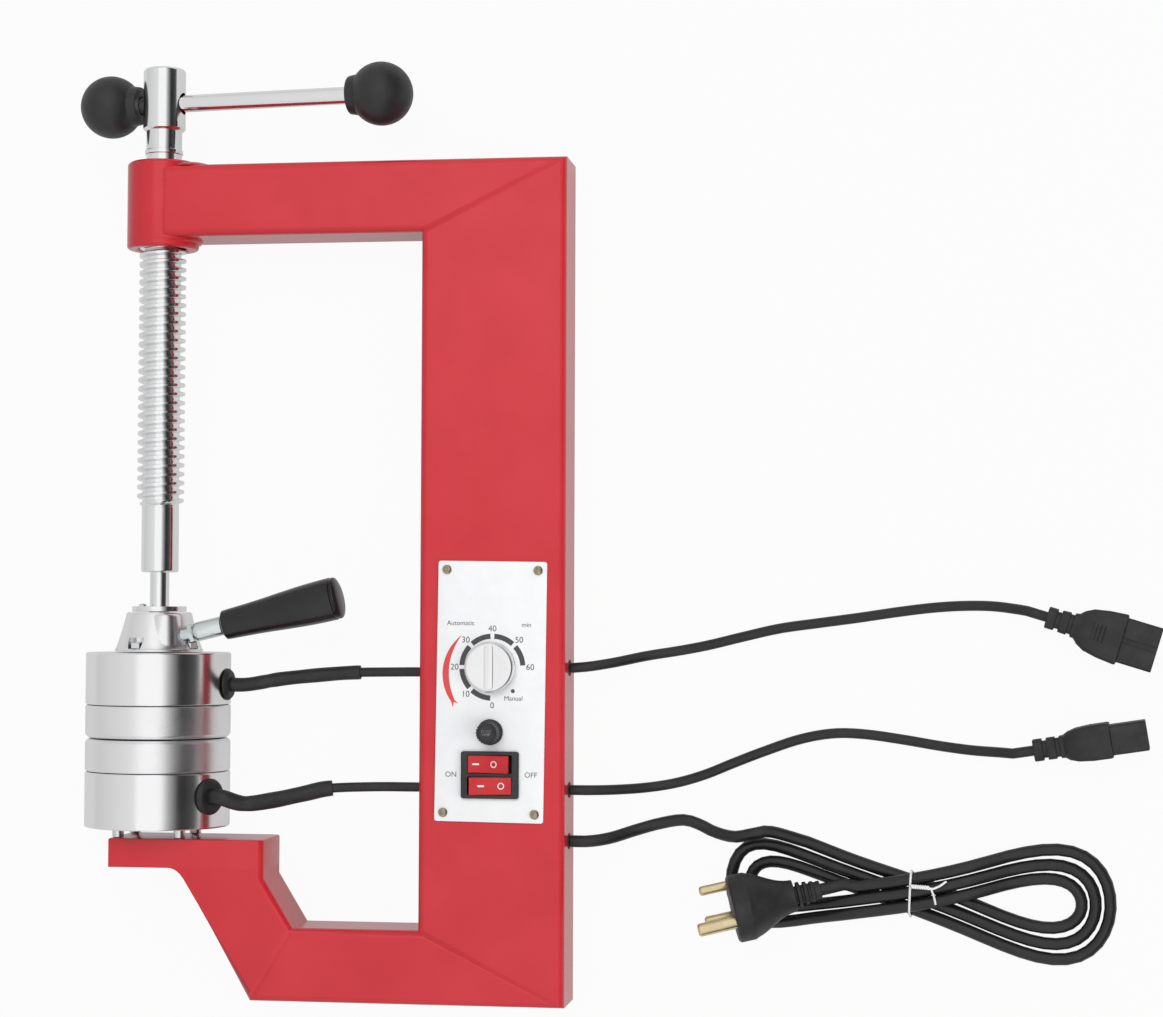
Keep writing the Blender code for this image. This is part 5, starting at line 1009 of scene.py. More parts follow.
# The bar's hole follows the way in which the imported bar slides
slide_way = -Vector(joints["tommy_bar_slide"]["axis"])
bar_turn = Matrix.Rotation(-math.atan2(slide_way.dot(machine_out), slide_way.dot(machine_right)), 3, "Y")
bar_place = Vector((-SCREW_REACH, BAR_HEIGHT, 0))
BAR_ROOM = 0.0003
RIM_BEVEL = 0.0022
HOLE_REACH = 0.02
hole = placed(along_x(cylinder(BAR_RADIUS + BAR_ROOM, -HOLE_REACH, HOLE_REACH, 48)), bar_place, bar_turn)
rims = []
for side in (-1, 1):
    reach = math.sqrt(HEAD_RADIUS**2 - BAR_RADIUS**2)
    cone = [(0, 0), (BAR_RADIUS, 0), (BAR_RADIUS + RIM_BEVEL, RIM_BEVEL), (0, RIM_BEVEL)]
    cone_turn = bar_turn @ Matrix.Rotation(side * math.pi / 2, 3, "Y")
    rim_place = bar_place + bar_turn @ Vector((side * (reach - 0.0004), 0, 0))
    rims.append(placed(spun(cone, 48), rim_place, cone_turn))
finish_piece("screw_head", carved(screw_head, [hole, *rims]), "chrome", "lead_screw")

# %% [markdown]
# The cross bar slides in the head's hole and lies to one side, as it was left. Each end carries a
# black ball knob with a short collar. A ball and its collar are one turned profile: an arc with a
# small fillet where the collar meets it.

# %% Cross bar and balls
BALL_RADIUS = 0.0175
BALL_SPAN = 0.1612
BALL_COLLAR = 0.0105
BALL_COLLAR_REACH = 0.0184
bar_low, bar_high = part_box("tommy_bar")
bar_middle = ((bar_low + bar_high) / 2 - machine @ bar_place).dot(slide_way)
BALL_SOCKET = 0.005
BAR_SHORT = 0.006
BALL_EDGE = 0.0004
MOUTH_EDGE = 0.0006
MOUTH_DEPTH = 0.001
ARC_STEPS = 40
bar_half = BALL_SPAN / 2 - BAR_SHORT
bar_profile = [(0, -bar_half), (BAR_RADIUS, -bar_half), (BAR_RADIUS, bar_half), (0, bar_half)]
bar = along_x(spun(softened(bar_profile, 0.0004), 64), (bar_middle, 0, 0))
placed(bar, bar_place, bar_turn)
finish_piece("cross_bar", bar, "chrome", "tommy_bar", ("tommy_bar",))
for name, side in (("left", -1), ("right", 1)):
    start = math.asin(BALL_COLLAR / BALL_RADIUS)
    arc = [start + (math.pi - start) * step / ARC_STEPS for step in range(1, ARC_STEPS)]
    ball_profile = [(0, -BALL_SOCKET), (BAR_RADIUS, -BALL_SOCKET)]
    ball_profile += [(BAR_RADIUS, MOUTH_DEPTH - BALL_COLLAR_REACH)]
    ball_profile += [(BAR_RADIUS + MOUTH_EDGE, -BALL_COLLAR_REACH)]
    ball_profile += [(BALL_COLLAR - BALL_EDGE, -BALL_COLLAR_REACH)]
    ball_profile += [(BALL_COLLAR, BALL_EDGE - BALL_COLLAR_REACH)]
    ball_profile += [(BALL_RADIUS * math.sin(a), -BALL_RADIUS * math.cos(a)) for a in arc]
    ball = spun([*ball_profile, (0, BALL_RADIUS)])
    placed(ball, (bar_middle + side * BALL_SPAN / 2, 0, 0), Matrix.Rotation(side * math.pi / 2, 3, "Y"))
    placed(ball, bar_place, bar_turn)
    finish_piece(f"{name}_ball", ball, "ball", "tommy_bar", (f"ball_knob_{name}",))

# %% [markdown]
# Two heated blocks press the patch between them. Each is a turned cup that holds the heating ring,
# closed by a thick working disc. Both are spun from a profile. Where cup and disc meet, the small
# chamfers on both make the dark line that shows the joint, and the working faces have a wider lip.

# %% Heated blocks
PARTING = 0.142
BLOCK_RADIUS = 0.040
DISC_HEIGHT = 0.0182
CUP_HEIGHT = 0.029
CUP_WALL = 0.004
CUP_LIP = 0.0019
GAP = 0.0003
EDGE = 0.0006
LIP = 0.0018
screw_axis = Vector((-SCREW_REACH, 0, 0))


def block_disc(base, top, lower_edge, upper_edge):
    profile = [
        (0, base),
        (BLOCK_RADIUS - lower_edge, base),
        (BLOCK_RADIUS, base + lower_edge),
        (BLOCK_RADIUS, top - upper_edge),
        (BLOCK_RADIUS - upper_edge, top),
        (0, top),
    ]
    return along_y(spun(softened(profile, 0.0006), 144), screw_axis)


def block_cup(closed_end, open_end):
    """A cup from its closed end to its open end, either way up."""
    way = 1 if open_end > closed_end else -1
    inner_radius = BLOCK_RADIUS - CUP_WALL
    profile = [
        (0, closed_end),
        (BLOCK_RADIUS - EDGE, closed_end),
        (BLOCK_RADIUS, closed_end + EDGE * way),
        (BLOCK_RADIUS, open_end - EDGE * way),
        (BLOCK_RADIUS - EDGE, open_end),
        (inner_radius, open_end),
        (inner_radius, closed_end + CUP_WALL * way),
        (0, closed_end + CUP_WALL * way),
    ]
    return along_y(spun(softened(profile, 0.0004), 144), screw_axis)


lower_disc = block_disc(PARTING - DISC_HEIGHT, PARTING - GAP, EDGE, LIP)
finish_piece("lower_disc", lower_disc, "satin", "frame", ("lower_platen",))
upper_disc = block_disc(PARTING + GAP, PARTING + DISC_HEIGHT, LIP, EDGE)
finish_piece("upper_disc", upper_disc, "satin", "press_head", ("upper_platen",))
lower_cup_base = PARTING - DISC_HEIGHT - CUP_HEIGHT
upper_cup_top = PARTING + DISC_HEIGHT + CUP_HEIGHT
lower_cup = block_cup(lower_cup_base - CUP_LIP, lower_cup_base + CUP_HEIGHT - GAP)
finish_piece("lower_cup", lower_cup, "polished", "frame", ("lower_heater_housing",))
upper_cup = block_cup(upper_cup_top, upper_cup_top - CUP_HEIGHT + GAP)
finish_piece("upper_cup", upper_cup, "polished", "press_head", ("upper_heater_housing",))

# %% [markdown]
# Four studs hold the lower block a little above the shelf, so that the heat stays in it. Each has a
# shoulder with a broken edge.

# %% Shelf studs
STUD_SPREAD_X = 0.0175
STUD_SPREAD_Z = 0.015
STUD_RADIUS = 0.002
STUD_SHOULDER = 0.0032
STUD_FOOT = 0.003
STUD_REACH = 0.008
number = 0
for side in (-1, 1):
    for end in (-1, 1):
        number += 1
        stud_top = lower_cup_base - CUP_LIP - GAP
        foot, seat, end_height = shelf_base + STUD_FOOT, SHELF_TOP + GAP, lower_cup_base + STUD_REACH
        stud_profile = [(0, foot), (STUD_RADIUS, foot), (STUD_RADIUS, seat), (STUD_SHOULDER, seat)]
        stud_profile += [(STUD_SHOULDER, stud_top), (STUD_RADIUS, stud_top), (STUD_RADIUS, end_height)]
        stud_profile.append((0, end_height))
        place = screw_axis + Vector((side * STUD_SPREAD_X, 0, end * STUD_SPREAD_Z))
        stud = along_y(spun(softened(stud_profile, 0.0003), 40), place)
        finish_piece(f"stud_{number}", stud, "zinc", "frame", (f"shelf_stud_{number}",))

# %% [markdown]
# The screw pushes the upper block through a swivel: its flange turns in a pocket of a cast cone,
# which is bolted to the block. The cone is spun with a hollow, flared side, as castings have. A
# round lobe at the front takes the lever, and pockets give room to the four bolt heads. The lobe is
# joined and the pockets are cut with Booleans, which keeps the crisp lines where machining met the
# casting.

# %% Swivel casting
CASTING_BASE = upper_cup_top + GAP * 2
CASTING_TOP = CASTING_BASE + 0.0218
PAD_RADIUS = 0.0243
PAD_TOP = CASTING_BASE + 0.0015
CONE_LOWER = 0.0226
CONE_UPPER = 0.018
CONE_EDGE = 0.0008
LOBE_CIRCLE = 0.0138
LOBE_TURN = math.radians(33)
LOBE_FOOT = 0.0084
LOBE_SWELL = 0.0095
LOBE_NARROW = 0.008
LOBE_EDGE = 0.001
BOLT_CIRCLE = 0.0202
BOLT_TURN = math.radians(-18)
LEVER_RISE = math.radians(13.5)
LEVER_SEAT = 0.0128
SEAT_CUT = LEVER_SEAT + 0.0007
LEVER_FORWARD = 0.010
ROUND_NUT = 0.0056
WELL = 0.0051
WELL_DEPTH = 0.0062


def round_axis(radius, turn, height=0.0):
    """A place round the screw, counted from the front towards the right."""
    return screw_axis + Vector((radius * math.sin(turn), height, radius * math.cos(turn)))


FLARE_STEPS = 12
flare = []
for step in range(FLARE_STEPS + 1):
    share = step / FLARE_STEPS
    sweep = (1 - share) ** 2.2
    straight = CONE_LOWER + (CONE_UPPER - CONE_LOWER) * share
    radius = straight + (PAD_RADIUS - CONE_LOWER) * sweep * 0.7
    flare.append((radius, PAD_TOP + (CASTING_TOP - CONE_EDGE - PAD_TOP) * share))
cone_profile = [(0, CASTING_BASE), (PAD_RADIUS, CASTING_BASE), (PAD_RADIUS, PAD_TOP - 0.0004), *flare]
cone_profile += [(CONE_UPPER - CONE_EDGE, CASTING_TOP), (0, CASTING_TOP)]
casting = along_y(spun(cone_profile, 120), screw_axis)
lobe_low, lobe_top = CASTING_BASE + 0.002, CASTING_TOP - 0.001
lobe_profile = [(0, lobe_low), (LOBE_FOOT, lobe_low), (LOBE_SWELL, lobe_low + 0.0012)]
lobe_profile += [(LOBE_NARROW, lobe_top - LOBE_EDGE), (LOBE_NARROW - LOBE_EDGE, lobe_top), (0, lobe_top)]
lobe = along_y(spun(softened(lobe_profile, 0.0008), 64), round_axis(LOBE_CIRCLE, LOBE_TURN))
casting = carved(casting, [lobe], "UNION")
lever_root = Vector((round_axis(LOBE_CIRCLE, LOBE_TURN).x, CASTING_BASE + 0.0068, LEVER_FORWARD))
lever_turn = Matrix.Rotation(LEVER_RISE, 3, "Z") @ Matrix.Rotation(math.pi / 2, 3, "Y")
pocket_floor, over = CASTING_TOP - 0.0046, CASTING_TOP + 0.004
wells = [along_y(cylinder(FLANGE_RADIUS + GAP, pocket_floor, over, 64), screw_axis)]
bolt_places = [round_axis(BOLT_CIRCLE, BOLT_TURN + math.pi / 2 * number) for number in range(4)]
for place in bolt_places:
    wells.append(along_y(cylinder(WELL, PAD_TOP, PAD_TOP + WELL_DEPTH, 40), place))
seat_radius = ROUND_NUT + 0.0006
wells.append(placed(cylinder(seat_radius, SEAT_CUT, 0.03, 48), lever_root, lever_turn))
casting = carved(casting, wells)
finish_piece("swivel_casting", casting, "satin", "press_head", ("swivel_housing",))

# %% [markdown]
# A flat ring closes the pocket over the screw's flange, and a small cross-head screw keeps it from
# turning. The bolts are hexagons: six steps of a spin, crossed with a cone that breaks their corners.

# %% Cap, cap screw and bolts
CAP_RADIUS = 0.0150
CAP_BASE = CASTING_TOP + GAP
CAP_TOP = CAP_BASE + 0.003
cap_bore = STEM_RADIUS + GAP
cap_profile = [(cap_bore, CAP_BASE), (CAP_RADIUS, CAP_BASE), (CAP_RADIUS, CAP_TOP), (cap_bore, CAP_TOP)]
cap = along_y(spun_ring(cap_profile, 0.0005, TURN_STEPS), screw_axis)
finish_piece("cap_ring", cap, "polished", "press_head", ("swivel_cap",))


def cross_head_screw(head_radius, head_height):
    """A domed screw head on the Z axis with a cross recess."""
    dome = [(0, -0.001), (head_radius, -0.001), (head_radius, head_height * 0.35)]
    for step in range(1, 8):
        angle = math.pi / 2 * step / 8
        dome.append((head_radius * math.cos(angle), head_height * (0.35 + 0.65 * math.sin(angle))))
    dome.append((0, head_height))
    recess_width = head_radius * 0.34
    depth = head_height * 0.8
    long = head_radius * 1.15
    base, over = head_height - depth, head_height + 0.001
    arms = [slab(long, recess_width, base, over), slab(recess_width, long, base, over)]
    return carved(spun(dome, 40), arms)


CAP_SCREW_CIRCLE = 0.0100
CAP_SCREW_TURN = math.radians(-48)
cap_screw_place = round_axis(CAP_SCREW_CIRCLE, CAP_SCREW_TURN, CAP_TOP)
CAP_SCREW_RADIUS = 0.0021
CAP_SCREW_HEIGHT = 0.0015
cap_screw = along_y(cross_head_screw(CAP_SCREW_RADIUS, CAP_SCREW_HEIGHT), cap_screw_place)
finish_piece("cap_screw", cap_screw, "zinc", "press_head")


def hexagon(across, base, top):
    """A hexagon with its corners broken by a cone at the top, on the Z axis."""
    slope = across * 0.16
    wide = across * 1.01
    below = base - 0.001
    cone = [(0, below), (wide, below), (wide, top - slope * 0.7), (across - slope, top), (0, top)]
    return carved(cylinder(across, base, top, 6), [spun(cone, 64)], "INTERSECT")


BOLT_HEAD = 0.0045
BOLT_HEIGHT = 0.0032
for number, place in enumerate(bolt_places, 1):
    bolt = along_y(hexagon(BOLT_HEAD, PAD_TOP + GAP, PAD_TOP + GAP + BOLT_HEIGHT), place)
    finish_piece(f"bolt_head_{number}", bolt, "zinc", "press_head", (f"head_bolt_{number}",))

# %% [markdown]
# The lever keeps the block from turning with the screw. It is a zinc rod, locked by a thin hexagon
# nut, with a long moulded grip that swells towards its end. The grip's profile is a handful of
# stations joined by a smooth curve, with a groove before the rounded end.

# %% Lever
NUT_THICKNESS = 0.0024
NUT_SEAT = LEVER_SEAT + 0.0010
ROD_RADIUS = 0.0053
ROD_STUD = 0.004
ROD_LENGTH = 0.0162
GRIP_LENGTH = 0.0688
GRIP_NARROW = 0.0082
GRIP_WIDE = 0.0118
rod_start = LEVER_SEAT + 0.0038
rod_end = rod_start + ROD_LENGTH
lock_nut = placed(hexagon(ROUND_NUT, NUT_SEAT, NUT_SEAT + NUT_THICKNESS), lever_root, lever_turn)
finish_piece("lock_nut", lock_nut, "zinc", "press_head", ("lever_nut",))
stud_start = LEVER_SEAT - 0.009 + GAP
stud_end = rod_end + 0.04
rod_profile = [(0, stud_start), (ROD_STUD, stud_start), (ROD_STUD, rod_start - 0.0002)]
rod_profile += [(ROD_RADIUS - 0.001, rod_start), (ROD_RADIUS, rod_start + 0.0016), (ROD_RADIUS, rod_end)]
rod_profile += [(ROD_STUD, rod_end), (ROD_STUD, stud_end), (0, stud_end)]
rod = placed(spun(softened(rod_profile, 0.0008), 64), lever_root, lever_turn)
finish_piece("lever_bar", rod, "zinc", "press_head", ("lever_rod",))

GRIP_SHARES = ((0.035, 0.0), (0.3, 0.28), (0.52, 0.62), (0.7, 0.87), (0.86, 0.98), (0.925, 1.0))
grip_start = rod_end + GAP
stations = []
for along, swell in GRIP_SHARES:
    radius = GRIP_NARROW + (GRIP_WIDE - GRIP_NARROW) * swell
    stations.append(Vector((radius, grip_start + GRIP_LENGTH * along, 0)))
body_line = [(point.x, point.y) for point in smooth_route(stations, 0.0015)]
grip_profile = [(0, grip_start), (0.0045, grip_start), (0.0060, grip_start)]
grip_profile.append((GRIP_NARROW - 0.0002, grip_start + 0.0012))
grip_profile += body_line
groove_at = body_line[-1][1]
grip_profile += [(GRIP_WIDE, groove_at + 0.0006), (GRIP_WIDE - 0.0007, groove_at + 0.0011)]
grip_profile += [(GRIP_WIDE - 0.0007, groove_at + 0.0017), (GRIP_WIDE - 0.0002, groove_at + 0.0021)]
grip_end = grip_start + GRIP_LENGTH
round_base = groove_at + 0.0026
for step in range(1, 13):
    angle = math.pi / 2 * step / 12
    radius = (GRIP_WIDE - 0.0003) * math.cos(angle) ** 0.7
    grip_profile.append((radius, round_base + (grip_end - round_base) * math.sin(angle)))
grip = placed(spun(grip_profile, 96), lever_root, lever_turn)
finish_piece("grip", grip, "gloss", "press_head", ("lever_grip",))

# %% [markdown]
# Rubber bushes protect every lead where it goes through metal. All of them are small turned rings
# with a flange, spun and set on their wall. The grommets on the blocks stand square to the round
# cup, so they are turned with it.

# %% Bushes and grommets
UPPER_LEAD_TURN = math.radians(87)
LOWER_LEAD_TURN = math.radians(62)
LEAD_RADIUS = 0.0026
SLEEVE_RADII = {"upper": 0.0039, "lower": 0.0044}


def bush(bore, neck, flange, length, wall, dome):
    """A rubber bush on the Z axis, with a domed flange on the far side of the wall."""
    profile = [(bore, -wall), (neck, -wall), (neck, 0.0001), (flange, 0.0001), (flange, length * 0.4)]
    profile += [(flange - dome, length), (bore, length)]
    return spun_ring(profile, 0.0006, 64)


grommets = {
    "upper": (UPPER_LEAD_TURN, PARTING + DISC_HEIGHT + 0.0115, 0.0088, "press_head"),
    "lower": (LOWER_LEAD_TURN, lower_cup_base + 0.0158, 0.0100, "frame"),
}
for side, (turn, height, flange, body) in grommets.items():
    piece = bush(SLEEVE_RADII[side] - 0.0002, 0.0046, flange, 0.0030, 0.004, 0.0016)
    place = round_axis(BLOCK_RADIUS - 0.0002, turn, height)
    placed(piece, place, Matrix.Rotation(turn, 3, "Y"))
    finish_piece(f"{side}_grommet", piece, "rubber", body, (f"{side}_lead_grommet",))
for name, height in OUTLET_HEIGHTS.items():
    bore = MAINS_CORD_RADIUS if name == "mains" else OUTLET_CORD_RADIUS
    piece = along_x(bush(bore - 0.0001, 0.0042, 0.0043, 0.0005, 0.003, 0.0003), (0, height, 0))
    finish_piece(f"{name}_ring", piece, "rubber", "frame", (f"{name}_bush",))

# %% [markdown]
# The heater leads run from the grommets to the column, half their length in a fabric sleeve that is
# wider than the lead. The lower lead is two plain tubes along one route. The upper lead crosses the
# press's slide, so it is given to neither body and stays where it is drawn. Both sleeves have slight swells
# and creases, as glass sleeving has where it is handled.

# %% Heater leads
LEAD_SPACING = 0.0018
LEAD_SHARES = {
    "upper": ((0.286, 0.44, 0.062), (0.521, 0.80, 0.037), (0.667, 0.94, 0.025), (0.821, 0.98, 0.013)),
    "lower": ((0.17, -0.62, 0.49), (0.3, -0.3, 0.36), (0.44, 0.33, 0.225), (0.556, 0.84, 0.15)),
}
LEAD_SHARES["lower"] += ((0.763, 1.0, 0.05),)
SLEEVE_SHARES = {"upper": 0.67, "lower": 0.565}
CLEARS = {"upper": 0.012, "lower": 0.009}


def lead_route(side):
    """The lead's middle line in the machine's axes, from the grommet to inside the column's wall."""
    turn, height = grommets[side][0], grommets[side][1]
    start = round_axis(BLOCK_RADIUS, turn, height)
    out = Vector((math.sin(turn), 0, math.cos(turn)))
    end = Vector((-COLUMN_WIDTH, LEAD_HEIGHTS[side], 0))
    middle = []
    for along, up, forward in LEAD_SHARES[side]:
        x = start.x + (end.x - start.x) * along
        y = start.y + (end.y - start.y) * up
        middle.append(Vector((x, y, BLOCK_RADIUS * forward)))
    first = [start - out * 0.001, start + out * CLEARS[side]]
    last = [end - Vector((LEAD_RADIUS * 3, 0, 0)), end + Vector((TUBE_WALL, 0, 0))]
    return smooth_route(first + middle + last, LEAD_SPACING)


def swept_tube(points, radius_at, segments=24):
    """A closed tube along the points, with its radius given by the share of the way along."""
    bm = bmesh.new()
    rings = []
    last = len(points) - 1
    side_way = Vector((0, 1, 0))
    for index, point in enumerate(points):
        way = (points[min(index + 1, last)] - points[max(index - 1, 0)]).normalized()
        side_way = (side_way - way * side_way.dot(way)).normalized()
        turn = Matrix((side_way, way.cross(side_way), way)).transposed()
        ring = bmesh.ops.create_circle(bm, segments=segments, radius=radius_at(index / last))["verts"]
        bmesh.ops.transform(bm, matrix=turn.to_4x4(), verts=ring)
        bmesh.ops.translate(bm, verts=ring, vec=point)
        rings.append(set(ring))
    loops_found = [[e for e in bm.edges if e.verts[0] in ring and e.verts[1] in ring] for ring in rings]
    for lower, upper in zip(loops_found, loops_found[1:]):
        bmesh.ops.bridge_loops(bm, edges=lower + upper)
    close_ends(bm)
    return bm


def sleeve_radius(side):
    radius = SLEEVE_RADII[side]

    def at(share):
        wave = math.sin(share * 19 + (1 if side == "upper" else 4)) * 0.018
        crease = -0.05 * math.exp(-(((share - 0.33) / 0.03) ** 2))
        mouth = -0.03 if share > 0.985 else 0
        return radius * (1 + wave + crease + mouth)

    return at


for side in ("upper", "lower"):
    route = lead_route(side)
    split = route[0].x + (route[-1].x - route[0].x) * SLEEVE_SHARES[side]
    sleeved = [point for point in route if point.x <= split]
    sleeve = swept_tube(sleeved, sleeve_radius(side))
    body = None if side == "upper" else "frame"
    name = f"{side}_sleeving"
    sleeve_piece = finish_piece(name, sleeve, "rubber", body, (f"{side}_lead_sleeve",))
    lead_bm = swept_tube(route, lambda share: LEAD_RADIUS)
    lead = finish_piece(f"{side}_heater_flex", lead_bm, "cord", body, (f"{side}_lead",))
    if side == "upper":
        for piece in (sleeve_piece, lead):
            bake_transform(piece)

# %% [markdown]
# The control plate is a thin white sheet with rounded corners, screwed over the opening. Its holes
# are cut so that the switch and the fuse holder really sit in it. Its marks are printed, so they are
# the thinnest meshes here: a film a twentieth of a millimetre thick.

# %% Control plate
PLATE_WIDTH = 0.0595
PLATE_HEIGHT = 0.1405
PLATE_BACK = front + GAP
PLATE_FRONT = PLATE_BACK + 0.001
KNOB_Y = 0.1825
FUSE_Y = 0.1476
SWITCH_Y = 0.1246
SWITCH_WIDTH = 0.0315
SWITCH_HEIGHT = 0.0254
SHAFT_HOLE = 0.0033
FUSE_HOLE = 0.0063
SWITCH_LIP = 0.0006
plate = slab(PLATE_WIDTH, PLATE_HEIGHT, PLATE_BACK, PLATE_FRONT, 0.0014, 0.0002)
# The sheet is screwed on a little askew
plate_turn = Matrix.Rotation(math.radians(-0.7), 3, "Z")
placed(plate, PLATE_CENTRE, plate_turn)
below_plate, above_plate = front - 0.004, front + 0.005
plate_cuts = []
for height, radius in ((KNOB_Y, SHAFT_HOLE), (FUSE_Y, FUSE_HOLE)):
    plate_cuts.append(placed(cylinder(radius, below_plate, above_plate, 48), (PLATE_CENTRE.x, height, 0)))
switch_hole = slab(SWITCH_WIDTH - SWITCH_LIP * 2, SWITCH_HEIGHT - SWITCH_LIP * 2, below_plate, above_plate)
plate_cuts.append(placed(switch_hole, (PLATE_CENTRE.x, SWITCH_Y, 0)))
finish_piece("plate_sheet", carved(plate, plate_cuts), "plate", "frame", ("control_plate",))

PLATE_SCREW_X = 0.0250
PLATE_SCREW_Y = 0.0655
PLATE_SCREW_RADIUS = 0.0025
PLATE_SCREW_HEIGHT = 0.0014
for number, (side, end) in enumerate(((-1, -1), (-1, 1), (1, -1), (1, 1)), 1):
    place = PLATE_CENTRE + plate_turn @ Vector((side * PLATE_SCREW_X, end * PLATE_SCREW_Y, PLATE_FRONT))
    turn = Matrix.Rotation(math.radians(23 * number), 3, "Z")
    plate_screw = placed(cross_head_screw(PLATE_SCREW_RADIUS, PLATE_SCREW_HEIGHT), place, turn)
    finish_piece(f"plate_screw_{number}", plate_screw, "screw brass", "frame")

# %% [markdown]
# Words and numbers are text objects, turned into meshes before their place is applied. Only the
# plain words of such a panel are used: the minutes round the dial, and what the marks mean.

# %% Printed marks
PRINT = 0.00005
DIAL_INNER = 0.0153
DIAL_OUTER = 0.0181
NUMBER_RADIUS = 0.0207
NUMBER_SIZE = 0.0046
WORD_SIZE = 0.0036
SWITCH_WORD_SIZE = 0.0040
# Degrees of the dial in a minute
MINUTE_TURN = 4.5
dial_centre = Vector((PLATE_CENTRE.x, KNOB_Y, PLATE_FRONT))
DIAL_SHIFT = Vector((0.0009, 0, 0))


def printed_word(name, word, size, place, finish="print", turn=0.0, body="frame", thickness=PRINT):
    text = bpy.data.curves.new(name, "FONT")
    text.body = word
    text.size = size
    text.align_x = "CENTER"
    text.align_y = "CENTER"
    text.extrude = thickness
    source = bpy.data.objects.new(name, text)
    bpy.context.scene.collection.objects.link(source)
    shown = source.evaluated_get(bpy.context.evaluated_depsgraph_get())
    bm = bmesh.new()
    bm.from_mesh(bpy.data.meshes.new_from_object(shown))
    bpy.data.objects.remove(source)
    placed(bm, place, Matrix.Rotation(turn, 3, "Z"))
    return finish_piece(name, bm, finish, body)


def dial_place(minutes, radius):
    """A place on the dial: 0 at the bottom, and 60 minutes three quarters of a turn clockwise."""
    angle = math.radians(-90 - minutes * MINUTE_TURN)
    return dial_centre + DIAL_SHIFT + Vector((math.cos(angle), math.sin(angle), 0)) * radius


DIAL_WORDS = {"Automatic": (-0.0165, 0.0237, 0), "min": (0.0195, 0.0228, 0), "Manual": (0.0125, -0.0168, 0)}
SWITCH_WORDS = {"ON": -0.0215, "OFF": 0.0222}
for minutes in range(0, 70, 10):
    printed_word(f"minutes_{minutes}", str(minutes), NUMBER_SIZE, dial_place(minutes, NUMBER_RADIUS))
for word, offset in DIAL_WORDS.items():
    printed_word(f"word_{word.lower()}", word, WORD_SIZE, dial_centre + Vector(offset))
for word, across in SWITCH_WORDS.items():
    place = Vector((PLATE_CENTRE.x + across, SWITCH_Y, PLATE_FRONT))
    printed_word(f"word_{word.lower()}", word, SWITCH_WORD_SIZE, place)

# %% [markdown]
# Between the numbers run six thick arcs. Each is a short line spun round the dial's centre. The
# crescent beside them shows which way the knob winds. Its outline is two arcs that meet in a point,
# with a forked tail.

# %% Dial arcs and crescent
ARC_MINUTES = 10
ARC_GAP = 1.6
for number in range(6):
    bm = bmesh.new()
    ends = [bm.verts.new((DIAL_INNER, 0, 0)), bm.verts.new((DIAL_OUTER, 0, 0))]
    start_angle = math.radians(-90 - (number * ARC_MINUTES + ARC_GAP / 2) * MINUTE_TURN)
    start_turn = Matrix.Rotation(start_angle, 3, "Z")
    bmesh.ops.transform(bm, matrix=start_turn.to_4x4(), verts=ends)
    bmesh.ops.spin(
        bm,
        geom=[*ends, bm.edges.new(ends)],
        cent=(0, 0, 0),
        axis=(0, 0, -1),
        angle=math.radians((ARC_MINUTES - ARC_GAP) * MINUTE_TURN),
        steps=16,
    )
    thickened(bm, PRINT)
    placed(bm, dial_centre + DIAL_SHIFT)
    finish_piece(f"dial_arc_{number + 1}", bm, "print", "frame")
dot = cylinder(0.0011, 0, PRINT, 32)
placed(dot, dial_centre + Vector((0.0122, -0.0128, 0)))
finish_piece("manual_dot", dot, "print", "frame")

CRESCENT_CENTRE = dial_centre + Vector((0.0047, -0.0035, 0))
CRESCENT_RADIUS = 0.0292
CRESCENT_WIDTH = 0.0035
CRESCENT_TAIL = 213.5
CRESCENT_SWEEP = 79
CRESCENT_STEPS = 24
crescent_outer = []
crescent_inner = []
for step in range(CRESCENT_STEPS + 1):
    share = step / CRESCENT_STEPS
    angle = math.radians(CRESCENT_TAIL - CRESCENT_SWEEP * share)
    width = CRESCENT_WIDTH * math.sin(math.pi * (0.16 + 0.84 * share)) ** 0.9
    outer_radius = CRESCENT_RADIUS + width * 0.55
    inner_radius = CRESCENT_RADIUS - width * 0.45
    crescent_outer.append((math.cos(angle) * outer_radius, math.sin(angle) * outer_radius))
    crescent_inner.append((math.cos(angle) * inner_radius, math.sin(angle) * inner_radius))
tail = math.radians(CRESCENT_TAIL + 2.5)
notch = (math.cos(tail - 0.075) * CRESCENT_RADIUS, math.sin(tail - 0.075) * CRESCENT_RADIUS)
outer_tail, inner_tail = CRESCENT_RADIUS + 0.0020, CRESCENT_RADIUS - 0.0016
crescent_outer[0] = (math.cos(tail) * outer_tail, math.sin(tail) * outer_tail)
crescent_inner[0] = (math.cos(tail) * inner_tail, math.sin(tail) * inner_tail)
outline = [notch, *crescent_outer, *reversed(crescent_inner)]
crescent = placed(extruded(outline, 0, PRINT), CRESCENT_CENTRE)
finish_piece("winding_arrow", crescent, "arrow", "frame")

# %% [markdown]
# The timer's knob is turned aluminium with a soft satin face: a narrow skirt, a rounded rim and a
# very low bar across the face to grip. A spin makes the knob and a bevelled slab the bar.

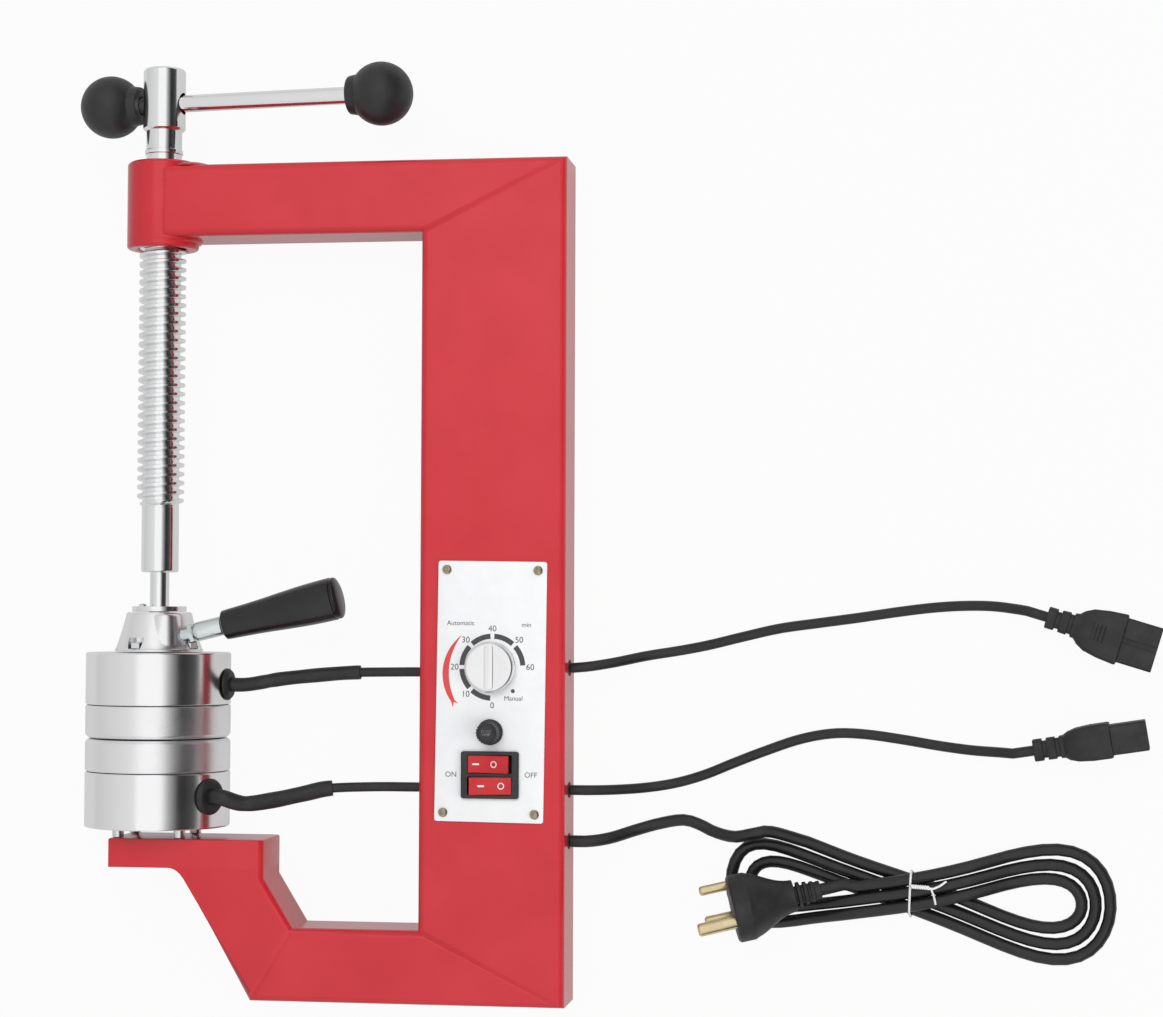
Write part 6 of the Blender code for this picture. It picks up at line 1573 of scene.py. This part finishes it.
# %% Timer knob
KNOB_RADIUS = 0.0135
SKIRT_RADIUS = 0.0138
SHAFT_BORE = 0.0034
SHAFT_DEPTH = 0.003
knob_base = PLATE_FRONT + GAP
knob_top = knob_base + 0.0070
knob_profile = [(0, knob_base + SHAFT_DEPTH), (SHAFT_BORE, knob_base + SHAFT_DEPTH), (SHAFT_BORE, knob_base)]
knob_profile += [(SKIRT_RADIUS, knob_base), (SKIRT_RADIUS, knob_base + 0.0012)]
knob_profile += [(KNOB_RADIUS, knob_base + 0.0015)]
knob_profile += [(KNOB_RADIUS - 0.0002, knob_top - 0.0008), (KNOB_RADIUS - 0.0012, knob_top)]
knob_profile += [(0.006, knob_top - 0.0003), (0, knob_top - 0.0004)]
knob = spun(softened(knob_profile, 0.0005), 128)
grip_bar = slab(0.0050, 0.0236, knob_top - 0.002, knob_top + 0.0002, 0.0012, 0.0005)
knob = carved(knob, [grip_bar], "UNION")
placed(knob, (PLATE_CENTRE.x, KNOB_Y, 0))
finish_piece("knob", knob, "satin", "timer_knob", ("timer_knob",))

# %% [markdown]
# The fuse sits in a round holder with a ribbed cap. The ribs are raised facets round the cap, made
# by spinning one small slab into many, and the generic word with an arrow is moulded on its face.
# Word and arrow are the cap's own black plastic. Their lighter grey is a painted highlight on their raised
# faces.

# %% Fuse holder and cap
FUSE_BORE = 0.0044
FUSE_NECK = 0.0060
FUSE_FLANGE = 0.0070
FUSE_EDGE = 0.0004
CAP_NECK = 0.0040
CAP_SKIRT = 0.0062
fuse_seat = PLATE_FRONT + GAP
fuse_rim = fuse_seat + 0.0022
fuse_back = front - 0.020
holder_profile = [(FUSE_BORE, fuse_back), (FUSE_NECK, fuse_back), (FUSE_NECK, fuse_seat)]
holder_profile += [(FUSE_FLANGE, fuse_seat), (FUSE_FLANGE, fuse_rim - FUSE_EDGE)]
holder_profile += [(FUSE_FLANGE - FUSE_EDGE, fuse_rim), (FUSE_BORE, fuse_rim)]
holder = spun_ring(holder_profile, 0.0003, 64)
placed(holder, (PLATE_CENTRE.x, FUSE_Y, 0))
finish_piece("fuse_ring", holder, "plastic", "frame", ("fuse_holder",))

cap_base = fuse_rim + GAP
cap_top = cap_base + 0.0104
cap_start = cap_base - 0.006
cap_profile = [(0, cap_start), (CAP_NECK, cap_start), (CAP_NECK, cap_base), (CAP_SKIRT, cap_base)]
cap_profile += [(CAP_SKIRT, cap_base + 0.0015), (0.0057, cap_base + 0.0019), (0.0055, cap_top - 0.0008)]
cap_profile += [(0.0048, cap_top - 0.0002), (0.0044, cap_top - 0.0002), (0.0042, cap_top - 0.0006)]
cap_profile.append((0, cap_top - 0.0006))
fuse_body = spun(softened(cap_profile, 0.0003), 72)
RIBS = 24
RIB_CIRCLE = 0.0056
for rib in range(RIBS):
    rib_bm = slab(0.0008, 0.0007, cap_base + 0.0022, cap_top - 0.0016, 0.0, 0.0002)
    rib_turn = Matrix.Rotation(math.tau * rib / RIBS, 3, "Z")
    add_shell(fuse_body, placed(rib_bm, rib_turn @ Vector((RIB_CIRCLE, 0, 0)), rib_turn))
placed(fuse_body, (PLATE_CENTRE.x, FUSE_Y, 0))
finish_piece("fuse_top", fuse_body, "plastic", "fuse_cap", ("fuse_cap",))
# The raised word and arrow get the lighter grey finish, a painted highlight on the black cap
word_place = Vector((PLATE_CENTRE.x, FUSE_Y + 0.0006, cap_top - 0.0006))
printed_word("fuse_word", "FUSE", 0.0026, word_place, "mark", 0.0, "fuse_cap", 0.00025)
arrow_line = [(-0.0022, -0.0018), (0.0008, -0.0018), (0.0008, -0.0024), (0.0022, -0.0015)]
arrow_line += [(0.0008, -0.0006), (0.0008, -0.0012), (-0.0022, -0.0012)]
fuse_arrow = placed(extruded(arrow_line, -0.0002, 0.0002), word_place)
finish_piece("fuse_arrow", fuse_arrow, "mark", "fuse_cap")

# %% [markdown]
# The double rocker switch is one moulded frame with a window for each rocker. A rocker is drawn
# from its side, as a shallow valley between two raised ends, thickened, and rocked about its pin.
# The top one is pressed at its left, and the lower one at its right.

# %% Switch housing
ROCKER_PITCH = 0.0116
ROCKER_WIDTH = 0.0228
ROCKER_HEIGHT = 0.0094
ROCKER_THICKNESS = 0.0062
ROCKER_PIVOT_DEPTH = 0.0022
ROCKER_VALLEY = 0.0012
ROCKER_TILT = math.radians(10)
switch_seat = PLATE_FRONT + GAP
switch_rim = switch_seat + 0.0022
switch_place = Vector((PLATE_CENTRE.x, SWITCH_Y, 0))
bezel = slab(SWITCH_WIDTH, SWITCH_HEIGHT, switch_seat, switch_rim, 0.0014, 0.0006)
switch_back = slab(SWITCH_WIDTH - 0.0016, SWITCH_HEIGHT - 0.0016, switch_seat - 0.024, switch_seat + 0.001)
windows = []
for side in (-1, 1):
    floor_of_window = switch_rim - 0.0105
    window = slab(ROCKER_WIDTH + 0.0016, ROCKER_HEIGHT + 0.0006, floor_of_window, switch_rim + 0.004, 0.0008)
    windows.append(placed(window, (0, side * ROCKER_PITCH / 2, 0)))
housing = carved(carved(bezel, [switch_back], "UNION"), windows)
placed(housing, switch_place)
finish_piece("switch_frame", housing, "plastic", "frame", ("switch_housing",))

# %% Rockers
pivot_level = switch_rim - ROCKER_PIVOT_DEPTH


def rocker_side():
    """The rocker seen from the end of its pin: (across, up)."""
    half = ROCKER_WIDTH / 2
    lower = half * 0.62
    top = ROCKER_THICKNESS / 2 + ROCKER_PIVOT_DEPTH / 2
    valley = []
    half_steps = 8
    for step in range(half_steps * 2 + 1):
        x = half * (1 - step / half_steps)
        valley.append((x, top - ROCKER_VALLEY * (1 - (x / half) ** 2)))
    base, brow = top - ROCKER_THICKNESS, top - ROCKER_THICKNESS / 3
    return [(-lower, base), (lower, base), (half, brow), *valley, (-half, brow)]


def rocked(bm, side):
    """Rocks a shape drawn over the pivot and sets it in its window."""
    tilt = Matrix.Rotation(-ROCKER_TILT * side, 3, "Y")
    return placed(bm, switch_place + Vector((0, side * ROCKER_PITCH / 2, pivot_level)), tilt)


# The marks' places along each rocker: a dash on its left, and a ring to its right
MARKS = {"upper": (-0.0070, 0.0031), "lower": (-0.0050, 0.0058)}


def valley_at(x):
    """The height of the rocker's face over the pivot, and its slope, at a place along it."""
    half = ROCKER_WIDTH / 2
    height = ROCKER_THICKNESS / 2 + ROCKER_PIVOT_DEPTH / 2 - ROCKER_VALLEY * (1 - (x / half) ** 2)
    return height, -math.atan(2 * ROCKER_VALLEY * x / half**2)


for name, side in (("upper", 1), ("lower", -1)):
    shape = extruded(rocker_side(), -ROCKER_HEIGHT / 2, ROCKER_HEIGHT / 2)
    placed(shape, (0, 0, 0), Matrix.Rotation(math.pi / 2, 3, "X"))
    rim = [e for e in shape.edges if abs(e.calc_face_angle(0)) > math.radians(40)]
    rounded(shape, rim, 0.0004, 3)
    body = f"rocker_{name}"
    finish_piece(f"{name}_rocker", rocked(shape, side), "rocker", body, (body,))
    dash_x, ring_x = MARKS[name]
    level, slope = valley_at(dash_x)
    dash = placed(slab(0.0036, 0.0009, 0, 0.0001), (dash_x, 0, level), Matrix.Rotation(slope, 3, "Y"))
    finish_piece(f"{name}_dash", rocked(dash, side), "plate", body)
    level, slope = valley_at(ring_x)
    ring_mark = spun([(0.0013, 0), (0.0018, 0), (0.0018, 0.0001), (0.0013, 0.0001)], 40, closed=True)
    placed(ring_mark, (ring_x, 0, level), Matrix.Rotation(slope, 3, "Y"))
    finish_piece(f"{name}_ring_mark", rocked(ring_mark, side), "plate", body)

# %% [markdown]
# The outlet connectors are moulded rubber: a segmented boot, a body with shoulders and finger ribs,
# and a keyed nose with a groove. A stack of rounded rectangles is bridged from end to end, with a
# ring of close stations where the real mould has a step. The slots and the groove are cut.

# %% Connector bodies
CONNECTOR_LENGTH = 0.059
NOSE_LENGTH = 0.0185
NOSE_WIDTH = 0.012
NOSE_HEIGHT = 0.0078
SHOULDER_WIDTH = 0.0136
SHOULDER_HEIGHT = 0.0092
BOOT_WIDTH = 0.0058


def rounded_ring(bm, height, half_width, half_height, corner):
    """A rounded rectangle of vertices at a height, as a closed loop of edges."""
    w, h = half_width, half_height
    corners = [(w, h), (-w, h), (-w, -h), (w, -h)]
    loop = []
    for number, (x, y) in enumerate(corners):
        centre = Vector((x - math.copysign(corner, x), y - math.copysign(corner, y), height))
        for step in range(7):
            angle = math.pi / 2 * (number + step / 6)
            loop.append(bm.verts.new(centre + Vector((math.cos(angle), math.sin(angle), 0)) * corner))
    return [bm.edges.new((loop[index - 1], loop[index])) for index in range(len(loop))]


def stacked(stations):
    """A closed skin through rounded rectangles, each (height, half width, half height, corner)."""
    bm = bmesh.new()
    loops_found = [rounded_ring(bm, *station) for station in stations]
    for lower, upper in zip(loops_found, loops_found[1:]):
        bmesh.ops.bridge_loops(bm, edges=lower + upper)
    close_ends(bm)
    bmesh.ops.recalc_face_normals(bm, faces=bm.faces)
    return bm


def connector_body():
    nose = CONNECTOR_LENGTH - NOSE_LENGTH
    boot_end = CONNECTOR_LENGTH * 0.27
    boot = BOOT_WIDTH
    return stacked(
        [
            (0.0, boot * 0.94, boot * 0.94, 0.0030),
            (0.0005, boot, boot, 0.0032),
            (boot_end * 0.28, boot, boot, 0.0032),
            (boot_end * 0.30, boot * 0.97, boot * 0.97, 0.0032),
            (boot_end * 0.31, boot * 0.78, boot * 0.78, 0.0028),
            (boot_end * 0.44, boot * 0.78, boot * 0.78, 0.0028),
            (boot_end * 0.45, boot * 0.99, boot * 0.97, 0.0032),
            (boot_end * 0.47, boot * 1.02, boot, 0.0032),
            (boot_end * 0.72, boot * 1.06, boot * 1.0, 0.0032),
            (boot_end * 0.74, boot * 0.90, boot * 0.86, 0.0030),
            (boot_end * 0.86, boot * 0.92, boot * 0.86, 0.0030),
            (boot_end * 0.88, boot * 1.12, boot * 1.0, 0.0032),
            (boot_end, boot * 1.16, boot * 1.02, 0.0032),
            (boot_end * 1.15, SHOULDER_WIDTH * 0.66, SHOULDER_HEIGHT * 0.80, 0.0030),
            (boot_end * 1.42, SHOULDER_WIDTH * 0.83, SHOULDER_HEIGHT * 0.93, 0.0026),
            (boot_end * 1.9, SHOULDER_WIDTH * 0.94, SHOULDER_HEIGHT, 0.0024),
            (nose - 0.0012, SHOULDER_WIDTH, SHOULDER_HEIGHT, 0.0022),
            (nose - 0.0003, SHOULDER_WIDTH * 0.985, SHOULDER_HEIGHT * 0.98, 0.0022),
            (nose, NOSE_WIDTH + 0.0002, NOSE_HEIGHT + 0.0002, 0.0016),
            (nose + 0.0002, NOSE_WIDTH, NOSE_HEIGHT, 0.0016),
            (CONNECTOR_LENGTH - 0.0004, NOSE_WIDTH, NOSE_HEIGHT, 0.0016),
            (CONNECTOR_LENGTH, NOSE_WIDTH - 0.0004, NOSE_HEIGHT - 0.0004, 0.0012),
        ]
    )


def connector_cuts():
    """The key's groove, the three contact slots, and the hollows between the finger ribs."""
    nose = CONNECTOR_LENGTH - NOSE_LENGTH
    tools = [placed(slab(0.0032, 0.0022, nose - 0.0002, CONNECTOR_LENGTH + 0.004), (0, NOSE_HEIGHT, 0))]
    for x, y in ((-0.007, -0.002), (0, 0.002), (0.007, -0.002)):
        slot = slab(0.0024, 0.0046, CONNECTOR_LENGTH - 0.012, CONNECTOR_LENGTH + 0.004)
        tools.append(placed(slot, (x, y, 0)))
    for side in (-1, 1):
        for rib in range(4):
            height = nose - 0.0165 + rib * 0.0021
            hollow = slab(0.0090, 0.0016, height, height + 0.0009)
            tools.append(placed(hollow, (0, side * (SHOULDER_HEIGHT - 0.0001), 0)))
    return tools


for side, on_edge in (("upper", False), ("lower", True)):
    _, place, turn = outlets[side]
    level = Matrix.Rotation(math.pi / 2, 3, "Z")
    edge_turn = Matrix.Rotation(math.pi / 2 if on_edge else 0, 3, "Z")
    aim = Matrix.Rotation(turn, 3, "Z") @ Matrix.Rotation(math.pi / 2, 3, "Y")
    pose = Matrix.Translation(place + floor_origin) @ (aim @ level @ edge_turn).to_4x4()
    body = carved(connector_body(), connector_cuts())
    finish_piece(
        f"{side}_appliance_connector", body, "rubber", "frame", (f"{side}_connector",), pose
    )
    cord, exit_point, length = outlet_cords[side]

# %% [markdown]
# The mains plug is round, with three round pins and a ribbed boot. The body and boot are one turned
# profile. The pins are brass, each with a rounded tip, and stand in a disc inside the plug.

# %% Mains plug
PLUG_RADIUS = 0.018
PLUG_RIM = 0.009
PLUG_WAIST = 0.0085
BOOT_RADIUS = 0.0048
plug_aim = Matrix.Rotation(PLUG_YAW, 3, "Z") @ Matrix.Rotation(PLUG_DIP + math.pi / 2, 3, "Y")
plug_turn = plug_aim @ Matrix.Rotation(PLUG_ROLL, 3, "Z")
plug_pose = Matrix.Translation(PLUG_FACE + floor_origin) @ plug_turn.to_4x4()
plug_profile = [(0, 0), (PLUG_RADIUS - 0.0012, 0), (PLUG_RADIUS, 0.0012), (PLUG_RADIUS, PLUG_RIM)]
for step in range(1, 13):
    share = step / 12
    radius = PLUG_WAIST + (PLUG_RADIUS * 0.97 - PLUG_WAIST) * (1 + math.cos(math.pi * share**0.85)) / 2
    plug_profile.append((radius, PLUG_RIM + (PLUG_BODY_LENGTH - PLUG_RIM) * share))
rib_pitch = PLUG_BOOT_LENGTH / 4
for rib in range(4):
    start = PLUG_BODY_LENGTH + rib * rib_pitch
    swell = BOOT_RADIUS * (1.42 - 0.12 * rib)
    plug_profile += [(BOOT_RADIUS, start + rib_pitch * 0.06), (BOOT_RADIUS, start + rib_pitch * 0.40)]
    plug_profile += [(swell, start + rib_pitch * 0.46), (swell * 0.98, start + rib_pitch * 0.94)]
plug_profile.append((0, PLUG_BODY_LENGTH + PLUG_BOOT_LENGTH))
plug = spun(softened(plug_profile, 0.0004), 96)
pin_rows = [(0, -0.0127, 0.0035, 0.0206)]
pin_rows += [(-0.0095, 0.0093, 0.00255, 0.0149), (0.0095, 0.0093, 0.00255, 0.0149)]
plug_piece = finish_piece("round_plug", plug, "rubber", "frame", ("mains_plug",), plug_pose)
pins = bmesh.new()
for x, y, radius, length in pin_rows:
    pin_profile = [(0, -length), (radius - 0.0008, -length), (radius, -length + 0.0010)]
    pin_profile += [(radius, 0.004), (0, 0.004)]
    add_shell(pins, placed(spun(softened(pin_profile, 0.0005), 40), (x, y, 0)))
pins_piece = finish_piece("round_pins", pins, "brass", "frame", ("plug_pins",), plug_pose)

# %% [markdown]
# A white twist tie draws the hank's waist in. It is wire in a plastic skin: one loop round the
# bundle, whose ends are wound round each other and splay out. Two curves make it.

# %% Twist tie
TIE_RADIUS = 0.0006
room = MAINS_CORD_RADIUS + TIE_RADIUS * 2
tie_bottom = MAINS_CORD_RADIUS + TIE_LIFT
tie_top = tie_bottom + HANK_LIFT
waist_places = [place for _, place in HANK_WAIST]
below_near, below_far = min(waist_places[::2]), max(waist_places[::2])
above_near, above_far = min(waist_places[1::2]), max(waist_places[1::2])
tie_outline = [
    (below_near, TIE_RADIUS),
    (below_far, TIE_RADIUS),
    (below_far + room * 0.72, tie_bottom - room * 0.69),
    (below_far + room, tie_bottom),
    (above_far + room, tie_top),
    (above_far + room * 0.72, tie_top + room * 0.69),
    (above_far, tie_top + room),
    (above_near, tie_top + room),
    (above_near - room * 0.72, tie_top + room * 0.69),
    (above_near - room, tie_top),
    (below_near - room, tie_bottom),
    (below_near - room * 0.72, tie_bottom - room * 0.69),
]
hank_flat = Matrix.Rotation(HANK_TURN, 3, "Z")
tie_loop = [HANK_CENTRE + hank_flat @ Vector((0, across, height)) for across, height in tie_outline]
tie_piece = cord_curve("tie_loop", on_floor(tie_loop, TIE_RADIUS), TIE_RADIUS, "tie", cyclic=True)
tie_knot = HANK_CENTRE + hank_flat @ Vector((0.0008, above_far * 0.6, tie_top + room + TIE_RADIUS * 2))
TWIST_LENGTH = 0.0085
TWIST_TURNS = 3.5
TWIST_STEPS = 28
tie_pieces = [tie_piece]
for number in range(2):
    points = []
    for step in range(TWIST_STEPS + 1):
        share = step / TWIST_STEPS
        angle = math.tau * TWIST_TURNS * share + math.pi * number
        off = Vector((0, math.cos(angle), math.sin(angle))) * TIE_RADIUS * 1.05
        points.append(tie_knot + hank_flat @ (Vector((TWIST_LENGTH * share, 0.0, 0)) + off))
    ways = ((0.0034, 0.0004, 0.0), (0.0030, 0.0016, -0.0002), (0.0032, 0.0026, -0.0008))
    if number:
        ways = ((0.0020, -0.0016, -0.0003), (0.0014, -0.0036, -0.0012), (0.0009, -0.0042, -0.0016))
    for way in ways:
        points.append(points[-1] + hank_flat @ Vector(way))
    end = cord_curve(f"tie_end_{number + 1}", on_floor(points, TIE_RADIUS), TIE_RADIUS, "tie")
    tie_pieces.append(end)
for piece in tie_pieces:
    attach(piece, "frame")
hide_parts("twist_tie")

# %% [markdown]
# The parts inside the column and the blocks stay as the CAD made them, because nothing sees them
# until the machine is opened. They still get a real finish each.

# %% Finishes of the hidden parts
hidden_finishes = {
    "zinc": ("timer_body", "timer_shaft", "fuse_link", "lower_thermostat", "upper_thermostat"),
    "mica": ("lower_heating_element", "upper_heating_element"),
    "plate": ("terminal_block",),
}
for finish, names in hidden_finishes.items():
    for name in names:
        node = frame["nodes"][name]
        node.data.materials.clear()
        node.data.materials.append(finishes[finish])
        print(f"{name} keeps its CAD shape, in {finish}")

# %% [markdown]
# The studio is plain: a pale floor, a white surround, one wide soft lamp and a fill. The metal needs
# something dark to reflect, or it would turn white, so in reflections the surround fades from white
# overhead to a dark side on the right. The camera and the floor don't see that side.

# %% Floor
bpy.context.scene.view_settings.view_transform = "Standard"
floor_mesh = bmesh.new()
bmesh.ops.create_grid(floor_mesh, x_segments=1, y_segments=1, size=3)
floor = to_object("floor", floor_mesh)
floor_finish, floor_shader = new_finish("pale floor", (0.42, 0.42, 0.42), 0.6)
paths = add_node(floor_finish, "ShaderNodeLightPath")
glow = add_node(floor_finish, "ShaderNodeEmission")
glow.inputs["Color"].default_value = (1, 1, 1, 1)
glow.inputs["Strength"].default_value = 1.0
blend = add_node(floor_finish, "ShaderNodeMixShader")
# The floor shines almost white to the camera and less in reflections
shares = {}
for ray_kind, share in (("Is Camera Ray", 0.95), ("Is Glossy Ray", 0.45)):
    shares[ray_kind] = add_node(floor_finish, "ShaderNodeMath")
    shares[ray_kind].operation = "MULTIPLY"
    shares[ray_kind].inputs[1].default_value = share
    connect(floor_finish, paths, ray_kind, shares[ray_kind], 0)
either = add_node(floor_finish, "ShaderNodeMath")
either.operation = "MAXIMUM"
for socket, share in enumerate(shares.values()):
    connect(floor_finish, share, "Value", either, socket)
connect(floor_finish, either, "Value", blend, "Fac")
connect(floor_finish, floor_shader, "BSDF", blend, 1)
connect(floor_finish, glow, "Emission", blend, 2)
output = next(node for node in floor_finish.node_tree.nodes if node.type == "OUTPUT_MATERIAL")
connect(floor_finish, blend, "Shader", output, "Surface")
floor.data.materials.append(floor_finish)

# %% Surround and lamps
world = bpy.data.worlds.new("surround")
bpy.context.scene.world = world
world.use_nodes = True
world_nodes, links = world.node_tree.nodes, world.node_tree.links
surround = world_nodes["Background"]


def backdrop(strength):
    """Another background, white until its colour is linked."""
    node = world_nodes.new("ShaderNodeBackground")
    node.inputs["Color"].default_value = (1, 1, 1, 1)
    node.inputs["Strength"].default_value = strength
    return node


def chosen(factor, without, with_it):
    """A mix of two backgrounds by a factor."""
    mix = world_nodes.new("ShaderNodeMixShader")
    links.new(factor, mix.inputs["Fac"])
    links.new(without.outputs[0], mix.inputs[1])
    links.new(with_it.outputs[0], mix.inputs[2])
    return mix


# The tone at each angle to the right of straight up, in degrees: in reflections, and as soft light
SHINE = [(-100, 0.55), (-90, 0.60), (-14, 0.78), (-10, 1.0), (27, 1.0), (31, 0.80), (39, 0.41), (46, 0.24)]
SHINE += [(55, 0.035), (64, 0.025), (75, 0.05), (83, 0.07), (100, 0.50)]
SOFT = [(-170, 0.1), (-90, 0.12), (-45, 0.45), (0, 0.75), (45, 0.70), (90, 0.55), (170, 0.3)]
AROUND_START, AROUND_SPAN = -180, 360
where = world_nodes.new("ShaderNodeTexCoord")
split = world_nodes.new("ShaderNodeSeparateXYZ")
angle_of = world_nodes.new("ShaderNodeMath")
angle_of.operation = "ARCTAN2"
spread = world_nodes.new("ShaderNodeMapRange")
spread.inputs["From Min"].default_value = math.radians(AROUND_START)
spread.inputs["From Max"].default_value = math.radians(AROUND_START + AROUND_SPAN)


def around(tones, background):
    """Gives a background the tones at their angles."""
    ramp = world_nodes.new("ShaderNodeValToRGB")
    for angle, tone in tones:
        stop = ramp.color_ramp.elements.new((angle - AROUND_START) / AROUND_SPAN)
        stop.color = (tone, tone, tone, 1)
    for stop in (ramp.color_ramp.elements[0], ramp.color_ramp.elements[-1]):
        stop.color = (0.3, 0.3, 0.3, 1)
    links.new(spread.outputs["Result"], ramp.inputs["Fac"])
    links.new(ramp.outputs["Color"], background.inputs["Color"])


links.new(where.outputs["Generated"], split.inputs["Vector"])
links.new(split.outputs["X"], angle_of.inputs[0])
links.new(split.outputs["Z"], angle_of.inputs[1])
links.new(angle_of.outputs["Value"], spread.inputs["Value"])
shine = backdrop(1.0)
around(SHINE, shine)
around(SOFT, surround)
ray = world_nodes.new("ShaderNodeLightPath")
by_glossy = chosen(ray.outputs["Is Glossy Ray"], surround, shine)
by_camera = chosen(ray.outputs["Is Camera Ray"], by_glossy, backdrop(1.0))
world_output = next(node for node in world_nodes if node.type == "OUTPUT_WORLD")
links.new(by_camera.outputs["Shader"], world_output.inputs["Surface"])


def lamp(name, place, target, size, power):
    data = bpy.data.lights.new(name, "AREA")
    data.shape = "DISK"
    data.size = size
    data.energy = power
    item = bpy.data.objects.new(name, data)
    way = Vector(target) - Vector(place)
    item.matrix_world = Matrix.Translation(place) @ way.to_track_quat("-Z", "Y").to_matrix().to_4x4()
    item.visible_glossy = False
    bpy.context.scene.collection.objects.link(item)


lamp("key", (0.1, 0.7, 1.8), (0.1, 0, 0), 1.1, 12.8)
lamp("fill", (1.4, -0.4, 0.9), (0, 0, 0), 1.2, 6.5)
